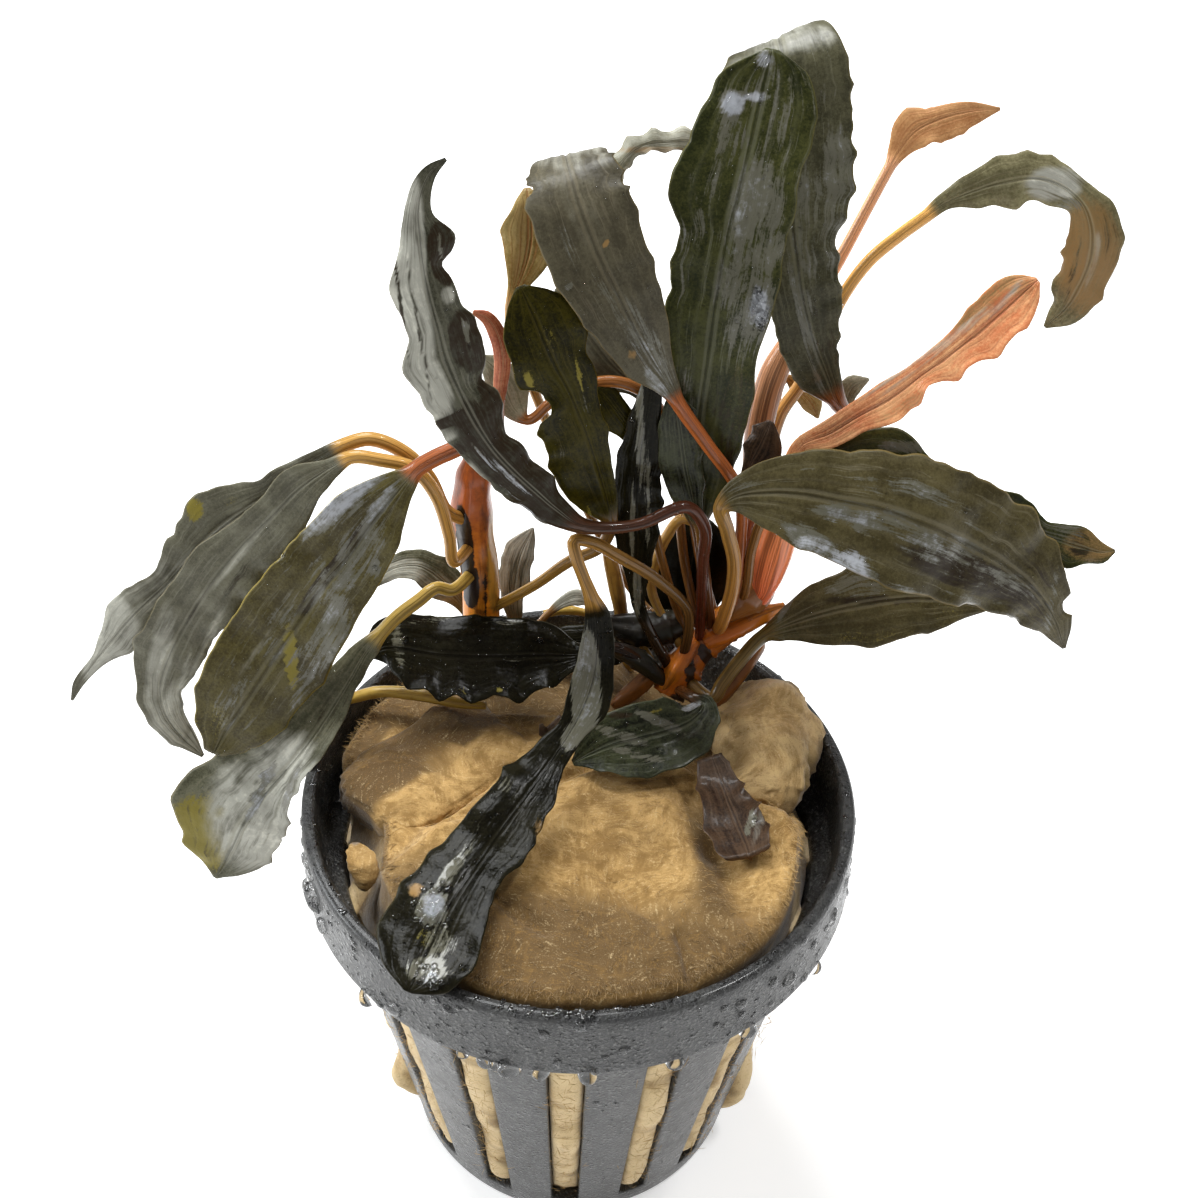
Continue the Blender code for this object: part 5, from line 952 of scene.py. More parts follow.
        "painted_sheen": ((1054, 184, 30, 18, 1.1), (990, 186, 60, 12, 0.25), (1092, 262, 8, 34, 0.3, -14)),
        "tawny": ((1088, 258, 40, 70, 0.7),),
        "glow": ((1040, 180, 40, 16, 0.2),),
    },
    "pink_leaf": {
        "painted_sheen": (
            (960, 330, 70, 4, 0.5, 38), (1005, 300, 30, 4, 0.6, 50), (900, 372, 60, 3, 0.5, 36),
            (850, 418, 40, 3, 0.4, 26), (940, 350, 90, 3, 0.45, 38),
        ),
        "tawny": ((985, 300, 60, 10, 0.55, 40), (905, 405, 40, 8, 0.4, 30), (1020, 285, 18, 14, 0.5)),
    },
    "dead_leaf_piece": {
        "wet_glare": ((752, 820, 6, 20, 0.5, -20),),
        "painted_sheen": ((765, 810, 6, 40, 0.35, -20),),
    },
    "left_stem": {
        "wet_glare": ((482, 570, 2, 24, 0.25), (460, 530, 2, 14, 0.3)),
        "brown": ((465, 548, 8, 46, 1.4, 6), (472, 588, 9, 22, 1.2), (486, 600, 3, 34, 0.6)),
        "fresh": ((494, 560, 8, 60, 0.9),),
    },
    "rhizome": {
        "brown": (
            (690, 672, 6, 20, 0.9), (720, 628, 26, 4, 1.0, 10), (676, 700, 12, 8, 0.7),
            (706, 656, 7, 16, 1.0, 30),
        ),
        "fresh": ((740, 616, 14, 8, 0.5),),
    },
}

# Stem colours: material, foot, top, dark streaks, an ochre mottled in and painted as light on lighter sides,
# and how wet
DARK_STREAK = (0.012, 0.005, 0.003)
OCHRE_SIDE = (0.50, 0.24, 0.03)
STEM_TONES = {
    "warm": ("orange_stem", (0.98, 0.33, 0.018), (0.42, 0.10, 0.02), DARK_STREAK, OCHRE_SIDE, 0.3),
    "rusty": ("rusty_crown", (0.5, 0.125, 0.009), (0.62, 0.195, 0.013), (0.03, 0.01, 0.004), OCHRE_SIDE, 0.3),
    "ochre": ("ochre_stalk", (0.42, 0.23, 0.045), (0.46, 0.25, 0.05), (0.15, 0.06, 0.015), OCHRE_SIDE, 0.3),
    "umber": ("umber_stub", (0.20, 0.07, 0.012), (0.30, 0.11, 0.020), DARK_STREAK, (0.32, 0.18, 0.05), 0.3),
    "black": ("black_stub", (0.01, 0.008, 0.005), (0.02, 0.018, 0.01), DARK_STREAK, (0.05, 0.05, 0.03), 0.08),
    "golden": ("golden_root", (0.46, 0.30, 0.06), (0.40, 0.25, 0.045), (0.2, 0.1, 0.015), OCHRE_SIDE, 0.3),
}

# Stems: colour, group, ridges and swollen rings
STEM_LOOKS = {
    "left_stem": ("warm", "stems", 0.08, 0.0),
    "rhizome": ("rusty", "stems", 0.16, 0.14),
    "orange_arm": ("rusty", "stems", 0.2, 0.1),
    "brown_lump": ("umber", "stems", 0.3, 0.1),
    "red_foot": ("rusty", "stems", 0.2, 0.1),
    "right_stub": ("umber", "stems", 0.16, 0.0),
    "left_stub": ("umber", "stems", 0.2, 0.0),
    "dark_stub": ("black", "stems", 0.3, 0.1),
    "dark_lump": ("black", "stems", 0.3, 0.2),
    "olive_stub": ("ochre", "stems", 0.1, 0.0),
    "ochre_stalk": ("ochre", "stems", 0.06, 0.0),
    "left_ochre_stalk": ("ochre", "stems", 0.06, 0.0),
    "rim_root": ("golden", "roots", 0.05, 0.05),
    "back_root": ("golden", "roots", 0.05, 0.05),
}

Row = namedtuple("Row", "round place left right left_back right_back")


def unit(vectors):
    return vectors / np.linalg.norm(vectors, axis=-1, keepdims=True)


def joined(*values):
    """Three values a point, side by side, each spread over all the points."""
    return np.stack(np.broadcast_arrays(*values), axis=-1)


def run_along(places):
    """The length run at each place of a line, from 0 at the first."""
    return np.concatenate(([0.0], np.cumsum(np.linalg.norm(np.diff(places, axis=0), axis=1))))


def straight(knots, places, where):
    """Places on the straight runs between the knots."""
    return joined(*(np.interp(where, knots, values) for values in places.T))


def turn_from(angle, middle):
    """The turn from a middle angle to this one, half a turn either way at most."""
    return (angle - middle + math.pi) % FULL_TURN - math.pi


def evenly_round(count):
    """Angles evenly round a circle."""
    return np.linspace(0.0, FULL_TURN, count + 1)[:-1]


def seed_of(name, below):
    """A number for a name, which starts its noise at a place of its own."""
    return sum(ord(letter) for letter in name) % below


def eye_axes():
    """The viewpoint's right, up and forward directions."""
    forward = unit(AIM - EYE)
    right = unit(np.cross(forward, (0.0, 0.0, 1.0)))
    up = np.cross(right, forward)
    turned_right = math.cos(EYE_ROLL) * right + math.sin(EYE_ROLL) * up
    turned_up = -math.sin(EYE_ROLL) * right + math.cos(EYE_ROLL) * up
    return turned_right, turned_up, forward


EYE_RIGHT, EYE_UP, EYE_FORWARD = eye_axes()


def at(across, down, y):
    """The place that is seen at a picture point and lies at this depth y."""
    sideways = (across - PICTURE_CENTRE[0]) / EYE_FOCAL
    upward = (PICTURE_CENTRE[1] - down) / EYE_FOCAL
    ray = EYE_FORWARD + sideways * EYE_RIGHT + upward * EYE_UP
    return EYE + ray * (y - EYE[1]) / ray[1]


def seen_at(points):
    """The picture points at which places are seen."""
    rays = points - EYE
    depth = rays @ EYE_FORWARD
    across = PICTURE_CENTRE[0] + EYE_FOCAL * (rays @ EYE_RIGHT) / depth
    down = PICTURE_CENTRE[1] - EYE_FOCAL * (rays @ EYE_UP) / depth
    return across, down


def row_of(numbers):
    """A cross-section from its four, five or seven numbers."""
    place = at(*numbers[:3])
    if len(numbers) == 4:
        return Row(True, place, numbers[3], numbers[3], 0.0, 0.0)
    backs = numbers[5:] or (0.0, 0.0)
    return Row(False, place, numbers[3], numbers[4], *backs)


def grain(points, size, seed=0):
    """Smooth noise from -1 to 1 over places in millimetres, with features of this size."""
    scaled = np.asarray(points, float) / size + 17.31 * seed
    cell = np.floor(scaled).astype(np.int64)
    part = scaled - cell
    ease = part * part * (3.0 - 2.0 * part)
    total = np.zeros(len(scaled))
    for corner in np.ndindex(2, 2, 2):
        mixed = (cell + corner) @ np.array((73856093, 19349663, 83492791))
        mixed = (mixed ^ (mixed >> 13)) * 1274126177
        value = ((mixed ^ (mixed >> 16)) & 0xFFFF) / 32767.5 - 1.0
        total += value * np.prod(np.where(corner, ease, 1.0 - ease), axis=1)
    return total


def rough(points, size, octaves, seed=0):
    """Noise with finer and finer features added."""
    return sum(grain(points, size * 0.5**k, seed + k) * 0.55**k for k in range(octaves))


def ripple(distance, size, seed):
    """Smooth noise from -1 to 1 along a length."""
    line = np.zeros((len(distance), 3))
    line[:, 0] = distance
    return grain(line, size, seed)


def smoothstep(value, low, high):
    share = np.clip((value - low) / (high - low), 0.0, 1.0)
    return share * share * (3.0 - 2.0 * share)


def eased(knots, values, where, limited=False):
    """A smooth curve through values at the knots. Limited, it never passes the values on either side."""
    knots = np.asarray(knots, float)
    values = np.asarray(values, float)
    steps = np.diff(knots)
    slopes = np.diff(values, axis=0) / steps.reshape(-1, *[1] * (values.ndim - 1))
    inner = 0.5 * (slopes[:-1] + slopes[1:])
    if limited:
        tiny = 1e-9
        harmonic = 2.0 / (1.0 / (slopes[:-1] + tiny) + 1.0 / (slopes[1:] + tiny))
        inner = np.where(slopes[:-1] * slopes[1:] > 0, harmonic, 0.0)
    tangents = np.concatenate((slopes[:1], inner, slopes[-1:]))
    index = np.clip(np.searchsorted(knots, where, side="right") - 1, 0, len(steps) - 1)
    step = steps[index]
    t = (where - knots[index]) / step
    if values.ndim > 1:
        t = t[:, None]
        step = step[:, None]
    start = (1.0 + 2.0 * t) * (1.0 - t) ** 2 * values[index] + t * (1.0 - t) ** 2 * step * tangents[index]
    end = t**2 * (3.0 - 2.0 * t) * values[index + 1] + t**2 * (t - 1.0) * step * tangents[index + 1]
    return start + end


# Materials


class Signal:
    """What varies over a surface: the output of a material node, with Python's operators for sums on it."""

    def __init__(self, finish, socket):
        self.finish = finish
        self.socket = socket

    def sums(self, operation, *values):
        return self.finish.node("ShaderNodeMath", {"operation": operation}, dict(enumerate(values)))

    def __add__(self, other):
        return self.sums("ADD", self, other)

    def __radd__(self, other):
        return self.sums("ADD", other, self)

    def __sub__(self, other):
        return self.sums("SUBTRACT", self, other)

    def __rsub__(self, other):
        return self.sums("SUBTRACT", other, self)

    def __mul__(self, other):
        return self.sums("MULTIPLY", self, other)

    def __rmul__(self, other):
        return self.sums("MULTIPLY", other, self)

    def __pow__(self, other):
        return self.sums("POWER", self, other)

    def __abs__(self):
        return self.sums("ABSOLUTE", self)

    def cosine(self):
        return self.sums("COSINE", self)

    def between(self, low, high):
        """0 below low, 1 above high, and smooth from one to the other."""
        sockets = {"Value": self, "From Min": low, "From Max": high}
        return self.finish.node("ShaderNodeMapRange", {"interpolation_type": "SMOOTHSTEP"}, sockets)


class Finish:
    """A material being made, around one Principled shader."""

    def __init__(self, name, **uniform):
        self.material = bpy.data.materials.new(name)
        self.material.use_nodes = True
        self.tree = self.material.node_tree
        self.shader = self.tree.nodes["Principled BSDF"]
        for socket, value in uniform.items():
            self.put(self.shader.inputs[socket.replace("_", " ").title().replace("Ior", "IOR")], value)

    def put(self, socket, value):
        """Sets a socket to a value, or links a signal to it."""
        if isinstance(value, Signal):
            self.tree.links.new(value.socket, socket)
        elif socket.type == "RGBA":
            socket.default_value = (*value, 1.0)
        else:
            socket.default_value = value

    def node(self, kind, settings=None, sockets=None, output=0):
        """A node of this kind with its settings and its sockets, as the signal of one of its outputs."""
        made = self.tree.nodes.new(kind)
        for setting, value in (settings or {}).items():
            setattr(made, setting, value)
        for socket, value in (sockets or {}).items():
            self.put(made.inputs[socket], value)
        return Signal(self, made.outputs[output])

    def gives(self, socket, signal):
        self.put(self.shader.inputs[socket], signal)

    def mix(self, share, first, second):
        """The first colour where the share is 0 and the second where it is 1."""
        return self.node("ShaderNodeMix", {"data_type": "RGBA"}, {0: share, 6: first, 7: second}, 2)

    def mark(self, name, output="Vector"):
        """A value stored on the mesh."""
        return self.node("ShaderNodeAttribute", {"attribute_name": name}, output=output)

    def parts(self, vector):
        split = self.node("ShaderNodeSeparateXYZ", None, {0: vector}).socket.node
        return [Signal(self, output) for output in split.outputs]

    def vector(self, x, y, z):
        return self.node("ShaderNodeCombineXYZ", None, {0: x, 1: y, 2: z})

    def scaled(self, vector, factor):
        return self.node("ShaderNodeVectorMath", {"operation": "SCALE"}, {0: vector, "Scale": factor})

    def stretched(self, vector, factors):
        return self.node("ShaderNodeVectorMath", {"operation": "MULTIPLY"}, {0: vector, 1: factors})

    def place(self):
        """The place on the object, in millimetres."""
        return self.scaled(self.node("ShaderNodeTexCoord", output="Object"), 1.0 / MM)

    def noise(self, where, size, detail=3.0, roughness=0.55, distortion=0.0):
        """Noise from 0 to 1 with features of this size in the units of its place."""
        sockets = {
            "Vector": where,
            "Scale": 1.0 / size,
            "Detail": detail,
            "Roughness": roughness,
            "Distortion": distortion,
        }
        return self.node("ShaderNodeTexNoise", None, sockets)

    def bump(self, height, depth, strength=1.0, under=None):
        """Relief of this depth in millimetres, on top of another relief if there is one."""
        sockets = {"Height": height, "Distance": depth * MM, "Strength": strength}
        if under is not None:
            sockets["Normal"] = under
        return self.node("ShaderNodeBump", None, sockets)


# Colours of the painted glare, dim and bright, the painted silvery sheen, brown spots and painted shade,
# fresh spots and tawny spots
GLARE_DIM = (0.125, 0.12, 0.088)
GLARE_BRIGHT = (0.44, 0.46, 0.50)
PAINTED_SHEEN_GREY = (0.40, 0.395, 0.34)
BROWN_AND_SHADE = (0.024, 0.015, 0.007)
FRESH = (0.22, 0.18, 0.03)
TAWNY = (0.25, 0.15, 0.055)
FINISHES = {}


def leaf_finish(name):
    """A wet leaf: clouded and speckled, with fine veins, a midrib, a thin rim, ragged wet patches with
    painted glare, and painted sheen and shade.
    """
    if name in FINISHES:
        return FINISHES[name]
    look = LOOKS[name]
    f = Finish(name + "_leaf", specular_ior_level=look.shine, coat_roughness=0.06)
    across, along, upper = f.parts(f.mark("growth"))
    # Marks: wet patches with painted glare, brown spots and painted shade, fresh spots; then painted sheen,
    # tawny spots and painted glints
    wet_glare_share, brown_and_shade_share, fresh_share = f.parts(f.mark("tints_and_painted_light"))
    painted_sheen_share, tawny_share, glow_share = f.parts(f.mark("sheens"))
    stalk_share = f.mark("stalk", "Fac")
    place = f.place()
    side = abs(across)
    clouds = f.noise(place, 3.4, 4.0, 0.6)
    speckle = f.noise(place, 0.24, 3.0, 0.8)
    streaks = f.noise(f.vector(across * 3.0, along * 0.1, upper), 1.0, 4.0, 0.6)
    blotch = f.noise(f.vector(across * 2.0, along * 0.2, 7.0), 1.0, 6.0, 0.7, 0.8)
    threads = f.noise(f.vector(across * 13.0, along * 0.13, 3.0), 1.0, 5.0, 0.7)
    ragged = (blotch * 0.5 + threads * 0.5) - 0.5
    grit = f.noise(place, 0.75, 3.0, 0.7)
    tone = clouds * 0.3 + streaks * 0.25 + speckle * 0.3 + grit * 0.15
    body = f.mix(tone.between(0.4, 0.6), look.deep, look.fresh)
    lines = ((side * 19.0).cosine() * 0.5 + 0.5) ** 8.0
    body = f.mix(lines * (0.1 + (threads - 0.5).between(0.0, 0.15) * 0.4), body, look.rib)
    body = f.mix((threads - 0.5).between(0.06, 0.14) * 0.35, body, look.rib)
    body = f.mix((fresh_share + ragged * 2.0 + (speckle - 0.5)).between(0.3, 0.7), body, FRESH)
    body = f.mix((tawny_share + ragged * 1.2 + (speckle - 0.5) * 0.6).between(0.2, 0.8), body, TAWNY)
    # Brown spots, and painted shade in the concave lobes and valleys of some leaves
    umber = f.mix((threads * 0.6 + grit * 0.4).between(0.46, 0.64), BROWN_AND_SHADE, f.scaled(look.fresh, 0.5))
    body = f.mix((brown_and_shade_share + ragged * 3.2).between(0.35, 0.75), body, umber)
    # Painted silvery sheen, with the pleats painted in as lit ridges and shaded valleys
    painted_sheen_mask = (painted_sheen_share + (streaks - 0.5) * 0.9 + (clouds - 0.5) * 0.7).between(0.1, 1.0)
    painted_sheen_mask = painted_sheen_mask * painted_sheen_share.between(0.0, 0.25)
    lit_pleat_share = (streaks * 0.5 + threads * 0.3 + clouds * 0.2).between(0.38, 0.52)
    painted_pleat_shading = f.mix(lit_pleat_share, f.scaled(look.rib, 0.45), PAINTED_SHEEN_GREY)
    painted_pleat_shading = f.mix((streaks + (grit - 0.5) * 0.4).between(0.52, 0.68), painted_pleat_shading, f.scaled(PAINTED_SHEEN_GREY, 1.4))
    body = f.mix(painted_sheen_mask * (1.0 - brown_and_shade_share.between(0.2, 0.8)), body, painted_pleat_shading)
    # Painted highlights on the ridges beside the midrib
    ridge = side.between(0.025, 0.05) * (1.0 - side.between(0.08, 0.13))
    body = f.mix(ridge * 0.4, body, look.rib)
    # Ragged wet patches: a wet coat, with the glare of the lights painted into the colour, brightest at the
    # painted glints
    wet_glare = (wet_glare_share * 1.4 + ragged * 3.8 + (speckle - 0.5) * 0.5).between(0.4, 0.74)
    wet_glare = wet_glare * wet_glare_share.between(0.0, 0.12)
    sheen = (glow_share + wet_glare_share * 0.35 + ragged * 2.6 + (grit - 0.5) * 1.3).between(0.3, 1.15)
    body = f.mix(wet_glare * 0.9, body, f.mix(sheen, GLARE_DIM, GLARE_BRIGHT))
    # Painted shade along the midrib's groove
    body = f.mix((1.0 - side.between(0.0, 0.035)) * 0.6, body, look.deep)
    body = f.mix(side.between(0.965, 1.0) * 0.6, body, look.rim)
    below = f.mix((streaks * 0.5 + clouds * 0.5).between(0.35, 0.65), look.under, look.rim)
    body = f.mix(upper, below, body)
    grooves = f.noise(f.vector(across * 5.0, along * 0.05, 1.0), 1.0, 3.0)
    stalk_tone = f.mark("stalk_tone")
    stalk = f.mix(grooves.between(0.42, 0.6) * 0.8, stalk_tone, f.scaled(stalk_tone, 0.3))
    f.gives("Base Color", f.mix(stalk_share, body, stalk))
    f.gives("Roughness", look.gloss + clouds * 0.14 - wet_glare * 0.1)
    f.gives("Coat Weight", wet_glare * 0.5 + speckle.between(0.55, 0.75) * 0.1 + stalk_share * 0.35 + look.wet)
    relief = f.bump(lines * 0.3 + streaks * 0.3 - ridge * 0.5, 0.08, 0.7, f.bump(clouds, 0.35, 0.6))
    f.gives("Normal", f.bump(speckle, 0.02, 0.6, relief))
    FINISHES[name] = f.material
    return f.material


def stem_finish(name, low, high, dark, side_tone, wet):
    """A stem streaked lengthwise: from one colour at its foot to another at its top, with painted shade and
    painted light on its sides.
    """
    f = Finish(name, specular_ior_level=0.25, coat_weight=wet, coat_roughness=0.08)
    round_about, along, share = f.parts(f.mark("growth"))
    # Marks: painted wet highlights, dark sides in painted shade and lighter sides in painted light
    wet_highlight_share, dark_share, light_share = f.parts(f.mark("tints_and_painted_light"))
    stripes = f.noise(f.vector(round_about.cosine() * 1.6, along * 0.12, round_about * 0.4), 1.0, 4.0, 0.6)
    mottle = f.noise(f.place(), 1.3, 5.0, 0.65)
    body = f.mix((share + (mottle - 0.5) * 0.6).between(0.25, 0.85), low, high)
    body = f.mix((light_share + (mottle - 0.5)).between(0.3, 0.7), body, side_tone)
    body = f.mix(stripes.between(0.46, 0.68) * 0.65, body, dark)
    body = f.mix((mottle - 0.5).between(0.0, 0.2) * 0.35, body, dark)
    body = f.mix((dark_share + (mottle - 0.5) * 1.2).between(0.35, 0.6), body, dark)
    f.gives("Base Color", f.mix(wet_highlight_share, body, GLARE_BRIGHT))
    f.gives("Roughness", 0.26 + mottle * 0.2)
    f.gives("Normal", f.bump(stripes * 0.6 + mottle * 0.4, 0.16))
    return f.material


def wool_finish(name, light, shade, wet, pale):
    """Damp mineral wool: matted swirling fibres with painted shade in folds and cracks, darker and browner
    where soaked and where shade is painted, paler in the slots.
    """
    f = Finish(name, specular_ior_level=0.15, sheen_weight=0.25, sheen_roughness=0.4)
    place = f.place()
    soaked_and_shaded, bleached, _ = f.parts(f.mark("damp_and_shade"))
    wide = {"Vector": place, "Scale": 1.0 / 11.0, "Detail": 2.0}
    drift = f.node("ShaderNodeTexNoise", None, wide, output="Color")
    swirl = {0: drift, 1: (9.0, 9.0, 9.0), 2: place}
    swirled = f.node("ShaderNodeVectorMath", {"operation": "MULTIPLY_ADD"}, swirl)
    hairs = f.noise(f.stretched(swirled, (0.3, 2.6, 2.6)), 0.62, 5.0, 0.7)
    cross_hairs = f.noise(f.stretched(swirled, (2.4, 0.4, 1.4)), 0.7, 5.0, 0.7)
    fluff = f.noise(place, 0.16, 2.0, 0.8)
    soak = f.noise(place, 8.0, 3.0, 0.55)
    tufts = f.noise(swirled, 3.2, 4.0, 0.6)
    lie = f.noise(place, 5.0, 2.0).between(0.45, 0.55)
    folds = f.noise(swirled, 1.5, 4.0, 0.65)
    weave = (hairs * (1.0 - lie) + cross_hairs * lie) * 0.5 + fluff * 0.35 + folds * 0.15
    body = f.mix((tufts * 0.35 + folds * 0.35 + weave * 0.3).between(0.41, 0.57), shade, light)
    body = f.mix((0.52 - soak).between(0.0, 0.2) * 0.3, body, wet)
    # Darker where soaked and where shade is painted
    body = f.mix((soaked_and_shaded + (tufts - 0.5) * 0.6).between(0.1, 1.0), body, wet)
    body = f.mix(bleached * (0.35 + tufts.between(0.35, 0.6) * 0.6), body, pale)
    body = f.mix(weave.between(0.53, 0.64) * 0.55, body, pale)
    body = f.mix((0.5 - weave).between(0.02, 0.12) * 0.7, body, shade)
    cracks = (0.5 - abs(f.noise(swirled, 6.0, 3.0, 0.5) - 0.5) * 20.0).between(0.0, 0.5)
    body = f.mix(cracks * (1.0 - bleached) * 0.25, body, shade)
    f.gives("Base Color", body)
    f.gives("Roughness", 0.6 + tufts * 0.35)
    f.gives("Normal", f.bump(weave, 0.18, 0.75, f.bump(folds - cracks * 0.15, 0.2, 0.2)))
    return f.material


def pot_finish():
    """Black moulded plastic, wet: pebbled by fine beads, with their glints painted as grey flecks, faint flow
    marks and dull dried splashes.
    """
    f = Finish("wet_black_plastic", specular_ior_level=0.45, coat_weight=0.25, coat_roughness=0.14)
    place = f.place()
    splash = f.noise(place, 2.4, 5.0, 0.65)
    beads = f.node("ShaderNodeTexVoronoi", None, {"Vector": place, "Scale": 1.0 / 0.62, "Randomness": 1.0})
    beads = (0.42 - beads).between(0.0, 0.3) * f.noise(place, 2.0, 3.0).between(0.42, 0.55)
    flow = f.noise(f.stretched(place, (1.0, 1.0, 0.12)), 1.3, 3.0)
    body = f.mix(splash.between(0.4, 0.65), (0.011, 0.011, 0.0115), (0.04, 0.04, 0.038))
    body = f.mix(flow.between(0.5, 0.75) * 0.4, body, (0.075, 0.075, 0.07))
    fine = f.noise(place, 0.28, 2.0, 0.8)
    _, _, height = f.parts(place)
    pebbled_part = 1.0 - height.between(POT_HEIGHT - 0.9, POT_HEIGHT - 0.3) * 0.9
    # Painted glints of the fine beads as grey flecks, and light and dark flecks of painted light and shade on
    # the pebbling, except on the rim's top
    body = f.mix(beads * pebbled_part * 0.6, body, (0.26, 0.26, 0.25))
    body = f.mix(fine.between(0.52, 0.68) * pebbled_part * 0.6, body, (0.19, 0.19, 0.18))
    body = f.mix((0.5 - fine).between(0.05, 0.15) * 0.6, body, (0.004, 0.004, 0.004))
    f.gives("Base Color", body)
    f.gives("Roughness", 0.3 + splash.between(0.35, 0.7) * 0.25 - beads * 0.2)
    pebbled = f.bump(fine, 0.3, 1.0, f.bump(flow * 0.5 + splash * 0.5, 0.1, 0.5))
    f.gives("Normal", f.bump(beads, 0.3, 1.0, pebbled))
    return f.material


def water_finish():
    """Clear water."""
    clear = (1.0, 1.0, 1.0)
    return Finish("water_drop", base_color=clear, roughness=0.01, ior=1.33, transmission_weight=1.0).material


def floor_finish():
    """A pale matt sheet, lit through from below under and behind the plant and fading towards the viewer."""
    f = Finish("pale_studio_sheet", roughness=0.9, specular_ior_level=0.1, emission_strength=1.0)
    place = f.place()
    tooth = f.noise(place, 6.0, 3.0)
    f.gives("Base Color", f.mix(tooth, (0.80, 0.80, 0.80), (0.83, 0.83, 0.83)))
    _, depth, _ = f.parts(place)
    glow = depth.between(-300.0, -40.0)
    f.gives("Emission Color", f.mix(glow, (0.0, 0.0, 0.0), (0.5, 0.5, 0.5)))
    return f.material


# Making and registering pieces


def merged(shapes):
    """The points and faces of many small shapes as one shape."""
    points = []
    faces = []
    count = 0
    for ring, quads in shapes:
        points.append(ring)
        faces += [[corner + count for corner in quad] for quad in quads]
        count += len(ring)
    return np.concatenate(points), faces


def add_piece(name, points, faces, material, stands_for=(), marks=None):
    """A smooth mesh piece from points in millimetres, which rides on the plant."""
    mesh = bpy.data.meshes.new(name)
    mesh.from_pydata((np.asarray(points) * MM).tolist(), [], [tuple(face) for face in faces])
    mesh.materials.append(material)
    mesh.polygons.foreach_set("use_smooth", [True] * len(mesh.polygons))
    for mark, values in (marks or {}).items():
        kind, field = ("FLOAT", "value") if values.ndim == 1 else ("FLOAT_VECTOR", "vector")
        attribute = mesh.attributes.new(mark, kind, "POINT")
        attribute.data.foreach_set(field, values.astype(np.float32).ravel())
    piece = bpy.data.objects.new(name, mesh)
    bpy.context.scene.collection.objects.link(piece)
    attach(piece, "root")
    if stands_for:
        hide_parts(*stands_for)
    return piece


def tube_faces(rings, around, capped=True):
    """Quads between rings of points, with a cap at each end."""
    ring = np.arange(rings - 1)[:, None] * around
    here = np.arange(around)[None, :]
    after = (here + 1) % around
    quads = np.stack((ring + here, ring + after, ring + after + around, ring + here + around), axis=-1)
    faces = quads.reshape(-1, 4).tolist()
    if capped:
        faces.append(list(reversed(range(around))))
        faces.append(list(range((rings - 1) * around, rings * around)))
    return faces


# Leaves and stems


def along_stem(stem, share):
    """The place on a stem's middle line at this share of its length, and the stem's radius there."""
    rows = [row_of(numbers) for numbers in STEMS[stem]]
    places = np.array([row.place for row in rows])
    knots = run_along(places)
    where = share * knots[-1]
    return straight(knots, places, where), np.interp(where, knots, [row.left for row in rows])


def rooted(name, rows):
    """The rows with the foot set into the stem that the stalk grows from."""
    for stem_name, shares in GROWS_FROM.items():
        if name in shares:
            middle, radius = along_stem(stem_name, shares[name])
            away = rows[0].place - middle
            foot = rows[0]._replace(place=middle + unit(away) * radius * STALK_SET_IN)
            rest = rows[1:] if np.linalg.norm(away) < radius + STALK_REACH else rows
            return [foot] + rest
    return rows


def lefts_along(places, alongs):
    """The way to the left edge at each place: square to the line of sight, and carried on round a fold."""
    lefts = []
    for place, along in zip(places, alongs):
        left = np.cross(along, unit(place - EYE))
        if lefts:
            carried = lefts[-1] - along * np.dot(lefts[-1], along)
            same_side = math.copysign(1.0, np.dot(left, carried))
            left = same_side * left + (1.0 - np.linalg.norm(left)) * unit(carried)
        lefts.append(unit(left))
    return np.array(lefts)


class Growth:
    """A row table turned into close-set cross-sections."""

    def __init__(self, rows, step):
        places = np.array([row.place for row in rows])
        self.knots = run_along(places)
        self.length = self.knots[-1]
        self.where = np.linspace(0.0, self.length, max(6, int(self.length / step)))
        self.places = eased(self.knots, places, self.where)
        self.alongs = unit(np.gradient(self.places, axis=0))
        self.lefts = lefts_along(self.places, self.alongs)
        self.above = np.cross(self.alongs, self.lefts)
        self.seen = unit(self.places - EYE)
        self.rows = rows

    def width(self, field):
        values = [getattr(row, field) for row in self.rows]
        return eased(self.knots, values, self.where, limited=True)


def ring_columns(columns):
    """Across the top from left to right and back below: shares of the half-width, and 1 above or -1 below."""
    evenly = np.linspace(-1.0, 1.0, columns)
    top = 0.5 * evenly + 0.5 * np.sin(evenly * math.pi / 2)
    across = np.concatenate((top, top[-2:0:-1]))
    upper = np.concatenate((np.ones(columns), -np.ones(columns - 2)))
    return across, upper


def lobed(growth, half, sign, lobes):
    """The half-widths with the lobes and nicks seen on this edge: picture point, reach in mm, half-length."""
    seen_across, seen_down = seen_at(growth.places + sign * growth.lefts * half[:, None])
    reach = np.zeros(len(half))
    for across, down, height, span in lobes:
        away = np.hypot(seen_across - across, seen_down - down)
        if away.min() < 1.2 * span:
            nearest = growth.where[np.argmin(away)]
            beside = (growth.where - nearest) / (span * MM_PER_PICTURE_STEP)
            reach += LOBE_SHARE * height * np.exp(-(beside**2))
    return np.maximum(LEAST_HALF_WIDTH, half + reach * (half > 0.4))


def bitten(growth, half, sign, bites):
    """The half-widths with the picture circles of the bites taken out of this edge."""
    kept = np.ones(len(half))
    for across, down, radius in bites:
        for share in BITE_SHARES:
            edge = growth.places + sign * growth.lefts * (share * half)[:, None]
            seen_across, seen_down = seen_at(edge)
            inside = np.hypot(seen_across - across, seen_down - down) < radius
            kept = np.where(inside, np.minimum(kept, share - BITE_MARGIN), kept)
    return half * kept


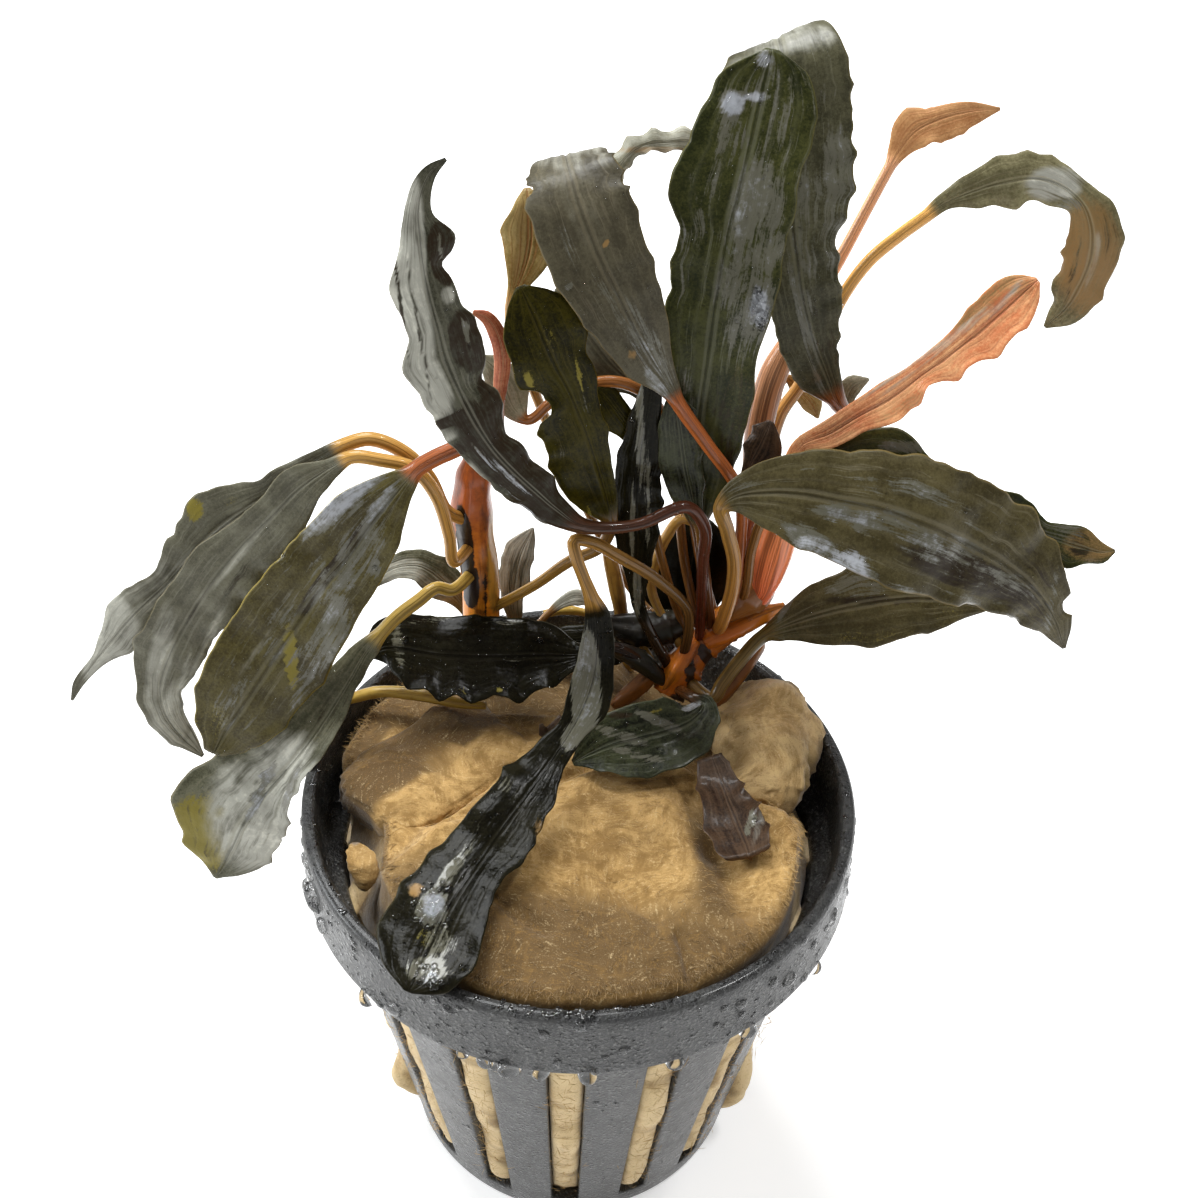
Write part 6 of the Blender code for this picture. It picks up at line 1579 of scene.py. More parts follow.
def tints_and_painted_light(points, patches):
    """How much of each kind of patch lies on each point, a column for each kind."""
    across, down = seen_at(points)
    shares = np.zeros((len(points), len(PATCH_KINDS)))
    for column, kind in enumerate(PATCH_KINDS):
        for numbers in patches.get(kind, ()):
            patch = Patch(*numbers)
            lean = math.radians(patch.lean)
            right = (across - patch.across) * math.cos(lean) - (down - patch.down) * math.sin(lean)
            below = (across - patch.across) * math.sin(lean) + (down - patch.down) * math.cos(lean)
            reach = np.hypot(right / patch.half_width, below / patch.half_height)
            share = patch.strength * (1.0 - smoothstep(reach, 0.55, 1.25))
            shares[:, column] = np.maximum(shares[:, column], share)
    return shares


def stalk_tone(name, share, around):
    """The stalk's colour for every point: one at its foot, another where the blade begins."""
    foot, neck = STALK_TONES.get(name, PLAIN_STALK)
    share = np.clip(share, 0.0, 1.0)[:, None]
    return np.repeat(share * np.array(neck) + (1.0 - share) * np.array(foot), around, axis=0)


def leaf(name, rows, style):
    """A leaf and its stalk: round below, flat above, with a midrib, veins, ruffles and an uneven outline."""
    growth = Growth(rooted(name, rows), LEAF_STEP)
    seed = seed_of(name, 97)
    stalk = growth.width("round")[:, None]
    blade_rows = [index for index, row in enumerate(growth.rows) if not row.round]
    start = growth.knots[max(0, blade_rows[0] - 1)]
    s = growth.where
    lobes = EDGE_LOBES.get(name, ())
    left = bitten(growth, lobed(growth, growth.width("left"), 1.0, lobes), 1.0, style.bites)
    right = bitten(growth, lobed(growth, growth.width("right"), -1.0, lobes), -1.0, style.bites)
    onset = smoothstep(s - start, 0.0, 5.0) * np.clip(np.minimum(left, right) / 2.0, 0.0, 1.0)

    across, upper = ring_columns(LEAF_COLUMNS)
    on_left = across < 0
    side = np.abs(across)[None, :]

    def edges(to_left, to_right):
        """One run of values for the left half and another for the right."""
        return np.where(on_left, to_left[:, None], to_right[:, None])

    def uneven(left_size, right_size, number):
        return edges(ripple(s, left_size, seed + number), ripple(s, right_size, seed + number + 1))

    turns = FULL_TURN * s / style.wave
    left_phase = turns + 2.4 * ripple(s, style.wave * 1.4, seed)
    right_phase = turns * 0.93 + 2.4 * ripple(s, style.wave * 1.5, seed + 1) + 1.7
    phase = edges(left_phase, right_phase)
    nicks = uneven(0.8, 0.9, 2)
    waves = uneven(3.6, 3.9, 4)
    stretch = uneven(8.0, 9.0, 6)
    lively = np.where(on_left, style.sides[0], style.sides[1]) * np.clip(0.55 + 1.5 * stretch, 0.08, 1.6)
    pointed = 1.7 * (0.5 + 0.5 * np.cos(phase)) ** 2 - 0.6
    teeth = onset[:, None] * style.teeth * (pointed * lively + 0.7 * waves + 0.45 * nicks)
    half = edges(left, right)
    half = half + teeth * np.clip(half / 1.6, 0.0, 1.0)
    back = edges(growth.width("left_back"), growth.width("right_back"))

    spread = joined(s[:, None], across * half, 0.0).reshape(-1, 3)
    swell = style.swell * grain(spread, 5.5, seed).reshape(half.shape)
    crease = 0.22 * style.swell * grain(spread, 1.7, seed + 9).reshape(half.shape)
    ruffle = style.ruffle * side**2.6 * np.sin(phase) * lively
    groove = style.groove * (0.5 * np.exp(-(((side - 0.16) / 0.08) ** 2)) - np.exp(-((side / 0.055) ** 2)))
    veins = 0.3 * style.groove * np.cos(13.0 * side) * (1.0 - side**2)
    relief = onset[:, None] * (swell + crease + ruffle + groove + veins + style.cup * side**2)

    rounded = np.sqrt(np.clip(1.0 - side**6, 0.05, 1.0))
    thick = 0.5 * BLADE_THICKNESS * rounded * np.clip(half / 1.2, 0.35, 1.0)
    rib = np.where(upper < 0, 0.5 * MIDRIB_THICKNESS * np.exp(-((side / 0.1) ** 2)), 0.0)
    height = stalk * upper * half * np.sqrt(np.clip(1.0 - across**2, 0.0, 1.0))
    height = height + (1.0 - stalk) * (relief + upper * thick - rib)

    points = growth.places[:, None] - growth.lefts[:, None] * (across * half)[..., None]
    points = points + growth.above[:, None] * height[..., None]
    points = points + growth.seen[:, None] * ((1.0 - stalk) * back * side**1.5)[..., None]
    points = points.reshape(-1, 3)
    painted = tints_and_painted_light(points, PATCHES.get(name, {}))
    marks = {
        "growth": joined(across, (s - start)[:, None], 0.5 + 0.5 * upper).reshape(-1, 3),
        "tints_and_painted_light": painted[:, :3],
        "sheens": painted[:, 3:],
        "stalk": np.broadcast_to(smoothstep(stalk, 0.1, 0.9), half.shape).ravel(),
        "stalk_tone": stalk_tone(name, s / max(start, 1.0), len(across)),
    }
    faces = tube_faces(len(s), len(across))
    stands_for = () if name in CROWN_LEAVES else (name,)
    return add_piece("fresh_" + name, points, faces, leaf_finish(style.look), stands_for, marks)


def stem(name, rows, material, slot, ridges, rings):
    """A round stem or root with lengthwise ridges and swollen rings."""
    growth = Growth(rooted(name, rows), STEM_STEP)
    s = growth.where
    turn = np.linspace(-0.5 * math.pi, 1.5 * math.pi, STEM_COLUMNS + 1)[:-1]
    radius = growth.width("left")[:, None]
    seed = seed_of(name, 89)
    spread = joined(s[:, None] * 0.25, 2.0 * np.cos(turn), 2.0 * np.sin(turn)).reshape(-1, 3)
    uneven = grain(spread, 1.1, seed).reshape(len(s), -1)
    pulse = np.cos(FULL_TURN * s / STEM_RING_PITCH + 1.5 * ripple(s, 4.0, seed))
    swollen = rings * np.maximum(0.0, pulse)[:, None] ** 6
    radius = radius * (1.0 + ridges * uneven + swollen + 0.12 * ripple(s, 3.0, seed + 1)[:, None])
    points = growth.places[:, None] + growth.lefts[:, None] * (np.cos(turn) * radius)[..., None]
    points = points + growth.above[:, None] * (np.sin(turn) * radius)[..., None]
    points = points.reshape(-1, 3)
    marks = {
        "growth": joined(turn, s[:, None], (s / growth.length)[:, None]).reshape(-1, 3),
        "tints_and_painted_light": tints_and_painted_light(points, PATCHES.get(name, {}))[:, :3],
    }
    faces = tube_faces(len(s), len(turn))
    stands_for = () if name in CROWN_STUBS else (name,)
    return add_piece("fresh_" + name, points, faces, material, stands_for, marks)


# Net pot


def round_point(radius, angle, z):
    """A point at this angle from -Y towards +X."""
    return joined(radius * np.sin(angle), -radius * np.cos(angle), z)


def at_every_bar(offsets):
    """Angles all round the pot, from the offsets from one bar's middle."""
    return np.concatenate([FIRST_BAR + BAR_PITCH * index + offsets for index in range(BAR_COUNT)])


def pot_angles():
    """Angles round the pot with, for each, whether the wall from it to the next is a slot."""
    bar_steps = 8
    slot_steps = 5
    bar = np.linspace(-BAR_HALF_ANGLE, BAR_HALF_ANGLE, bar_steps + 1)
    slot = np.linspace(BAR_HALF_ANGLE, BAR_PITCH - BAR_HALF_ANGLE, slot_steps + 1)[1:-1]
    open_after = np.array([False] * bar_steps + [True] * slot_steps)
    return at_every_bar(np.concatenate((bar, slot))), np.tile(open_after, BAR_COUNT)


def wall_radius(z):
    """The outer radius of the slotted wall at this height."""
    return BODY_RADIUS + (BASE_RADIUS - BODY_RADIUS) * (1.0 - z / (POT_HEIGHT - COLLAR_HEIGHT))


def collar_radius(z):
    """The outer radius of the collar at this height."""
    return RIM_RADIUS + COLLAR_FLARE * (RIM_ROUNDED_FROM - z) / COLLAR_FLARE_RUN


def pot_profile():
    """Outside and inside points from the rim down and in to the floor's middle, and which spans are slots."""
    below = POT_HEIGHT - COLLAR_HEIGHT
    flared = RIM_RADIUS + COLLAR_FLARE
    heights = np.linspace(below - 1.0, FOOT_HEIGHT, 18)
    shares = (0.2, 0.4, 0.6, 0.8, 1.0)
    top = [(RIM_RADIUS - 0.65, POT_HEIGHT), (RIM_RADIUS - 0.22, 49.92), (RIM_RADIUS, RIM_ROUNDED_FROM)]
    collar = []
    for share in shares:
        collar.append((RIM_RADIUS + COLLAR_FLARE * share, RIM_ROUNDED_FROM - COLLAR_FLARE_RUN * share))
    lip = [(flared + 0.03, below + 0.35), (flared - 0.12, below + 0.08), (flared - 0.5, below - 0.02)]
    body = [(BODY_RADIUS + 0.25, below - 0.1), (BODY_RADIUS, below - 0.45)]
    body += [(wall_radius(z), z) for z in heights]
    foot = [(BASE_RADIUS + 0.2, 0.8), (BASE_RADIUS, 0.25), (BASE_RADIUS - 0.3, 0.0), (FLOOR_HOLE_OUTER, 0.0)]
    outside = top + collar + lip + body + foot + [(FLOOR_HOLE_INNER, 0.0)]
    inner_top = RIM_RADIUS - RIM_WALL
    ledge = flared - COLLAR_WALL
    inside = [(inner_top + 0.3, POT_HEIGHT), (inner_top + 0.08, 49.9), (inner_top, RIM_ROUNDED_FROM)]
    for share in shares:
        inside.append((inner_top + (ledge - inner_top) * share, RIM_ROUNDED_FROM - COLLAR_INNER_RUN * share))
    inside += [(ledge - 0.3, below + 0.9), (ledge - 0.9, below + 0.4), (ledge - 1.4, below + 0.1)]
    inside += [(BODY_RADIUS - BODY_WALL + 0.1, below - 0.1), (BODY_RADIUS - BODY_WALL, below - 0.45)]
    inside += [(wall_radius(z) - BODY_WALL, z) for z in heights]
    inside += [(BASE_RADIUS - BODY_WALL, 2.4), (BASE_RADIUS - BODY_WALL - 0.1, 2.0)]
    inside += [(BASE_RADIUS - BODY_WALL - 0.5, FLOOR_THICKNESS), (FLOOR_HOLE_OUTER, FLOOR_THICKNESS)]
    inside += [(FLOOR_HOLE_INNER, FLOOR_THICKNESS)]
    first_slot_row = len(top + collar + lip) + 2
    slotted = [first_slot_row <= row < first_slot_row + len(heights) - 1 for row in range(len(outside) - 1)]
    slotted[-1] = True
    return np.array(outside), np.array(inside), slotted


def pot():
    """The net pot: solid collar, upright slots between the bars, slotted floor, softened edges."""
    outside, inside, slotted = pot_profile()
    angles, open_after = pot_angles()
    columns = len(angles)
    rows = len(outside)
    points = np.concatenate([round_point(r, angles, z) for r, z in np.concatenate((outside, inside))])
    middle = rows * columns
    faces = []
    for row in range(rows - 1):
        for column in range(columns):
            after = (column + 1) % columns
            a = row * columns + column
            b = row * columns + after
            c = b + columns
            d = a + columns
            if not (slotted[row] and open_after[column]):
                faces += [(a, d, c, b), (middle + a, middle + b, middle + c, middle + d)]
                continue
            if not (row and slotted[row - 1]):
                faces.append((b, a, middle + a, middle + b))
            if not (row + 1 < rows - 1 and slotted[row + 1]):
                faces.append((d, c, middle + c, middle + d))
            if not open_after[column - 1]:
                faces.append((a, d, middle + d, middle + a))
            if not open_after[after]:
                faces.append((c, b, middle + b, middle + c))
    last = (rows - 1) * columns
    under = len(points)
    for column in range(columns):
        after = (column + 1) % columns
        faces.append((column, after, middle + after, middle + column))
        faces.append((last + column, under, last + after))
        faces.append((middle + last + column, middle + last + after, under + 1))
    points = np.concatenate((points, [(0.0, 0.0, 0.0), (0.0, 0.0, FLOOR_THICKNESS)]))
    used = np.unique(np.concatenate([np.asarray(face) for face in faces]))
    renumbered = {int(old): new for new, old in enumerate(used)}
    faces = [[renumbered[corner] for corner in face] for face in faces]
    piece = add_piece("moulded_net_pot", points[used], faces, pot_finish(), ("net_pot",))
    softened = piece.modifiers.new("softened_edges", "BEVEL")
    softened.width = SOFTENED_EDGE * MM
    softened.segments = 2
    softened.limit_method = "ANGLE"
    softened.angle_limit = math.radians(50)
    return piece


# Rock wool


def wool_seam(x):
    """Where, from left to right, the raised front block ends and the ledge behind it begins."""
    return np.where(x < -3.0, 8.6 + 1.055 * x, np.where(x < 10.0, 5.4, 5.4 - 0.9 * (x - 10.0)))


def near_line(x, y, crease):
    """1 on a crease's line, falling to 0 over its width."""
    run_x = crease.to_x - crease.from_x
    run_y = crease.to_y - crease.from_y
    along = ((x - crease.from_x) * run_x + (y - crease.from_y) * run_y) / (run_x**2 + run_y**2)
    along = np.clip(along, 0.0, 1.0)
    away = np.hypot(x - crease.from_x - along * run_x, y - crease.from_y - along * run_y)
    return np.exp(-((away / crease.width) ** 2))


def wool_top(x, y):
    """The height of the plug's top: a raised front block, a ledge under the two torn lumps, and folds."""
    waves = 0.6 * np.sin(0.21 * x + 1.0) * np.sin(0.17 * y)
    front = WOOL_FRONT_TOP + waves - 0.008 * (y + 12.0) ** 2
    share = 1.0 / (1.0 + np.exp(np.clip((y - wool_seam(x) + 0.7) / 0.45, -40.0, 40.0)))
    mound = smoothstep(x, -13.0, -8.0) * (1.0 - smoothstep(x, 4.0, 9.0)) * (1.0 - smoothstep(y, 9.0, 10.5))
    ledge = WOOL_LEDGE + 4.6 * mound + 3.4 * (1.0 - mound) * (1.0 - smoothstep(x, 2.0, 8.0))
    height = ledge + (front - ledge) * share
    for crease in WOOL_CREASES:
        height = height - crease.depth * near_line(x, y, crease)
    return height


def wool_neck(angle):
    """The plug's radius at the rim: full in front, drawn in at the sides and the back."""
    share = 1.0 / (1.0 + np.exp((np.abs(turn_from(angle, WOOL_FULL_AT)) - WOOL_FULL_SPAN) / 0.12))
    left = np.exp(-(turn_from(angle, WOOL_LEFT_AT) / WOOL_LEFT_SPAN) ** 4)
    gap = np.exp(-(turn_from(angle, WOOL_GAP_AT) / WOOL_GAP_SPAN) ** 2)
    full = WOOL_NECK_RADIUS + (WOOL_FULL_RADIUS - WOOL_NECK_RADIUS) * np.maximum(share, 0.8 * left)
    return full - WOOL_GAP_DEPTH * gap


def frayed(points, outward, coarse, fine, seed):
    """Points pushed in and out along their outward directions by soft folds, tufts and fibres."""
    warp = joined(*(grain(points, 6.0, seed + axis) for axis in (1, 2, 3)))
    folds = grain(points + 2.5 * warp, 5.5, seed + 7)
    tufts = rough(points + 1.5 * warp, 2.2, 3, seed)
    fibres = rough((points + 3.0 * warp) * np.array((0.5, 1.6, 1.8)), 0.8, 2, seed + 5)
    return points + outward * (coarse * (0.7 * folds + 0.2 * tufts) + fine * fibres)[:, None]


def wool_columns():
    """Angles round the plug, with for each how far across a slot it lies, from 0 to 1."""
    in_slot = np.concatenate(([0.0], np.linspace(0.03, 0.97, 13), [1.0]))
    behind = np.linspace(-BAR_HALF_ANGLE, BAR_HALF_ANGLE, 7)[1:-1]
    offsets = np.concatenate((behind, BAR_HALF_ANGLE + in_slot * (BAR_PITCH - 2.0 * BAR_HALF_ANGLE)))
    shares = np.concatenate((np.zeros(len(behind)), in_slot))
    return at_every_bar(offsets), np.tile(shares, BAR_COUNT)


def wool_plug(material):
    """The plug: up the inside of the pot, out through each slot in puffs, and over its torn top."""
    angles, in_slot = wool_columns()
    columns = len(angles)
    bulge = np.clip(4.0 * in_slot * (1.0 - in_slot), 0.0, 1.0) ** 0.3
    rings = []
    outward = []
    damp_and_shade = []
    for z in np.linspace(FLOOR_THICKNESS + 0.25, POT_HEIGHT - COLLAR_HEIGHT - 1.0, WOOL_WALL_RINGS):
        inner = wall_radius(z) - BODY_WALL - 0.25
        reach = smoothstep(z, FOOT_HEIGHT, 5.0) * (1.0 - smoothstep(z, 40.4, 41.2))
        line = joined(np.sin(angles) * 14.0, np.cos(angles) * 14.0, z * 0.55)
        uneven = WOOL_PUFF * (grain(line, 4.4, 3) + 0.6 * grain(line, 1.6, 4))
        push = bulge * reach * (WOOL_PUFF_ALL_ROUND + uneven)
        for puff in WOOL_PUFFS:
            away = np.abs(turn_from(angles, math.radians(puff.degrees))) / puff.half_angle
            lift = np.exp(-((z - puff.z) / puff.half_height) ** 2 - away**4)
            push = push + bulge * reach * puff.depth * lift * (1.0 + 0.4 * grain(line, 2.4, 9))
        rings.append(round_point(inner + push, angles, z))
        outward.append(round_point(0.34 * bulge * reach, angles, 0.0))
        # Painted shade where the wool lies back behind the bars, with random stains; paler where it puffs out
        mottled = grain(line + 40.0, 2.0, 8)
        stained_and_shaded = 0.3 * (1.0 - bulge) + 0.6 * smoothstep(mottled, 0.2, 0.7)
        damp_and_shade.append(joined(stained_and_shaded, 1.5 * bulge * (1.0 - stained_and_shaded), 0.0))
    neck = wool_neck(angles)
    for drop in (2.2, 1.3, 0.6, 0.2):
        radius = neck - 0.35 * (drop < 0.5)
        x, y, _ = round_point(radius, angles, 0.0).T
        rings.append(joined(x, y, wool_top(x, y) - drop))
        outward.append(round_point(0.3, angles, 0.2))
        damp_and_shade.append(np.tile((0.6, 0.0, 0.0), (columns, 1)))
    for share in np.linspace(0.975, 0.02, WOOL_TOP_RINGS):
        x, y, _ = round_point(neck * share, angles, 0.0).T
        rings.append(joined(x, y, wool_top(x, y)))
        outward.append(np.tile((0.0, 0.0, 0.4), (columns, 1)))
        # Darker behind the front block and round the crown; along the front edge soaked and in painted shade;
        # painted shade in the hollow by the dead leaf and on the low ledge at the left
        behind = smoothstep(y - wool_seam(x), 1.0, 6.0) * smoothstep(y, 6.0, 9.0)
        crown = smoothstep(np.hypot(x - 9.0, y - 10.0), 9.0, 3.0)
        front_edge = smoothstep(-y - 0.15 * x + 2.5 * grain(rings[-1], 5.0, 2), 8.0, 20.0) * 0.95
        left_edge = smoothstep(-x, 19.5, 21.5) * 0.9
        right_away = (x - 12.8 - 1.2 * grain(rings[-1], 3.0, 6)) / 2.4
        right = 0.9 * np.exp(-(right_away**2) - ((y + 8.0) / 8.0) ** 2)
        wet = np.clip(0.85 * np.maximum(behind, crown) + front_edge + right + left_edge, 0.0, 1.0)
        damp_and_shade.append(joined(wet, 0.0, 0.0))
    points = frayed(np.concatenate(rings), np.concatenate(outward), 1.0, 0.22, 11)
    faces = tube_faces(len(rings), columns)
    marks = {"damp_and_shade": np.concatenate(damp_and_shade)}
    return add_piece("rock_wool_block", points, faces, material, ("rock_wool_plug",), marks)


def squared(value, squareness):
    """A sine or cosine drawn out towards a square corner."""
    return np.copysign(np.abs(value) ** squareness, value)


def wool_lump(name, lump, material):
    """A torn lump of wool with ragged sides and a matted top."""
    latitude = math.pi * (np.arange(1, LUMP_LEVELS) / LUMP_LEVELS - 0.5)[:, None]
    longitude = (FULL_TURN * np.arange(LUMP_COLUMNS) / LUMP_COLUMNS)[None, :]
    flat = squared(np.cos(latitude), lump.squareness)
    x = lump.half_size[0] * squared(np.cos(longitude), lump.squareness) * flat
    y = lump.half_size[1] * squared(np.sin(longitude), lump.squareness) * flat
    z = lump.half_size[2] * squared(np.sin(latitude), lump.squareness)
    turned_x = x * math.cos(lump.turn) - y * math.sin(lump.turn)
    turned_y = x * math.sin(lump.turn) + y * math.cos(lump.turn)
    around = joined(turned_x, turned_y, z).reshape(-1, 3)
    around[:, 2] += lump.rise * around[:, 0] * np.clip(around[:, 2] / lump.half_size[2] + 1.0, 0.0, 1.0)
    upward = around[:, 2] / lump.half_size[2]
    ragged_sides = unit(around * np.array((1.0, 1.0, 0.1))) * (1.0 - smoothstep(upward, 0.4, 0.95))[:, None]
    points = frayed(around + np.array(lump.centre), unit(around), 0.5, 0.2, 31)
    points = frayed(points, ragged_sides, lump.fray, 0.3, 47)
    # Painted shade in the dips
    dip_shade = np.zeros(len(points))
    for dip_x, dip_y, depth, width in lump.dips:
        away = np.hypot(points[:, 0] - dip_x, points[:, 1] - dip_y) / width
        points[:, 2] -= depth * np.exp(-(away**2)) * (around[:, 2] > 0)
        dip_shade = np.maximum(dip_shade, 0.5 * np.sign(depth) * np.exp(-2.0 * away**2))
    x, y, _ = points.T
    # Darker low down and behind the seam, and painted shade along the left side
    low = np.clip(0.4 - upward * 0.5, 0.0, 1.0) ** 2
    shaded_left_side = smoothstep(-x + 0.6 * grain(points, 2.5, 3), 20.2, 21.6)
    brown_back = smoothstep(y - wool_seam(x) + grain(points, 3.0, 5), 7.0, 8.6) * (x < 0)
    soaked_and_shaded = np.clip(0.14 + 0.6 * low + 0.9 * np.maximum(shaded_left_side, brown_back), 0.0, 1.0)
    soaked_and_shaded = np.maximum(soaked_and_shaded, dip_shade)
    dry = 0.55 * (1.0 - soaked_and_shaded) if lump.centre[0] > 0 else 0.0
    marks = {"damp_and_shade": joined(soaked_and_shaded, dry, 0.0)}
    faces = tube_faces(LUMP_LEVELS - 1, LUMP_COLUMNS)
    return add_piece("torn_" + name, points, faces, material, (name,), marks)


def wool_tuft(material):
    """The small yellow tuft that stands in the gap at the left."""
    spine = np.array([at(*numbers) for numbers in WOOL_TUFT])
    where = np.linspace(0.0, 1.0, TUFT_LEVELS)
    places = straight(np.linspace(0.0, 1.0, len(spine)), spine, where)
    width = TUFT_WIDTH * np.sin(math.pi * (0.12 + 0.82 * where)) ** 0.8
    turn = evenly_round(TUFT_COLUMNS)
    around = joined(np.cos(turn), 0.7 * np.sin(turn), 0.0)
    points = places[:, None] + around[None] * width[:, None, None]
    outward = np.broadcast_to(around, points.shape).reshape(-1, 3)
    points = frayed(points.reshape(-1, 3), outward, 0.15, 0.12, 61)
    marks = {"damp_and_shade": np.tile((0.4, 0.0, 0.0), (len(points), 1))}
    faces = tube_faces(TUFT_LEVELS, TUFT_COLUMNS)
    return add_piece("yellow_wool_tuft", points, faces, material, (), marks)


def strand(points, radius):
    """A thin three-sided thread through points."""
    along = unit(np.gradient(points, axis=0))
    side = unit(np.cross(along, (0.3, 0.2, 1.0)))
    other = np.cross(along, side)
    turn = np.array((0.0, 2.1, 4.2))
    thin = radius * np.sin(np.linspace(0.25, math.pi - 0.25, len(points)))[:, None, None]
    spokes = side[:, None] * np.cos(turn)[:, None] + other[:, None] * np.sin(turn)[:, None]
    rings = points[:, None] + thin * spokes
    return rings.reshape(-1, 3), tube_faces(len(points), len(turn), capped=False)


def loose_fibres(material):
    """Fine loose fibres that lie on the wool and stand off its torn edges and out of the slots."""
    chance = np.random.default_rng(7)
    fibres = []
    for index in range(FIBRE_COUNT):
        angle = chance.uniform(0.0, FULL_TURN)
        heading = chance.normal(0.0, 0.9) + math.pi * chance.integers(0, 2)
        length = chance.uniform(*FIBRE_LENGTHS)
        steps = np.linspace(-0.5, 0.5, 4)[:, None]
        bend = chance.normal(0.0, 0.4) * length * (steps**2 - 0.1)
        if index % 3:
            edge = index % 3 == 1
            share = chance.uniform(0.95, 1.0) if edge else math.sqrt(chance.uniform(0.0, 0.95))
            centre = round_point(wool_neck(angle) * share, angle, 0.0)
            run = np.array((math.cos(heading), math.sin(heading), 0.0))
            if edge:
                run = round_point(1.0, angle + chance.normal(0.0, 0.5), 0.0)
            across = np.array((-run[1], run[0], 0.0))
            line = centre + steps * length * run + bend * across
            line[:, 2] = wool_top(line[:, 0], line[:, 1]) + chance.uniform(-0.1, 0.45)
        else:
            slot = FIRST_BAR + 0.5 * BAR_PITCH + BAR_PITCH * chance.integers(0, BAR_COUNT)
            z = chance.uniform(6.0, 39.0)
            run = unit(np.array((0.4 * math.sin(slot), -0.4 * math.cos(slot), math.cos(heading * 0.7))))
            swing = slot + chance.normal(0.0, 0.04) + steps[:, 0] * 0.05 * math.sin(heading)
            line = round_point(wall_radius(z) + chance.normal(0.3, 0.4), swing, z) + steps * length * run
        fibres.append(strand(line, chance.uniform(*FIBRE_RADII)))
    points, faces = merged(fibres)
    # Darker towards the front, where the wool is soaked and in painted shade
    soaked_and_shaded = smoothstep(-points[:, 1] - 0.15 * points[:, 0], 8.0, 19.0) * (points[:, 2] > 42.0)
    marks = {"damp_and_shade": joined(soaked_and_shaded, 0.0, 0.0)}
    return add_piece("loose_wool_fibres", points, faces, material, (), marks)


# Water


def dome(centre, outward, radius, height, seed):
    """A drop of water sitting on a surface: a low uneven dome, plainer where it is tiny."""
    side = unit(np.cross(outward, (0.31, 0.52, 0.79)))
    other = np.cross(outward, side)
    tiny = radius <= TINY_DROP
    turn = evenly_round(7 if tiny else 14)
    lifts = (-0.25, 0.3, 0.85) if tiny else (-0.25, 0.12, 0.45, 0.75, 0.94)
    rings = []
    for lift in lifts:
        spread = radius * math.cos(max(0.0, lift) * math.pi / 2) ** 0.7 * (0.9 if lift < 0 else 1.0)
        uneven = 1.0 + 0.12 * np.sin(2.0 * turn + seed) + 0.06 * np.sin(3.0 * turn + 2.0 * seed)
        spokes = side * np.cos(turn)[:, None] + other * np.sin(turn)[:, None]
        raised = outward * height * math.sin(lift * math.pi / 2)
        rings.append(centre + spokes * (spread * uneven)[:, None] + raised)
    return np.concatenate(rings), tube_faces(len(rings), len(turn))


def drops(name, spots, material):
    """Drops from their centres, outward directions, radii and heights, as one piece."""
    domes = []
    for index, (centre, outward, radius, height) in enumerate(spots):
        domes.append(dome(centre, unit(outward), radius, height, float(index)))
    points, faces = merged(domes)
    return add_piece(name, points, faces, material)


def pot_drops(material):
    """Water beaded all round the collar and the bars, lying on the rim and hanging from the collar."""
    chance = np.random.default_rng(21)
    spots = []
    below = POT_HEIGHT - COLLAR_HEIGHT

    def bead(place, outward, radius, flatness=0.5):
        spots.append((round_point(*place), round_point(*outward), radius, radius * flatness))

    for index in range(COLLAR_DROPS):
        angle = chance.uniform(0.0, FULL_TURN)
        z = chance.uniform(below + 0.4, POT_HEIGHT - 0.6)
        large = index < LARGE_COLLAR_DROPS
        radius = 0.16 + 0.5 * chance.random() ** 4 if large else chance.uniform(0.05, 0.14)
        bead((collar_radius(z) - 0.02, angle, z), (1.0, angle, 0.06), radius)
    for angle in HANGING_DROPS:
        bead((RIM_RADIUS + 0.15, angle, below), (0.5, angle, -1.0), chance.uniform(0.55, 1.15), 0.9)
    for angle, z, radius in BIG_DROPS:
        bead((collar_radius(z) - 0.05, angle, z), (1.0, angle, -0.1), radius, 0.6)
    for index in range(BAR_DROPS):
        bar = FIRST_BAR + BAR_PITCH * chance.integers(0, BAR_COUNT)
        angle = bar + chance.uniform(-0.1, 0.1)
        z = chance.uniform(4.0, below - 1.5)
        large = index < LARGE_BAR_DROPS
        radius = 0.14 + 0.35 * chance.random() ** 3 if large else chance.uniform(0.05, 0.12)
        bead((wall_radius(z) - 0.02, angle, z), (1.0, angle, -0.15), radius)
    front = chance.normal(-0.05, 0.16, FRONT_RIM_DROPS)
    for angle in np.concatenate((front, chance.uniform(0.0, FULL_TURN, RIM_DROPS))):
        radius = chance.uniform(0.12, 0.34)
        bead((RIM_RADIUS - chance.uniform(0.35, 1.2), angle, POT_HEIGHT - 0.04), (0.0, angle, 1.0), radius)
    return drops("drops_on_the_pot", spots, material)


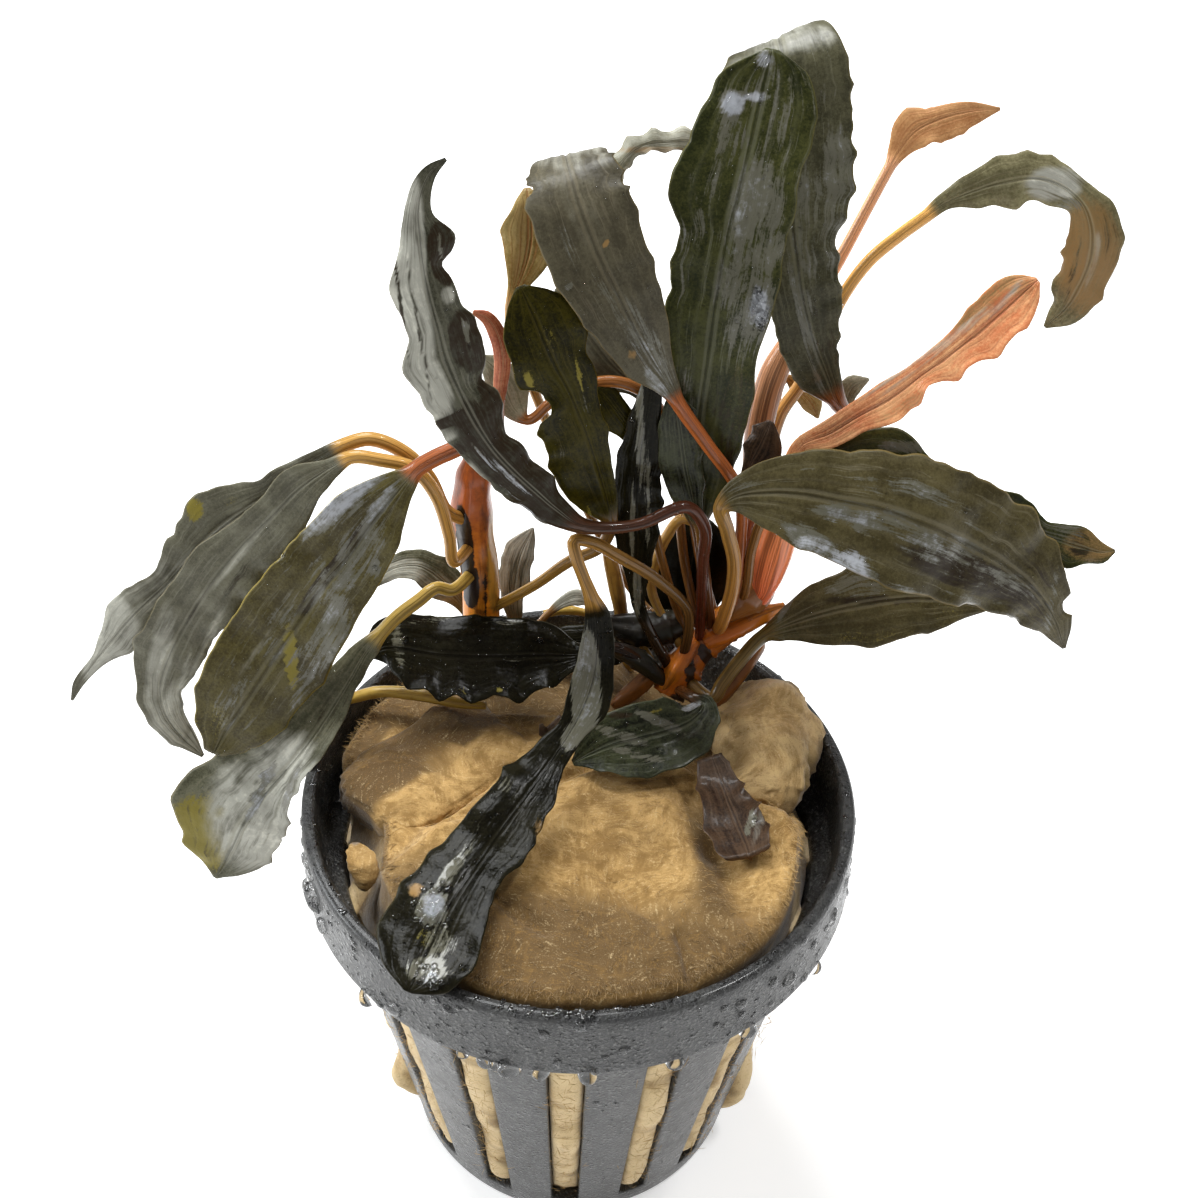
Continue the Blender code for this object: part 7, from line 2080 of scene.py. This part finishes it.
def leaf_drops(pieces, material):
    """Water standing on the leaves and the crown: drops where the picture shows them and a fine scatter."""
    chance = np.random.default_rng(33)
    leaf_shapes = []
    for piece in pieces:
        corners = [vertex.co for vertex in piece.data.vertices]
        leaf_shapes.append((corners, [polygon.vertices for polygon in piece.data.polygons]))
    points, faces = merged(leaf_shapes)
    surface = BVHTree.FromPolygons(points, faces)
    wanted = list(LEAF_DROPS)
    for middle_across, middle_down, half_width, half_height, count, largest in DROP_SCATTERS:
        for _ in range(count):
            turn = chance.uniform(0.0, FULL_TURN)
            reach = math.sqrt(chance.random())
            across = middle_across + half_width * reach * math.cos(turn)
            down = middle_down + half_height * reach * math.sin(turn)
            wanted.append((across, down, chance.uniform(0.05, largest)))
    spots = []
    eye = Vector(EYE * MM)
    for across, down, radius in wanted:
        ray = Vector(unit(at(across, down, 0.0) - EYE))
        place, normal, _, _ = surface.ray_cast(eye, ray)
        if place is None:
            continue
        outward = np.array(normal) * (-1.0 if normal.dot(ray) > 0 else 1.0)
        spots.append((np.array(place) / MM - outward * 0.1 * radius, outward, radius, radius * 0.6))
    return drops("drops_on_the_leaves", spots, material)


# Studio


def camera():
    """The camera at the viewpoint of the layout."""
    data = bpy.data.cameras.new("front_camera")
    data.sensor_width = 36.0
    data.lens = data.sensor_width * EYE_FOCAL / PICTURE_WIDTH
    data.clip_start = 0.005
    data.clip_end = 20.0
    eye = bpy.data.objects.new("front_camera", data)
    turned = Matrix((EYE_RIGHT, EYE_UP, -EYE_FORWARD)).transposed().to_4x4()
    eye.matrix_world = Matrix.Translation(Vector(EYE * MM)) @ turned
    bpy.context.scene.collection.objects.link(eye)
    bpy.context.scene.camera = eye


def soft_light(name, place, aim, size, power, colour=(1.0, 1.0, 1.0)):
    """A square soft light at a place, in metres, turned to its aim."""
    data = bpy.data.lights.new(name, "AREA")
    data.shape = "SQUARE"
    data.size = size
    data.energy = power
    data.color = colour
    light = bpy.data.objects.new(name, data)
    light.location = place
    light.rotation_euler = (Vector(aim) - Vector(place)).to_track_quat("-Z", "Y").to_euler()
    bpy.context.scene.collection.objects.link(light)


def studio():
    """A pale floor, a soft grey surround, two soft windows of cool light and a small lamp."""
    mesh = bpy.data.meshes.new("studio_floor")
    corners = [(-4.0, -4.0, 0.0), (4.0, -4.0, 0.0), (4.0, 4.0, 0.0), (-4.0, 4.0, 0.0)]
    mesh.from_pydata(corners, [], [(0, 1, 2, 3)])
    mesh.materials.append(floor_finish())
    floor = bpy.data.objects.new("studio_floor", mesh)
    bpy.context.scene.collection.objects.link(floor)
    world = bpy.data.worlds.new("soft_surround")
    world.use_nodes = True
    surround = world.node_tree.nodes["Background"].inputs
    surround["Color"].default_value = (1.0, 0.98, 0.95, 1.0)
    surround["Strength"].default_value = 0.3
    bpy.context.scene.world = world
    plant = (0.0, 0.0, 0.06)
    soft_light("window_above", (-0.25, 0.45, 1.1), plant, size=0.6, power=18.0, colour=(0.97, 0.99, 1.0))
    soft_light("window_left", (-0.9, 0.1, 0.55), plant, size=0.4, power=7.5, colour=(0.93, 0.97, 1.0))
    soft_light("small_lamp", (0.35, 0.1, 0.9), plant, size=0.12, power=2.5)
    bpy.context.scene.view_settings.view_transform = "Standard"
    bpy.context.scene.view_settings.exposure = 0.0


def leaves_and_stems():
    """All the leaves, then the stems, stubs, stalks and roots."""
    pieces = []
    for group in (MIDDLE_LEAVES, LEFT_LEAVES, FRONT_LEAVES, RIGHT_LEAVES, CROWN_LEAVES, DEAD_BITS):
        for name, rows in group.items():
            pieces.append(leaf(name, [row_of(numbers) for numbers in rows], LEAF_STYLES[name]))
    finishes = {colour: stem_finish(*tones) for colour, tones in STEM_TONES.items()}
    for name, (colour, slot, ridges, rings) in STEM_LOOKS.items():
        rows = [row_of(numbers) for numbers in (STEMS.get(name) or CROWN_STUBS[name])]
        pieces.append(stem(name, rows, finishes[colour], slot, ridges, rings))
    return pieces


def rock_wool():
    """The block in the pot, the two torn lumps on it, loose fibres and the small tuft."""
    wool = wool_finish("tan_mineral_wool", WOOL_LIGHT, WOOL_SHADE, WOOL_SOAKED_AND_SHADED, WOOL_PALE)
    wool_plug(wool)
    for name, lump in WOOL_LUMPS.items():
        wool_lump(name, lump, wool)
    loose_fibres(wool_finish("pale_wool_fibre", FIBRE_LIGHT, WOOL_LIGHT, FIBRE_SOAKED_AND_SHADED, WOOL_PALE))
    wool_tuft(wool)


def main():
    """The whole picture; the water on the leaves comes last, because it lies on the finished leaves."""
    camera()
    plant = leaves_and_stems()
    pot()
    rock_wool()
    water = water_finish()
    pot_drops(water)
    leaf_drops(plant, water)
    studio()


main()
